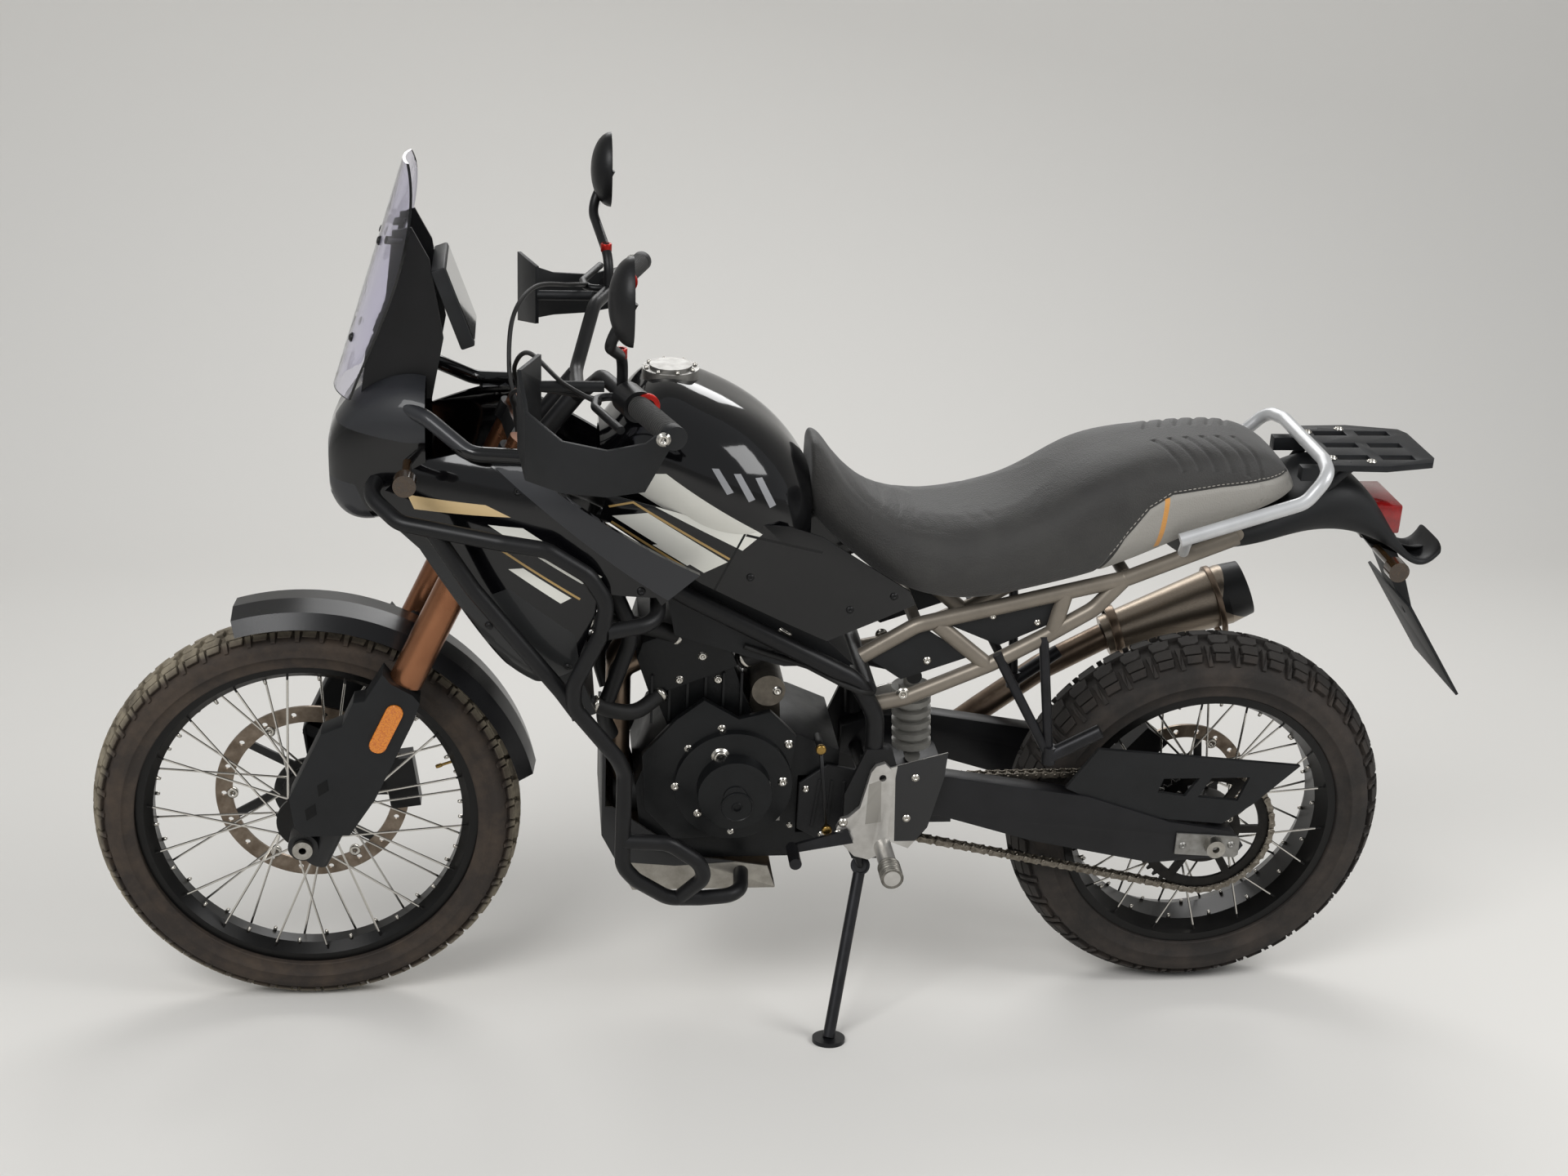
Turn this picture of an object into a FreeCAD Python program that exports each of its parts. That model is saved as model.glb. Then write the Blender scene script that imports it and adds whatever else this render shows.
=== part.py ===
# An adventure motorcycle that leans on its side stand, as an assembly of separate pieces.
# Millimetres. Every piece is drawn upright in the bike's own frame: X to the rear from the front
# axle, Y to the rider's right, Z up from the floor. One placement then leans all of them over.
import FreeCAD, Part
import math
import os

V = FreeCAD.Vector
doc = FreeCAD.newDocument("AdventureMotorcycle")
sheet = doc.addObject("Spreadsheet::Sheet", "Sizes")

# Driving dimensions, in millimetres, with angles in degrees and counts as plain numbers
SIZES = {
    # Stance
    "wheelbase": 1505, "lean_angle": 9, "origin_back": 781.2, "origin_side": -187.4,
    "rake_angle": 25.35, "axle_offset": 57, "fork_lead": 30, "running_gap": 0.3, "overrun": 20,
    # Tyres and wire wheels
    "front_tyre_radius": 347, "front_tyre_half_width": 46, "front_crown_radius": 50,
    "rear_tyre_radius": 328, "rear_tyre_half_width": 71, "rear_crown_radius": 80,
    "tyre_wall": 9, "front_bead_radius": 268, "rear_bead_radius": 230,
    "front_rim_half_width": 29, "rear_rim_half_width": 57, "rim_wall": 4, "rim_flange": 9.5,
    "rim_well": 13, "front_hub_flange": 50, "rear_hub_flange": 62, "front_hub_radius": 28,
    "rear_hub_radius": 36, "front_hub_half": 46, "rear_hub_half": 54, "hub_plate": 6,
    "spoke_radius": 2, "spokes_per_side": 18, "spoke_sweep": 38,
    # Axles
    "front_axle_radius": 10, "front_axle_half": 131, "rear_axle_radius": 10,
    "rear_axle_half": 146, "axle_head_radius": 16, "axle_head": 8, "axle_bore": 6,
    # Brake discs, calipers, sprocket and chain
    "front_disc_radius": 160, "front_disc_width": 28, "front_disc_side": 60,
    "rear_disc_radius": 120, "rear_disc_width": 24, "rear_disc_side": 74, "disc_thickness": 5,
    "disc_arm": 14, "disc_arms": 6, "disc_hole": 4.5, "disc_holes": 18, "caliper_gap": 2,
    "front_caliper_angle": 8, "rear_caliper_angle": 140, "carrier_rise": 12,
    "carrier_side": 80, "carrier_height": 30, "carrier_thickness": 8, "caliper_length": 92, "caliper_depth": 50, "caliper_width": 30,
    "chain_pitch": 15.875, "rear_teeth": 46, "front_teeth": 15, "sprocket_thickness": 6,
    "sprocket_side": 84, "sprocket_back": 852, "sprocket_height": 398,
    "chain_half_width": 8, "chain_height": 15,
    # Fork, clamps and steering stem
    "fork_spread": 105, "stanchion_radius": 21.5, "fork_tube_radius": 27, "fork_tube_low": 330,
    "fork_tube_high": 772, "lower_clamp": 560, "upper_clamp": 740, "clamp_height": 26,
    "clamp_boss": 35, "stem_radius": 17, "head_tube_radius": 29, "axle_lug_radius": 24,
    "axle_lug_length": 46, "guard_wall": 4, "guard_radius": 36, "guard_length": 341, "guard_deep": 44,
    "fender_gap": 32, "fender_wall": 3, "fender_half_width": 61, "fender_drop": 26,
    "fender_front": 106, "fender_rear": 13, "stay_wall": 5,
    "stay_side": 64,
    # Handlebar and what it carries
    "bar_radius": 11, "bar_back": 45, "bar_rise": 118, "bar_clamp_half": 62, "bar_knee_side": 185,
    "bar_knee_back": 32, "bar_lift": 72, "bar_half_width": 440, "bar_sweep": 117, "bar_bend": 60,
    "grip_radius": 17, "grip_length": 120, "riser_radius": 15, "riser_side": 45,
    "switch_radius": 23, "switch_length": 48, "lever_radius": 6, "lever_reach": 62,
    "guard_tube": 8, "shield_wall": 6, "shield_height": 120, "shield_reach": 205,
    "mirror_side": 395, "mirror_back": 500, "mirror_height": 1335, "mirror_tall": 62,
    "mirror_wide": 52, "mirror_deep": 34, "mirror_stalk": 8,
    # Frame, subframe and swingarm
    "frame_tube": 15, "frame_bend": 70, "frame_side": 126, "pivot_back": 925,
    "pivot_height": 400, "plate_wall": 8, "plate_side": 133.5, "subframe_tube": 13,
    "subframe_side": 112, "arm_outer": 132, "arm_wall": 32, "arm_cross": 54,
    # Engine
    "crank_back": 690, "case_front": 158, "crank_height": 448, "case_half": 98, "cylinder_tilt": 21,
    "cylinder_half": 92, "cylinder_top": 185, "head_top": 280, "cylinder_front": 68,
    "cover_radius": 96, "dome_radius": 60, "cover_wall": 30, "dome_wall": 32, "cap_radius": 19,
    "clutch_radius": 88, "clutch_back": 765, "clutch_height": 425,
    "case_cover": 14, "starter_back": 744, "starter_height": 606, "starter_radius": 27,
    "airbox_half": 104, "core_slats": 11, "core_groove": 5,
    # Crash bars
    "crash_tube": 12.5, "crash_bend": 45, "crash_front": 110, "crash_length": 600,
    "crash_half": 241, "crash_low": 262, "crash_height": 725,
    # Tank, seat and tail, each in a box from its front
    "tank_front": 470, "tank_length": 330, "tank_low": 800, "tank_height": 315,
    "tank_half": 172, "fuel_cap_radius": 33, "fuel_cap_back": 580, "fuel_cap_height": 12,
    "seat_length": 780, "seat_low": 778, "seat_height": 246, "seat_half": 150,
    "tail_front": 1400, "tail_length": 455, "tail_low": 815, "tail_height": 150,
    "tail_half": 104, "lamp_front": 1722, "lamp_length": 53, "lamp_half": 58, "lamp_low": 862,
    "lamp_height": 50, "plate_half": 95, "plate_length": 197, "plate_back": 1795,
    "plate_top": 748, "plate_tilt": 34, "plate_thickness": 5, "holder_half": 30,
    "rail_tube": 11, "rail_front": 1375, "rail_length": 237, "rail_half": 165, "rail_low": 892,
    "rail_height": 114, "rack_front": 1626, "rack_length": 186, "rack_half": 100,
    "rack_height": 985, "rack_wall": 10, "rack_slot": 22,
    "cover_half": 158, "cover_front": 430, "cover_length": 550, "cover_low": 640,
    "cover_height": 360,
    # Fairings, cowl, screen and cockpit
    "fairing_front": 90, "fairing_length": 560, "fairing_low": 600, "fairing_height": 480,
    "fairing_half": 215, "panel_wall": 4, "band_wall": 6, "panel_inner": 78,
    "cowl_front": 58, "cowl_length": 150, "cowl_low": 880, "cowl_height": 240,
    "cowl_half": 140, "headlight_half": 58, "headlight_low": 928, "headlight_height": 100,
    "headlight_depth": 62, "arm_tube": 12, "screen_wall": 4, "screen_low": 1092,
    "screen_height": 346, "screen_front": 66, "screen_back": 112, "screen_half": 120,
    "screen_sag": 46, "bracket_side": 62, "bracket_wall": 5, "bracket_front": 110,
    "bracket_length": 125, "bracket_low": 1085, "bracket_height": 262, "display_back": 250,
    "display_height": 1228, "display_tall": 128, "display_wide": 150, "display_thick": 22,
    "display_tilt": 20, "indicator_length": 26, "indicator_radius": 17, "indicator_stalk": 7,
    "indicator_root": 95, "indicator_back": 181, "indicator_height": 1008, "indicator_side": 222,
    "rear_indicator_back": 1752, "rear_indicator_height": 826, "rear_indicator_side": 122,
    # Exhaust, radiator, skid plate and shock
    "header_tube": 19, "exhaust_tube": 23, "exhaust_bend": 90, "silencer_front": 1372,
    "silencer_side": 192, "silencer_height": 566, "silencer_length": 262, "silencer_angle": 21,
    "silencer_small": 36, "silencer_large": 54, "radiator_half": 150, "radiator_tall": 210,
    "radiator_thick": 32, "radiator_back": 414, "radiator_height": 676, "skid_wall": 4,
    "skid_front": 478, "skid_length": 290, "skid_low": 245, "skid_height": 262,
    "skid_half": 108, "pipe_gap": 5, "spring_radius": 33, "damper_radius": 21, "spring_coils": 6,
    "spring_wire": 6, "shock_back": 1004, "shock_low": 440, "shock_tall": 158, "shock_lean": 4,
    "eye_radius": 13,
    # Footrests, pedals and side stand
    "footrest_side": 142, "footrest_wall": 10, "footrest_back": 861, "footrest_length": 90,
    "footrest_low": 318, "footrest_height": 176, "heel_wall": 4, "peg_back": 938,
    "peg_height": 345, "peg_length": 112, "peg_radius": 15, "pillion_tube": 8,
    "pillion_peg": 12, "lever_plate": 7, "lever_toe": 10, "stand_back": 908,
    "stand_side": -122, "stand_height": 293, "stand_tube": 11, "stand_eye": 16,
    "stand_eye_width": 10, "stand_pin": 6, "stand_foot_back": 850, "stand_foot_side": -262,
    "stand_foot_radius": 27, "stand_foot_wall": 7, "stand_ear": 6, "stand_fold": 100,
}


def fill_sheet():
    """Writes every driving dimension to a cell of its own, with its name as the alias."""
    for row, (alias, value) in enumerate(SIZES.items(), start=1):
        sheet.set("A%d" % row, alias.replace("_", " "))
        sheet.set("B%d" % row, str(value))
        sheet.setAlias("B%d" % row, alias)
    doc.recompute()


class Dimensions:
    """Reads a driving dimension from the sheet by its alias."""

    def __getattr__(self, alias):
        return float(sheet.get(alias))


fill_sheet()
D = Dimensions()
NODES = []
SIDES = (-1, 1)
ACROSS = V(0, 1, 0)
UP = V(0, 0, 1)
ORIGIN = V(0, 0, 0)

rake = math.radians(D.rake_angle)
lean = math.radians(D.lean_angle)
FORK_UP = V(math.sin(rake), 0, math.cos(rake))
FORK_AHEAD = V(-math.cos(rake), 0, math.sin(rake))
STANCE = FreeCAD.Placement(V(-D.origin_back, -D.origin_side, 0),
                           FreeCAD.Rotation(V(1, 0, 0), D.lean_angle))


def axle_height(radius, crown):
    """Height of an axle over the upright floor line, so that the leaning tyre just meets the floor."""
    return radius + crown * (1 / math.cos(lean) - 1)


FRONT_AXLE = V(0, 0, axle_height(D.front_tyre_radius, D.front_crown_radius))
REAR_AXLE = V(D.wheelbase, 0, axle_height(D.rear_tyre_radius, D.rear_crown_radius))


def fork_point(along, ahead=0.0, side=0.0):
    """A point given along the fork leg from the axle's level, ahead of the leg and to one side."""
    foot = FRONT_AXLE - FORK_AHEAD * D.fork_lead
    return foot + FORK_UP * along + FORK_AHEAD * ahead + ACROSS * side


STEM_AHEAD = D.fork_lead - D.axle_offset


def keep(label, shape_or_item):
    """Files a finished sub-part under its label and leans it over with the rest."""
    item = shape_or_item
    if isinstance(item, Part.Shape):
        item = doc.addObject("Part::Feature", label)
        item.Shape = shape_or_item
    item.Label = label
    item.Placement = STANCE.multiply(item.Placement)
    NODES.append(item)
    return item


def bound(kind, name, placement=None, **expressions):
    """A Part primitive whose sizes follow the sheet."""
    item = doc.addObject(kind, name)
    for prop, expression in expressions.items():
        item.setExpression(prop, expression)
    if placement:
        item.Placement = placement
    return item


def largest(shape):
    """The main solid of a cut that leaves small offcuts."""
    return max(shape.Solids, key=lambda solid: solid.Volume)


def flip(shape):
    """The same piece on the other side of the bike."""
    return shape.mirror(ORIGIN, ACROSS)


def pair(shape):
    """A piece and its twin on the other side, as one node."""
    return Part.makeCompound([shape, flip(shape)])


def rod(start, end, radius):
    """A round bar between two points."""
    run = end - start
    return Part.makeCylinder(radius, run.Length, start, run)


def pin(centre, radius, side_from, side_to):
    """A round bar across the bike."""
    start = V(centre.x, side_from, centre.z)
    return Part.makeCylinder(radius, side_to - side_from, start, ACROSS)


def block(low, high):
    """A box between two corners."""
    run = high - low
    return Part.makeBox(run.x, run.y, run.z, low)


def rounded_path(points, bend):
    """Straight runs joined by tangent arcs, as a bent tube's centre line."""
    edges = []
    start = points[0]
    for before, corner, after in zip(points, points[1:], points[2:]):
        come = (corner - before).normalize()
        leave = (after - corner).normalize()
        turn = come.getAngle(leave)
        if turn < 0.02:
            continue
        room = min((corner - before).Length, (after - corner).Length) * 0.45
        cut = min(bend * math.tan(turn / 2), room)
        radius = cut / math.tan(turn / 2)
        first, last = corner - come * cut, corner + leave * cut
        inward = (leave - come).normalize()
        middle = corner + inward * (radius / math.cos(turn / 2) - radius)
        edges.append(Part.LineSegment(start, first).toShape())
        edges.append(Part.Arc(first, middle, last).toShape())
        start = last
    edges.append(Part.LineSegment(start, points[-1]).toShape())
    return Part.Wire(edges)


def tube(points, radius, bend=None):
    """A round tube bent along a list of points."""
    path = rounded_path(points, bend or D.frame_bend)
    ring = Part.Wire([Part.makeCircle(radius, points[0], points[1] - points[0])])
    return path.makePipeShell([ring], True, False)


def place(table, low, high):
    """Points given as shares of the box between two corners."""
    run = high - low
    return [V(low.x + a * run.x, low.y + b * run.y, low.z + c * run.z) for a, b, c in table]


def outline(table, low, high):
    """Side-view points given as shares of a box, on its near face."""
    run = high - low
    return [V(low.x + a * run.x, low.y, low.z + c * run.z) for a, c in table]


def slab(table, low, high):
    """A flat plate: a side-view outline in shares of a box, as thick as the box is wide."""
    points = outline(table, low, high)
    return Part.Face(Part.makePolygon(points + points[:1])).extrude(V(0, high.y - low.y, 0))


def prism(corners, half):
    """A block across the bike with the given side-view corners."""
    low = [V(p.x, -half, p.z) for p in corners]
    return Part.Face(Part.makePolygon(low + low[:1])).extrude(V(0, 2 * half, 0))


def turned(profile, centre):
    """A ring or hub turned about an axle, from (radius, side) points."""
    points = [V(centre.x, centre.y + side, centre.z + radius) for radius, side in profile]
    return Part.Face(Part.makePolygon(points + points[:1])).revolve(centre, ACROSS, 360)


def closed_curve(half, at, low, high, wide):
    """A smooth closed cross-section at one station, mirrored about the bike's middle."""
    right = [V(at, w * wide, low + c * (high - low)) for w, c in half]
    left = [V(at, -point.y, point.z) for point in reversed(right) if abs(point.y) > 0]
    curve = Part.BSplineCurve()
    curve.interpolate(right + left, PeriodicFlag=True)
    return Part.Wire([curve.toShape()])


def hull(half, stations, low, high, inset=0.0):
    """A body lofted through cross-sections, from shares of a box: along, bottom, top, width."""
    run = high - low
    wires = []
    for along, bottom, top, wide in stations:
        wires.append(closed_curve(half, low.x + along * run.x, low.z + bottom * run.z + inset,
                                  low.z + top * run.z - inset, wide * high.y - inset))
    return Part.makeLoft(wires, True, False)


# Tyres, each an open casing on its rim, out to the tips of its tread blocks

def tyre(label, radius, crown, half_width, bead, rim_half, centre):
    """A tyre's casing: beads on the rim, bulged walls and a round crown."""
    def casing(outer, wide, low_side):
        shoulder = math.asin(min(wide / crown, 1) * 0.9)
        top = [(crown * math.sin(a), outer - crown * (1 - math.cos(a)))
               for a in (shoulder, shoulder * 0.5, 0.0)]
        flank = [(low_side, bead), (low_side, bead + D.rim_flange), (wide, (bead + outer) / 2)]
        right = flank + top
        return right + [(-side, r) for side, r in reversed(right[:-1])]
    seat_half = rim_half - D.rim_wall - D.running_gap
    outside = casing(radius, half_width, seat_half)
    inside = casing(radius - D.tyre_wall, half_width - D.tyre_wall, seat_half - D.tyre_wall)
    profile = [(r, side) for side, r in outside] + [(r, side) for side, r in reversed(inside)]
    keep(label, turned(profile, centre))


# Wire wheels: a channelled rim, a flanged hub and crossed spokes, all one piece

def wire_wheel(label, bead, rim_half, hub_flange, hub_radius, hub_half, axle_radius, disc_side,
               centre):
    """Rim, hub and spokes, the spokes reaching from the hub flanges to the rim's edges."""
    seat = bead - D.running_gap
    edge = seat + D.rim_flange
    inner_half = rim_half - D.rim_wall
    well_half = inner_half / 2
    rim = turned([(edge, -rim_half), (edge, -inner_half), (seat, -inner_half),
                  (seat, -well_half - D.rim_well), (seat - D.rim_well, -well_half),
                  (seat - D.rim_well, well_half), (seat, well_half + D.rim_well),
                  (seat, inner_half), (edge, inner_half), (edge, rim_half),
                  (seat - D.rim_wall, rim_half), (seat - D.rim_well - D.rim_wall, well_half),
                  (seat - D.rim_well - D.rim_wall, -well_half), (seat - D.rim_wall, -rim_half)],
                 centre)
    flange_in = hub_half - D.hub_plate
    bore = axle_radius + D.running_gap
    hub = turned([(bore, -hub_half), (hub_flange, -hub_half), (hub_flange, -flange_in),
                  (hub_radius, -flange_in + D.hub_plate), (hub_radius, flange_in - D.hub_plate),
                  (hub_flange, flange_in), (hub_flange, hub_half),
                  (hub_flange, disc_side - D.disc_thickness / 2),
                  (bore, disc_side - D.disc_thickness / 2)], centre)
    spokes = []
    count = int(D.spokes_per_side)
    for side in SIDES:
        for number in range(count):
            angle = 360.0 / count * (number + 0.25 * side)
            sweep = D.spoke_sweep if number % 2 else -D.spoke_sweep
            root = hub_flange - D.hub_plate
            tip = seat - D.rim_wall / 2
            start = polar(centre, root, angle + sweep, side * (hub_half - D.hub_plate / 2))
            end = polar(centre, tip, angle, side * (rim_half - 2 * D.rim_wall))
            spokes.append(six_sided(start, end, D.spoke_radius))
    keep(label, rim.multiFuse([hub] + spokes))


def polar(centre, radius, degrees, side):
    """A point round an axle."""
    angle = math.radians(degrees)
    return centre + V(radius * math.cos(angle), side, radius * math.sin(angle))


def six_sided(start, end, radius):
    """A thin bar with six flats."""
    run = end - start
    turn = FreeCAD.Rotation(UP, run)
    corners = [start + turn.multVec(V(radius * math.cos(a), radius * math.sin(a), 0))
               for a in (math.radians(60 * k) for k in range(6))]
    return Part.Face(Part.makePolygon(corners + corners[:1])).extrude(run)


# Brake discs: a drilled ring on arms, cut from plate

def brake_disc(label, radius, width, side, hub_radius, centre):
    """A flat ring drilled all round, carried by arms from a ring bolted to the hub."""
    half = D.disc_thickness / 2
    inner = radius - width

    def ring(outer, hole):
        return (pin(centre, outer, side - half, side + half)
                .cut(pin(centre, hole, side - half - D.overrun, side + half + D.overrun)))
    arms = []
    for number in range(int(D.disc_arms)):
        start = polar(centre, hub_radius - D.disc_arm / 2, 360.0 / D.disc_arms * number, side)
        end = polar(centre, inner + D.disc_arm / 2, 360.0 / D.disc_arms * number + 18, side)
        arms.append(flat_arm(start, end, D.disc_arm, D.disc_thickness))
    disc = ring(radius, inner).multiFuse([ring(hub_radius, hub_radius - D.disc_arm)] + arms)
    holes = [pin(polar(centre, inner + width / 2, 360.0 / D.disc_holes * k, 0), D.disc_hole,
                 side - half - D.overrun, side + half + D.overrun) for k in range(int(D.disc_holes))]
    disc = disc.cut(Part.makeCompound(holes))
    keep(label, disc)


def flat_arm(start, end, width, thickness):
    """A flat bar in the wheel's plane."""
    run = end - start
    across = run.cross(ACROSS).normalize() * (width / 2)
    low = ACROSS * (-thickness / 2)
    corners = [start + across + low, end + across + low, end - across + low, start - across + low]
    return Part.Face(Part.makePolygon(corners + corners[:1])).extrude(ACROSS * thickness)


def pitch_radius(teeth):
    """Radius at the chain's pins for a number of teeth."""
    return D.chain_pitch / 2 / math.sin(math.pi / teeth)


FRONT_SPROCKET = V(D.sprocket_back, 0, D.sprocket_height)


def sprocket():
    """The rear sprocket: a ring inside the chain's rollers with spokes to the hub."""
    outer = pitch_radius(D.rear_teeth) - D.chain_height / 2 - D.running_gap
    half = D.sprocket_thickness / 2
    side = -D.sprocket_side
    ring = pin(REAR_AXLE, outer, side - half, side + half)
    ring = ring.cut(pin(REAR_AXLE, outer - D.disc_arm, side - half, side + half))
    boss = pin(REAR_AXLE, D.rear_hub_flange, side - half, -D.rear_hub_half)
    bore = pin(REAR_AXLE, D.rear_axle_radius + D.running_gap, side - D.overrun, 0)
    arms = []
    for number in range(int(D.disc_arms)):
        start = polar(REAR_AXLE, D.rear_hub_flange / 2, 360.0 / D.disc_arms * number, side)
        end = polar(REAR_AXLE, outer - D.disc_arm / 2, 360.0 / D.disc_arms * number, side)
        arms.append(flat_arm(start, end, D.disc_arm, D.sprocket_thickness))
    keep("rear_sprocket", ring.multiFuse([boss] + arms).cut(bore))


def chain_loop(offsets):
    """A closed line round both sprockets, off the pins' line by each offset in turn, link by link."""
    small, large = pitch_radius(D.front_teeth), pitch_radius(D.rear_teeth)
    far = V(REAR_AXLE.x, 0, REAR_AXLE.z)
    span = far - FRONT_SPROCKET
    tilt = math.atan2(span.z, span.x)
    wrap = math.acos((small - large) / span.Length)
    run = span.Length * math.sin(wrap)
    turns = 2 * (math.pi - wrap)
    legs = [run, large * (2 * math.pi - turns), run, small * turns]
    count = 2 * int(round(sum(legs) / D.chain_pitch))
    points = []
    for number in range(count):
        way = sum(legs) * number / count
        leg = 0
        while way > legs[leg]:
            way -= legs[leg]
            leg += 1
        if leg % 2 == 0:
            angle = tilt + (wrap if leg == 0 else -wrap)
            normal = V(math.cos(angle), 0, math.sin(angle))
            start, end = FRONT_SPROCKET + normal * small, far + normal * large
            if leg:
                start, end = end, start
            foot = start + (end - start) * (way / run)
        else:
            centre, radius = (far, large) if leg == 1 else (FRONT_SPROCKET, small)
            angle = tilt + (wrap if leg == 1 else -wrap) - way / radius
            normal = V(math.cos(angle), 0, math.sin(angle))
            foot = centre + normal * radius
        points.append(foot + normal * offsets[number % len(offsets)])
    return Part.makePolygon(points + points[:1])


def chain():
    """The chain as a closed loop round both sprockets, as wide as its links and waisted between pins."""
    full = D.chain_height / 2
    waist = full * 0.66
    face = Part.Face([chain_loop((full, waist)), chain_loop((-full, -waist))])
    face.validate()
    band = face.extrude(V(0, 2 * D.chain_half_width, 0))
    band.translate(V(0, -D.sprocket_side - D.chain_half_width, 0))
    keep("chain", band)


def axle(label, half, centre, spacers):
    """A hollow axle with a flat head at each end and spacers between the hub and its carriers."""
    turn = FreeCAD.Rotation(UP, ACROSS)
    which = label.split("_")[0]
    shaft = bound("Part::Cylinder", label + "_shaft",
                  FreeCAD.Placement(centre - ACROSS * half, turn),
                  Radius="Sizes.%s_axle_radius" % which, Height="2 * Sizes.%s_axle_half" % which)
    heads = [bound("Part::Cylinder", label + "_head", FreeCAD.Placement(start, turn),
                   Radius="Sizes.axle_head_radius", Height="Sizes.axle_head")
             for start in (centre - ACROSS * (half + D.axle_head), centre + ACROSS * half)]
    whole = doc.addObject("Part::MultiFuse", label + "_solid")
    sleeves = []
    for start, end in spacers:
        sleeve = doc.addObject("Part::Feature", label + "_spacer")
        sleeve.Shape = pin(centre, D.axle_head_radius, start, end)
        sleeves.append(sleeve)
    whole.Shapes = [shaft] + heads + sleeves
    bore = bound("Part::Cylinder", label + "_bore",
                 FreeCAD.Placement(centre - ACROSS * (half + D.axle_head), turn),
                 Radius="Sizes.axle_bore",
                 Height="2 * (Sizes.%s_axle_half + Sizes.axle_head)" % which)
    item = doc.addObject("Part::Cut", label)
    item.Base, item.Tool = whole, bore
    keep(label, item)


def wheels():
    tyre("front_tyre", D.front_tyre_radius, D.front_crown_radius, D.front_tyre_half_width,
         D.front_bead_radius, D.front_rim_half_width, FRONT_AXLE)
    tyre("rear_tyre", D.rear_tyre_radius, D.rear_crown_radius, D.rear_tyre_half_width,
         D.rear_bead_radius, D.rear_rim_half_width, REAR_AXLE)
    wire_wheel("front_wire_wheel", D.front_bead_radius, D.front_rim_half_width,
               D.front_hub_flange, D.front_hub_radius, D.front_hub_half, D.front_axle_radius,
               D.front_disc_side, FRONT_AXLE)
    wire_wheel("rear_wire_wheel", D.rear_bead_radius, D.rear_rim_half_width, D.rear_hub_flange,
               D.rear_hub_radius, D.rear_hub_half, D.rear_axle_radius, D.rear_disc_side,
               REAR_AXLE)
    brake_disc("front_disc", D.front_disc_radius, D.front_disc_width, D.front_disc_side,
               D.front_hub_flange + D.disc_arm, FRONT_AXLE)
    brake_disc("rear_disc", D.rear_disc_radius, D.rear_disc_width, D.rear_disc_side,
               D.rear_hub_flange, REAR_AXLE)
    sprocket()
    chain()
    lug = D.fork_spread - D.axle_lug_length / 2
    arm = D.arm_outer - D.arm_wall
    gap = D.running_gap
    disc_face = D.disc_thickness / 2
    axle("front_axle", D.front_axle_half, FRONT_AXLE,
         [(-lug, -D.front_hub_half - gap), (D.front_disc_side - disc_face + gap, lug)])
    axle("rear_axle", D.rear_axle_half, REAR_AXLE,
         [(-arm, -D.sprocket_side - D.sprocket_thickness / 2 - gap),
          (D.rear_disc_side - disc_face + gap, arm),
          (-D.rear_axle_half, -D.arm_outer), (D.arm_outer, D.rear_axle_half)])


wheels()


# Fork, clamps and steering stem, all turning about the steering axis

def fork():
    """Two upside-down legs: bronze outer tubes above, thin inner legs and axle lugs below."""
    low, high = D.fork_tube_low, D.fork_tube_high
    outer, inner, lugs = [], [], []
    for side in SIDES:
        spread = side * D.fork_spread
        outer.append(rod(fork_point(low, 0, spread), fork_point(high, 0, spread),
                         D.fork_tube_radius))
        leg = rod(fork_point(-D.axle_lug_radius, 0, spread),
                  fork_point(low - D.running_gap, 0, spread), D.stanchion_radius)
        lug_in, lug_out = spread - D.axle_lug_length / 2, spread + D.axle_lug_length / 2
        lug = pin(FRONT_AXLE, D.axle_lug_radius, lug_in, lug_out)
        neck = rod(fork_point(0, D.fork_lead, spread), fork_point(0, 0, spread), D.stanchion_radius)
        bore = pin(FRONT_AXLE, D.front_axle_radius, lug_in - D.overrun, lug_out + D.overrun)
        head = pin(FRONT_AXLE, D.axle_head_radius, lug_out if side > 0 else lug_in - D.overrun,
                   lug_out + D.overrun if side > 0 else lug_in)
        inner.append(leg.multiFuse([lug, neck]).cut(bore).cut(head))
    keep("fork_tubes", Part.makeCompound(outer))
    keep("fork_legs", Part.makeCompound(inner))


def clamp(along):
    """A bridge between the fork tubes with a boss at the stem, split bosses left plain."""
    half = D.clamp_height / 2
    bosses = [rod(fork_point(along - half, ahead, side), fork_point(along + half, ahead, side),
                  D.clamp_boss)
              for ahead, side in ((0, -D.fork_spread), (0, D.fork_spread), (STEM_AHEAD, 0))]
    corners = [fork_point(along - half, ahead, side) for ahead, side in (
        (D.clamp_boss * 0.8, -D.fork_spread), (D.clamp_boss * 0.3, 0),
        (D.clamp_boss * 0.8, D.fork_spread), (-D.clamp_boss * 0.8, D.fork_spread),
        (STEM_AHEAD - D.clamp_boss * 0.9, 0), (-D.clamp_boss * 0.8, -D.fork_spread))]
    bridge = Part.Face(Part.makePolygon(corners + corners[:1])).extrude(FORK_UP * D.clamp_height)
    body = bridge.multiFuse(bosses)
    for side in SIDES:
        body = body.cut(rod(fork_point(along - D.overrun, 0, side * D.fork_spread),
                            fork_point(along + D.overrun, 0, side * D.fork_spread),
                            D.fork_tube_radius))
    return body


def triple_clamps():
    stem = rod(fork_point(D.lower_clamp, STEM_AHEAD), fork_point(D.upper_clamp, STEM_AHEAD),
               D.stem_radius)
    keep("triple_clamps", clamp(D.lower_clamp).multiFuse([clamp(D.upper_clamp), stem]))


def bar_point(back, side, lift):
    """A point given from the middle of the handlebar."""
    centre = fork_point(D.upper_clamp + D.bar_rise, -D.bar_back)
    return centre + V(back, side, lift)


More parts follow.
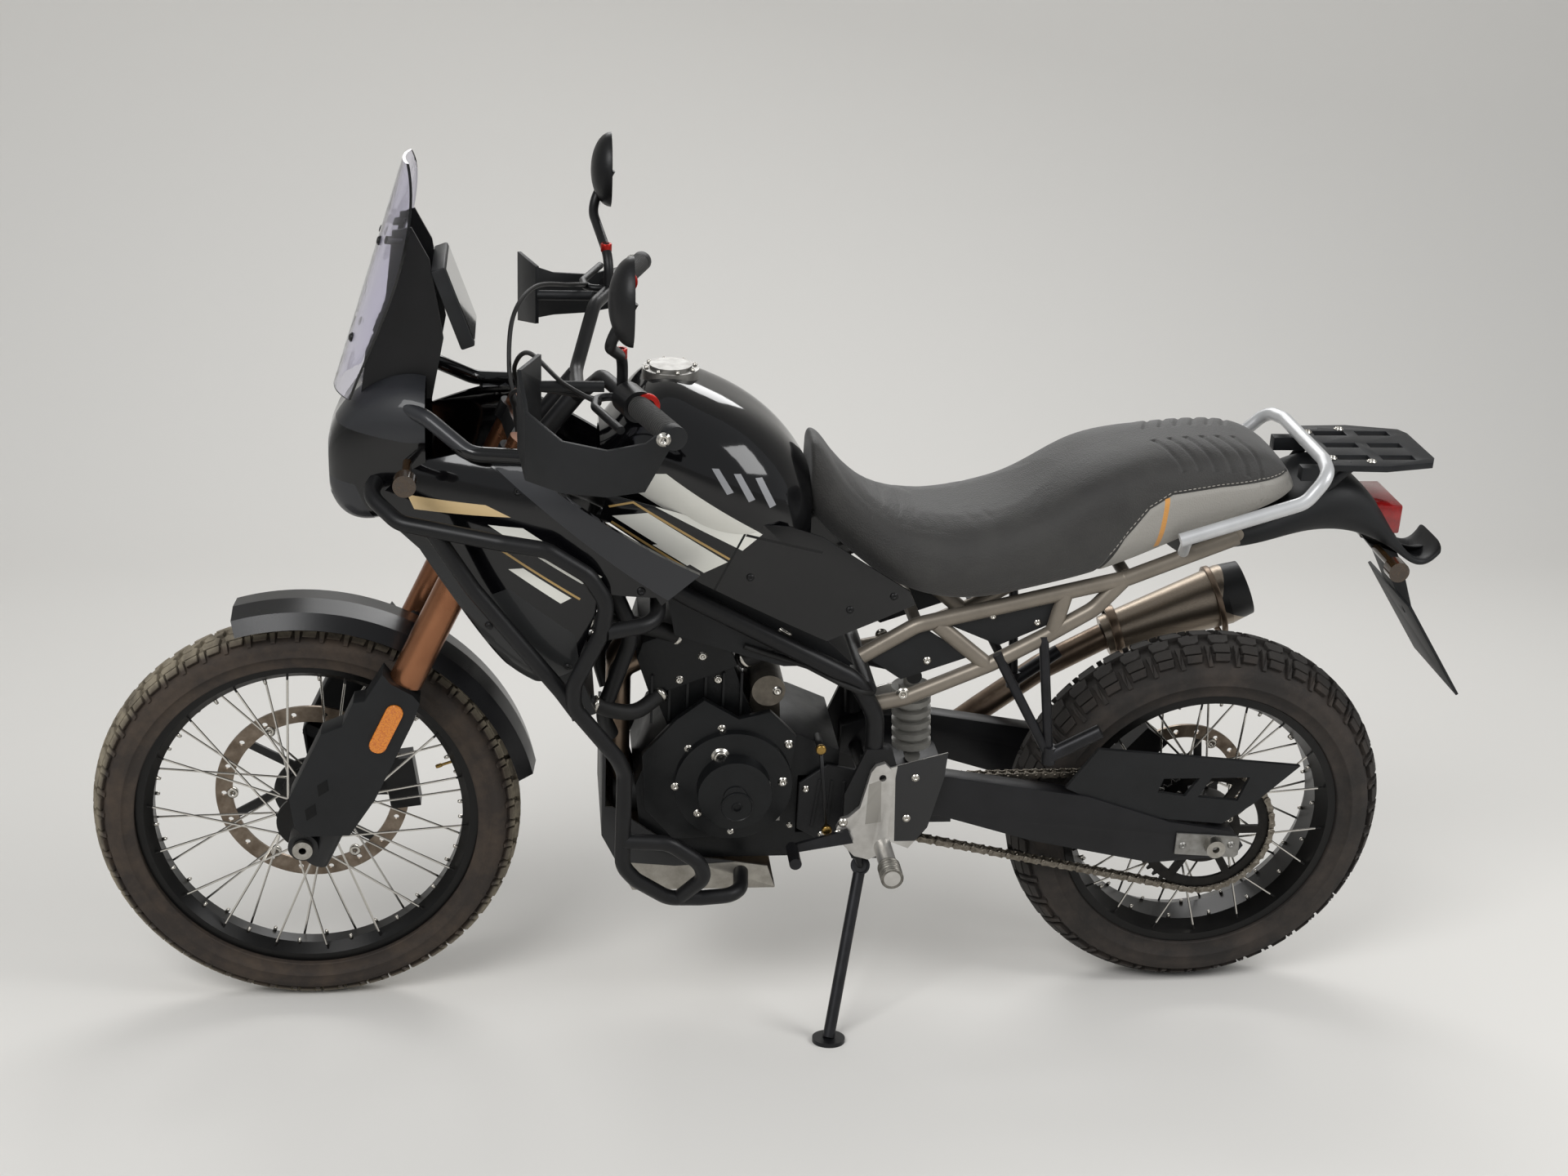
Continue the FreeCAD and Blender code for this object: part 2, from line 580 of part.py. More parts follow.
def bar_line(side):
    """Knee and end of one half of the handlebar."""
    knee = bar_point(D.bar_knee_back, side * D.bar_knee_side, D.bar_lift)
    end = bar_point(D.bar_sweep, side * D.bar_half_width, D.bar_lift)
    return knee, end


def along_bar(side, from_end):
    """A point on the outer stretch of the bar, this far in from its end."""
    knee, end = bar_line(side)
    return end + (knee - end).normalize() * from_end


def handlebar():
    knee_left, end_left = bar_line(-1)
    knee_right, end_right = bar_line(1)
    bar = tube([end_left, knee_left, bar_point(0, -D.bar_clamp_half, 0),
                bar_point(0, D.bar_clamp_half, 0), knee_right, end_right],
               D.bar_radius, D.bar_bend)
    top = D.upper_clamp + D.clamp_height / 2
    risers = [rod(fork_point(top, -D.clamp_boss * 0.6, side * D.riser_side),
                  bar_point(0, side * D.riser_side, 0), D.riser_radius) for side in SIDES]
    keep("handlebar", bar.multiFuse(risers).cut(clamp(D.upper_clamp)))


def grips():
    shapes = []
    for side in SIDES:
        body = rod(along_bar(side, D.grip_length), along_bar(side, 0), D.grip_radius)
        shapes.append(body.cut(rod(along_bar(side, D.grip_length + D.overrun),
                                   along_bar(side, 0), D.bar_radius)))
    keep("grips", Part.makeCompound(shapes))


def bar_controls():
    """Switch housings on the bar with a brake or clutch lever ahead of each grip."""
    shapes = []
    for side in SIDES:
        inner = along_bar(side, D.grip_length + D.switch_length)
        outer = along_bar(side, D.grip_length + D.running_gap)
        housing = rod(inner, outer, D.switch_radius)
        ahead = V(-D.lever_reach, 0, 0)
        lever = tube([inner, inner + ahead * 0.7, outer + ahead,
                      along_bar(side, D.grip_radius) + ahead], D.lever_radius, D.switch_radius)
        body = housing.fuse(lever)
        shapes.append(body.cut(rod(inner - (outer - inner), outer, D.bar_radius)))
    keep("bar_controls", Part.makeCompound(shapes))


GUARD_SHARES = [(0.0, 0.0, 0.13, -0.13), (-0.17, 0.04, -0.08, -0.66), (-0.42, 0.02, -0.18, -0.74),
                (-0.72, -0.06, -0.12, -0.74), (-0.95, -0.26, 0.10, -0.72),
                (-1.0, -0.60, 0.42, -0.56), (-0.86, -1.0, 0.40, -0.40)]


def hand_guards():
    """A deep bent blade from the bar's end round ahead of the grip, tied back to the bar."""
    shapes = []
    for side in SIDES:
        end = along_bar(side, -D.running_gap)
        rings = []
        for number, (back, out, top, bottom) in enumerate(GUARD_SHARES):
            here = end + V(back * D.shield_reach, side * out * D.shield_reach, 0)
            before, after = GUARD_SHARES[max(number - 1, 0)], GUARD_SHARES[min(number + 1,
                                                                  len(GUARD_SHARES) - 1)]
            along = V(after[0] - before[0], side * (after[1] - before[1]), 0)
            face = V(along.y, -along.x, 0).normalize() * (D.shield_wall / 2)
            high, low = UP * top * D.shield_height, UP * bottom * D.shield_height
            corners = [here - face + high, here + face + high, here + face + low,
                       here - face + low]
            rings.append(Part.makePolygon(corners + corners[:1]))
        blade = Part.makeLoft(rings, True, True)
        knee = along_bar(side, D.grip_length + 2 * D.switch_length)
        back, out, top, bottom = GUARD_SHARES[-1]
        tail = end + V(back * D.shield_reach, side * out * D.shield_reach, 0)
        tie = rod(tail, knee, D.guard_tube)
        cap = rod(end, end + (end - along_bar(side, D.grip_radius)), D.grip_radius)
        trim = rod(along_bar(side, D.grip_length + 3 * D.switch_length), end, D.grip_radius)
        shapes.append(largest(blade.multiFuse([tie, cap]).cut(trim)))
    keep("hand_guards", Part.makeCompound(shapes))


def mirrors():
    """A glass head on a bent stalk from each side of the bar."""
    shapes = []
    for side in SIDES:
        head = V(D.mirror_back, side * D.mirror_side, D.mirror_height)
        foot = along_bar(side, D.grip_length + D.switch_length * 1.4)
        rise = head.z - D.mirror_tall
        stalk = tube([foot, V(foot.x, foot.y + side * D.mirror_stalk, (foot.z + rise) / 2),
                      V(head.x - D.mirror_deep, head.y, rise), head], D.mirror_stalk, D.bar_bend)
        ball = Part.makeSphere(1, ORIGIN)
        shape = FreeCAD.Matrix()
        shape.scale(V(D.mirror_deep, D.mirror_wide, D.mirror_tall))
        ball = ball.transformGeometry(shape)
        ball.translate(head)
        glass_plane = Part.makeBox(D.mirror_deep * 2, D.mirror_wide * 4, D.mirror_tall * 4,
                                   head + V(0, -D.mirror_wide * 2, -D.mirror_tall * 2))
        shapes.append(ball.cut(glass_plane).fuse(stalk).cut(
            rod(along_bar(side, D.bar_half_width), along_bar(side, 0), D.bar_radius)))
    keep("mirrors", Part.makeCompound(shapes))


def front_fender():
    """A channel that follows the tyre, held by a stay to each fork guard."""
    inner = D.front_tyre_radius + D.fender_gap
    half, wall, drop = D.fender_half_width, D.fender_wall, D.fender_drop
    profile = [(inner, 0), (inner - drop * 0.25, half * 0.7), (inner - drop, half - wall),
               (inner - drop, half), (inner + wall - drop * 0.2, half * 0.75), (inner + wall, 0),
               (inner + wall - drop * 0.2, -half * 0.75), (inner - drop, -half),
               (inner - drop, wall - half), (inner - drop * 0.25, -half * 0.7)]
    points = [V(radius * math.cos(math.radians(D.fender_rear)), side,
                radius * math.sin(math.radians(D.fender_rear))) + FRONT_AXLE
              for radius, side in profile]
    arc = Part.Face(Part.makePolygon(points + points[:1])).revolve(
        FRONT_AXLE, V(0, -1, 0), D.fender_front - D.fender_rear)
    low = V(FRONT_AXLE.x, 0, FRONT_AXLE.z)
    high = low + V(D.front_tyre_radius, 0, D.front_tyre_radius)
    stay = prism(outline([(0.60, 0.80), (0.77, 0.70), (0.87, 0.56), (0.90, 0.48), (0.75, 0.545),
                          (0.69, 0.50), (0.44, 0.175), (0.405, 0.145), (0.37, 0.185),
                          (0.36, 0.30), (0.60, 0.70)], low, high), D.stay_wall / 2)
    boots = prism([fork_point(inner - drop * 1.5, ahead, 0) for ahead in (
        D.guard_radius * 1.5, -D.guard_radius)] + [
        fork_point(D.guard_length * 0.8, ahead, 0) for ahead in (
            -D.guard_radius, D.guard_radius * 1.5)], D.stay_wall / 2)
    stays = []
    for side in SIDES:
        for plate in (stay.copy(), boots.copy()):
            plate.translate(ACROSS * side * D.stay_side)
            stays.append(plate)
    return arc.multiFuse(stays)


GUARD_OUTLINE_SHARES = [(1.0, 0.49), (0.84, 0.56), (0.81, 0.73), (0.68, 0.72), (0.60, 1.0),
                        (0.30, 1.0), (0.235, 1.0), (0.10, 0.67), (0.08, 0.43), (0.17, -0.30),
                        (0.39, -0.42), (0.84, -0.40), (0.935, -0.35), (0.96, -0.16), (0.97, 0.27)]


def fork_guards():
    """A deep shield over the front and outside of each lower leg, on a ring near its foot."""
    wide = D.guard_radius * 2.4

    def shield(shrink, face_in, face_out):
        middle = (sum(a for a, _ in GUARD_OUTLINE_SHARES) / len(GUARD_OUTLINE_SHARES),
                  sum(b for _, b in GUARD_OUTLINE_SHARES) / len(GUARD_OUTLINE_SHARES))
        corners = []
        for a, b in GUARD_OUTLINE_SHARES:
            along, ahead = (a - middle[0]) * D.guard_length, (b - middle[1]) * wide
            less = 1 - shrink / math.hypot(along, ahead)
            corners.append(fork_point(middle[0] * D.guard_length + along * less,
                                      middle[1] * wide + ahead * less, 0))
        plate = Part.Face(Part.makePolygon(corners + corners[:1])).extrude(
            ACROSS * (face_out - face_in))
        plate.translate(ACROSS * face_in)
        return plate
    outer_face = D.fork_spread + D.guard_radius
    inner_face = outer_face - D.guard_deep
    shell = shield(0, inner_face, outer_face).cut(
        shield(D.guard_wall * 1.5, inner_face - D.overrun, outer_face - D.guard_wall))
    spread = D.fork_spread
    ring_at = D.axle_lug_radius * 3
    ring = rod(fork_point(ring_at, 0, spread), fork_point(ring_at * 1.3, 0, spread),
               D.guard_radius - D.guard_wall / 2)
    ring = ring.cut(rod(fork_point(ring_at - D.overrun, 0, spread),
                        fork_point(ring_at * 1.3 + D.overrun, 0, spread), D.stanchion_radius))
    web = flat_arm(fork_point(ring_at * 1.15, D.stanchion_radius, spread),
                   fork_point(ring_at * 1.15, wide * 0.97, spread), D.overrun, D.overrun / 2)
    lug_hole = pin(FRONT_AXLE, D.axle_lug_radius + D.running_gap, 0, outer_face + D.overrun)
    tube_hole = rod(fork_point(D.fork_tube_low - D.running_gap, 0, spread),
                    fork_point(D.fork_tube_high, 0, spread), D.fork_tube_radius + D.running_gap)
    leg = rod(fork_point(0, 0, spread), fork_point(D.fork_tube_high, 0, spread),
              D.stanchion_radius)
    guard = largest(shell.multiFuse([ring, web]).cut(lug_hole).cut(tube_hole).cut(leg))
    return pair(guard)


def caliper(centre, angle, disc_radius, disc_side, outward):
    """A brake caliper astride its disc."""
    radius = disc_radius - D.caliper_depth * 0.2
    half = D.caliper_width / 2
    low = V(-D.caliper_length / 2, disc_side - half, radius - D.caliper_depth / 2)
    body = block(low, V(D.caliper_length / 2, disc_side + outward, radius + D.caliper_depth / 2))
    slot_half = D.disc_thickness / 2 + D.caliper_gap
    slot = pin(ORIGIN, disc_radius + D.caliper_gap, disc_side - slot_half, disc_side + slot_half)
    body = body.cut(slot)
    body.rotate(ORIGIN, V(0, -1, 0), angle - 90)
    body.translate(centre)
    return body


def front_end():
    fork()
    triple_clamps()
    handlebar()
    grips()
    bar_controls()
    hand_guards()
    mirrors()
    shields = fork_guards()
    outward = D.fork_spread - D.stanchion_radius - D.front_disc_side
    reach = D.front_disc_radius - D.front_disc_width / 2
    start = fork_point(D.carrier_rise, 0, D.carrier_side)
    end = V(FRONT_AXLE.x + reach, D.carrier_side, start.z)
    carrier = flat_arm(start, end, D.carrier_height, D.carrier_thickness)
    leg = rod(fork_point(-D.axle_lug_radius, 0, D.fork_spread),
              fork_point(D.fork_tube_low, 0, D.fork_spread), D.stanchion_radius)
    lug = pin(FRONT_AXLE, D.axle_lug_radius, D.fork_spread - D.axle_lug_length / 2, D.fork_spread)
    brake = caliper(FRONT_AXLE, D.front_caliper_angle, D.front_disc_radius, D.front_disc_side,
                    outward).fuse(carrier.cut(leg).cut(lug))
    keep("front_caliper", brake)
    fender = front_fender().cut(brake)
    for side in SIDES:
        fender = fender.cut(rod(fork_point(-D.axle_lug_radius, 0, side * D.fork_spread),
                                fork_point(D.fork_tube_high, 0, side * D.fork_spread),
                                D.fork_tube_radius))
    shields = shields.cut(brake)
    keep("fork_guards", shields)
    keep("front_fender", largest(fender.cut(shields)))


front_end()


# Frame, subframe and swingarm

PIVOT = V(D.pivot_back, 0, D.pivot_height)


def main_frame():
    """Head tube, two main tubes to the pivot plates, two front tubes to the engine, cross tubes."""
    half = D.clamp_height / 2 + D.running_gap
    head_low = fork_point(D.lower_clamp + half, STEM_AHEAD)
    head_high = fork_point(D.upper_clamp - half, STEM_AHEAD)
    head = rod(head_low, head_high, D.head_tube_radius)
    bore = rod(head_low - FORK_UP * D.overrun, head_high + FORK_UP * D.overrun,
               D.stem_radius + D.running_gap)
    low = V(head_low.x, 0, D.pivot_height)
    high = V(D.pivot_back, D.frame_side, head_high.z)
    main = place([(0.13, 0.0, 0.93), (0.27, 0.9, 0.80), (0.50, 1.0, 0.66), (0.93, 1.0, 0.41),
                  (0.985, 1.0, 0.30), (0.99, 1.0, 0.10)], low, high)
    front = place([(0.05, 0.0, 0.76), (0.30, 0.88, 0.70), (0.36, 0.95, 0.55), (0.285, 0.88, 0.30),
                   (0.31, 0.70, 0.22)], low, high)
    parts = []
    for side in SIDES:
        turn = FreeCAD.Matrix()
        turn.scale(V(1, side, 1))
        parts.append(tube([turn.multVec(p) for p in main], D.frame_tube))
        parts.append(tube([turn.multVec(p) for p in front], D.frame_tube * 0.85))
        inner = D.plate_side * side
        outer = (D.plate_side + D.plate_wall) * side
        corner = V(D.pivot_back - D.arm_cross, min(inner, outer), D.footrest_low)
        far = V(D.pivot_back + D.arm_cross * 0.7, max(inner, outer), D.pivot_height * 1.3)
        parts.append(slab([(0.2, 0), (0.7, 0), (1, 0.35), (1, 0.7), (0.8, 1), (0.35, 1),
                           (0, 0.6), (0, 0.2)], corner, far))
    cross_high = place([(0.96, 0, 0.38)], low, high)[0]
    parts.append(pin(cross_high, D.frame_tube, -D.frame_side, D.frame_side))
    parts.append(pin(PIVOT, D.stanchion_radius / 2, -D.plate_side, D.plate_side))
    top = shock_point(D.shock_tall)
    yoke = V(cross_high.x, 0, cross_high.z)
    parts.append(rod(yoke, top, D.eye_radius * 0.85))
    parts.append(pin(top, D.eye_radius, -D.spring_radius, D.spring_radius))
    return head.multiFuse(parts + stand_ears()).cut(bore)


def shock_point(along):
    """A point on the shock's axis, above its lower eye."""
    tilt = math.radians(D.shock_lean)
    return V(D.shock_back - along * math.sin(tilt), 0, D.shock_low + along * math.cos(tilt))


def shock():
    """Damper, corrugated spring outline and an eye at each end."""
    start, end = shock_point(D.eye_radius), shock_point(D.shock_tall - D.eye_radius * 2)
    body = rod(start, end, D.damper_radius)
    run = (end - start).Length
    pitch = run / D.spring_coils
    rings = [rod(start + (end - start).normalize() * (pitch * (k + 0.25)),
                 start + (end - start).normalize() * (pitch * (k + 0.75)), D.spring_radius)
             for k in range(int(D.spring_coils))]
    low_eye = pin(shock_point(0), D.eye_radius, -D.eye_radius, D.eye_radius)
    neck = rod(shock_point(0), start, D.eye_radius)
    keep("shock", body.multiFuse(rings + [low_eye, neck,
                                          rod(end, shock_point(D.shock_tall - D.eye_radius
                                                               - D.running_gap), D.eye_radius)]))


ARM_LOW = V(PIVOT.x - D.arm_cross / 2, D.arm_outer - D.arm_wall, REAR_AXLE.z - D.arm_cross * 0.65)
ARM_HIGH = V(REAR_AXLE.x + D.arm_cross, D.arm_outer, PIVOT.z + D.arm_cross * 1.15)
ARM_SHAPE = [(0, 0.56), (0.05, 0.5), (0.20, 0.58), (0.44, 0.28), (0.76, 0.0), (0.98, 0.06),
             (1.0, 0.18), (0.97, 0.34), (0.80, 0.46), (0.58, 0.76), (0.22, 1.0), (0.08, 0.98),
             (0, 0.86)]


def swingarm():
    """Two deep arms joined ahead of the tyre, hollow at the pivot and bored for the axle."""
    right = slab(ARM_SHAPE, ARM_LOW, ARM_HIGH)
    cross = block(V(PIVOT.x + D.arm_cross * 0.55, -D.arm_outer + D.overrun / 2,
                    PIVOT.z - D.arm_cross / 2),
                  V(PIVOT.x + D.arm_cross * 2.4, D.arm_outer - D.overrun / 2,
                    PIVOT.z + D.arm_cross / 2))
    arms = right.multiFuse([flip(right), cross])
    arms = arms.cut(pin(PIVOT, D.stanchion_radius / 2 + D.running_gap, -D.arm_outer, D.arm_outer))
    arms = arms.cut(pin(REAR_AXLE, D.rear_axle_radius, -D.arm_outer, D.arm_outer))
    keep("swingarm", arms)


def chain_guard():
    """A fin over the chain, standing on the left arm."""
    low = V(REAR_AXLE.x - D.arm_cross * 5, -D.arm_outer + D.panel_wall, REAR_AXLE.z)
    high = V(REAR_AXLE.x + D.arm_cross * 2.5, -D.arm_outer + D.panel_wall * 3, PIVOT.z * 1.27)
    fin = slab([(0.02, 0.60), (0.14, 1.0), (1.0, 0.80), (0.82, 0.40), (0.70, 0.20), (0.3, 0.3)],
               low, high)
    arm = flip(slab(ARM_SHAPE, ARM_LOW, ARM_HIGH))
    keep("chain_guard", fin.cut(arm))


def subframe():
    """Two rails a side with braces, tied by cross tubes under the seat."""
    low = V(D.pivot_back - 0.83 * D.arm_cross, 0, D.pivot_height * 1.475)
    high = V(D.wheelbase, D.subframe_side, D.seat_low + D.seat_height / 2)
    rails = [[(0.016, 0.94, 0.26), (0.153, 0.98, 0.44), (0.52, 1, 0.62), (0.687, 1, 0.70),
              (0.968, 0.94, 0.92)],
             [(0.04, 0.96, -0.02), (0.135, 0.96, 0.02), (0.353, 0.98, 0.216), (0.489, 1, 0.375),
              (0.611, 1, 0.53), (0.687, 1, 0.71)],
             [(0.203, 0.98, 0.447), (0.345, 0.98, 0.21)],
             [(0.532, 1, 0.625), (0.508, 1, 0.40)]]
    parts = [tube(place(rail, low, high), D.subframe_tube) for rail in rails]
    parts += [flip(part) for part in parts]
    for share in ((0.153, 0, 0.44), (0.687, 0, 0.71), (0.968, 0, 0.93)):
        centre = place([share], low, high)[0]
        parts.append(pin(centre, D.subframe_tube * 0.8, -D.subframe_side * 0.95,
                         D.subframe_side * 0.95))
    return parts[0].multiFuse(parts[1:])


# Engine

CRANK = V(D.crank_back, 0, D.crank_height)


def engine_block():
    """The crankcase as one plain block of its own outline."""
    low = V(CRANK.x - D.case_front, -D.case_half,
            D.skid_low + D.skid_wall + 2 * D.exhaust_tube + D.pipe_gap)
    high = V(D.sprocket_back + D.eye_radius, D.case_half, CRANK.z + D.case_half)
    block_part = slab([(0.04, 0.05), (0.0, 0.55), (0.08, 0.85), (0.20, 1.0), (0.55, 1.0),
                       (0.80, 0.92), (1.0, 0.80), (1.0, 0.25), (0.80, 0.0), (0.14, 0.0)],
                      low, high)
    room = pitch_radius(D.front_teeth) + D.chain_height
    recess = block(V(D.sprocket_back - room, -D.case_half - D.overrun, D.sprocket_height - room),
                   V(high.x + D.overrun, -D.sprocket_side + D.chain_half_width + D.pipe_gap,
                     D.sprocket_height + room))
    shaft = pin(FRONT_SPROCKET, D.axle_head_radius, -D.sprocket_side, -D.sprocket_side / 2)
    gear = pin(FRONT_SPROCKET, pitch_radius(D.front_teeth) - D.chain_height / 2 - D.running_gap,
               -D.sprocket_side - D.sprocket_thickness / 2,
               -D.sprocket_side + D.sprocket_thickness / 2)
    return block_part.cut(recess).multiFuse([shaft, gear])


def cylinder_point(along, ahead, side=0.0):
    """A point given along the cylinders from the crankshaft, and ahead of their axis."""
    tilt = math.radians(D.cylinder_tilt)
    return CRANK + V(-math.sin(tilt) * along - math.cos(tilt) * ahead, side,
                     math.cos(tilt) * along - math.sin(tilt) * ahead)


def cylinder_head():
    """Two upright cylinders in one block, the head above and its cover on top."""
    front, top, head = D.cylinder_front, D.cylinder_top, D.head_top
    barrel = prism([cylinder_point(D.case_half * 0.8, -front), cylinder_point(D.case_half * 0.8, front),
                    cylinder_point(top, front), cylinder_point(top, -front)],
                   D.cylinder_half * 0.92)
    cap = prism([cylinder_point(top, -front * 1.1), cylinder_point(top, front * 1.1),
                 cylinder_point(head * 0.92, front * 1.05), cylinder_point(head, front * 0.8),
                 cylinder_point(head, -front * 0.8), cylinder_point(head * 0.92, -front * 1.05)],
                D.cylinder_half)
    return barrel.fuse(cap)


def engine_covers():
    """The round generator cover on the left and the clutch cover on the right."""
    face = -D.case_half
    left = pin(CRANK, D.cover_radius, face - D.cover_wall, face)
    dome = pin(CRANK, D.dome_radius, face - D.cover_wall - D.dome_wall, face)
    cap = pin(CRANK, D.cap_radius, face - D.cover_wall - D.dome_wall - D.panel_wall, face)
    clutch_at = V(D.clutch_back, 0, D.clutch_height)
    right = pin(clutch_at, D.clutch_radius, D.case_half, D.case_half + D.cover_wall)
    rim = pin(clutch_at, D.clutch_radius * 0.8, D.case_half, D.case_half + D.cover_wall * 1.6)
    front = pin(CRANK, D.dome_radius, D.case_half, D.case_half + D.cover_wall)
    low = V(CRANK.x - D.case_front, 0, CRANK.z - D.case_front)
    high = V(CRANK.x + D.case_front, 0, CRANK.z + D.case_front)
    case = slab([(0.05, 0.35), (0.03, 0.66), (0.20, 0.86), (0.34, 0.97), (0.52, 0.86),
                 (0.68, 0.90), (0.82, 0.76), (0.78, 0.36), (0.56, 0.19), (0.20, 0.17)],
                V(low.x, face - D.case_cover, low.z), V(high.x, face, high.z))
    return [left.multiFuse([dome, cap, case]), right.multiFuse([rim, front])]


def starter():
    """The starter motor across the case behind the cylinders, on its cast foot."""
    at = V(D.starter_back, 0, D.starter_height)
    wide, drop = D.starter_radius * 0.8, D.starter_height - D.crank_height
    foot = prism([at + V(-wide, 0, 0), at + V(wide, 0, 0), at + V(wide * 1.4, 0, -drop),
                  at + V(-wide * 1.8, 0, -drop)], D.case_half * 0.6)
    return pin(at, D.starter_radius, -D.case_half, 0).fuse(foot)


def airbox():
    """The air filter's box between the main tubes, behind and above the cylinders."""
    low = V(D.cover_front, 0, D.cover_low)
    high = low + V(D.cover_length, 0, D.cover_height)
    return prism(outline([(0.26, 0.42), (0.34, 0.50), (0.72, 0.18), (0.815, 0.04), (0.61, 0.035),
                          (0.49, 0.09), (0.29, 0.19)], low, high), D.airbox_half)


def exhaust_pipe():
    """Two header pipes ahead of the engine, joined below it and led back on the right."""
    port = cylinder_point((D.cylinder_top + D.head_top) / 2, D.cylinder_front * 1.03)
    parts = []
    skid_front = V(D.skid_front, 0, D.skid_low)
    column = D.skid_front + D.skid_wall + D.pipe_gap + D.header_tube
    floor = D.skid_low + D.skid_wall + D.exhaust_tube + D.running_gap
    for side in SIDES:
        spread = D.cylinder_half * 0.4 * side
        parts.append(tube([port + ACROSS * spread,
                           V(column, spread, port.z - D.header_tube),
                           V(column, spread * 0.95, D.crank_height),
                           V(column + D.exhaust_tube * 2.4, spread * 0.9, floor),
                           V(skid_front.x + D.skid_length * 0.5, D.cylinder_half * 0.3, floor)],
                          D.header_tube, D.exhaust_bend))
    start = V(D.silencer_front, D.silencer_side, D.silencer_height)
    low = V(skid_front.x + D.skid_length * 0.45, 0, floor)
    path = place([(0.0, 0.15, 0.0), (0.30, 0.30, 0.0), (0.44, 0.93, 0.01), (0.56, 0.97, 0.20),
                  (0.72, 0.98, 0.53), (0.86, 1.0, 0.80), (1.0, 1.0, 1.0)], low, start)
    parts.append(tube(path, D.exhaust_tube, D.exhaust_bend))
    return parts[0].multiFuse(parts[1:])


def silencer():
    """A can that widens to the rear, with an end cap and a short tail pipe."""
    tilt = math.radians(D.silencer_angle)
    along = V(math.cos(tilt), 0, math.sin(tilt))
    start = V(D.silencer_front, D.silencer_side, D.silencer_height)
    body = Part.makeCone(D.silencer_small, D.silencer_large, D.silencer_length * 0.85, start, along)
    cap_at = start + along * D.silencer_length * 0.85
    cap = Part.makeCone(D.silencer_large, D.silencer_large * 0.9, D.silencer_length * 0.15,
                        cap_at, along)
    hole_at = start + along * D.silencer_length * 0.8
    hole = Part.makeCylinder(D.exhaust_tube * 0.8, D.silencer_length, hole_at, along)
    return body.fuse(cap).cut(hole)


def radiator():
    """The core between two tanks, leaning with the fork."""
    core = block(V(-D.radiator_thick / 2, -D.radiator_half * 0.82, -D.radiator_tall / 2),
                 V(D.radiator_thick / 2, D.radiator_half * 0.82, D.radiator_tall / 2))
    tank = block(V(-D.radiator_thick * 0.6, D.radiator_half * 0.82, -D.radiator_tall * 0.45),
                 V(D.radiator_thick * 0.6, D.radiator_half, D.radiator_tall * 0.45))
    pitch = D.radiator_tall / (D.core_slats + 1)
    for number in range(int(D.core_slats)):
        level = pitch * (number + 1) - D.radiator_tall / 2
        core = core.cut(block(V(-D.radiator_thick / 2, -D.radiator_half * 0.8,
                                level - pitch * 0.3),
                              V(D.core_groove - D.radiator_thick / 2, D.radiator_half * 0.8,
                                level + pitch * 0.3)))
    body = core.multiFuse([tank, flip(tank)])
    body.rotate(ORIGIN, ACROSS, -D.rake_angle * 0.8)
    body.translate(V(D.radiator_back, 0, D.radiator_height))
    return body


def skid_plate():
    """A bent sheet from ahead of the pipes to under the sump, with low side walls."""
    low = V(D.skid_front, -D.skid_half, D.skid_low)
    high = V(D.skid_front + D.skid_length, D.skid_half, D.skid_low + D.skid_height)
    outer = [(0.0, 1.0), (0.0, 0.40), (0.18, 0.0), (1.0, 0.0)]
    edge = D.skid_wall / D.skid_length * 1.4
    rise = D.skid_wall / D.skid_height
    inner = [(1.0, rise), (0.18 + edge * 0.6, rise), (edge, 0.41), (edge, 1.0)]
    sheet_part = slab(outer + inner, low, high)
    parts = [sheet_part]
    for side in SIDES:
        wall_low = V(low.x, min(side * D.skid_half, side * (D.skid_half - D.skid_wall)), low.z)
        wall_high = V(high.x, max(side * D.skid_half, side * (D.skid_half - D.skid_wall)), high.z)
        parts.append(slab([(0.0, 0.41), (0.18, 0.0), (1.0, 0.0), (0.95, 0.16),
                           (0.50, 0.24), (0.06, 0.60), (0.0, 0.60)], wall_low, wall_high))
    return parts[0].multiFuse(parts[1:])


def crash_bars():
    """Two bars a side round the fairing and a loop round the engine, tied at the nose and below."""
    low = V(D.crash_front, 0, D.crash_low)
    high = V(D.crash_front + D.crash_length, D.crash_half, D.crash_low + D.crash_height)
    paths = [
        [(0.05, 0.40, 0.985), (0.02, 0.60, 0.965), (0.10, 0.82, 0.93), (0.35, 0.98, 0.908),
         (0.46, 1.0, 0.895), (0.565, 1.0, 0.838), (0.61, 1.0, 0.778), (0.60, 1.0, 0.71),
         (0.53, 1.0, 0.59), (0.53, 0.96, 0.53), (0.645, 0.92, 0.40), (0.665, 0.87, 0.355),
         (0.663, 0.85, 0.12), (0.70, 0.83, 0.08), (0.79, 0.77, 0.02), (0.88, 0.74, 0.012),
         (0.99, 0.72, 0.015), (1.0, 0.43, 0.02)],
        [(0.18, 0.86, 0.92), (0.28, 0.88, 0.79), (0.50, 0.92, 0.56), (0.545, 0.955, 0.51)],
        [(0.61, 1.0, 0.71), (0.74, 0.90, 0.715), (0.75, 0.55, 0.745)],
        [(0.665, 0.86, 0.185), (0.785, 0.87, 0.18), (0.87, 0.85, 0.125), (0.885, 0.84, 0.085),
         (0.82, 0.76, 0.018)]]
    bars = [tube(place(path, low, high), D.crash_tube, D.crash_bend) for path in paths]
    bars += [flip(bar) for bar in bars]
    nose = place([(0.05, 0, 0.985)], low, high)[0]
    reach = D.crash_half * 0.40
    bars.append(pin(nose, D.crash_tube, -reach, reach))
    return bars[0].multiFuse(bars[1:])


# Bodywork

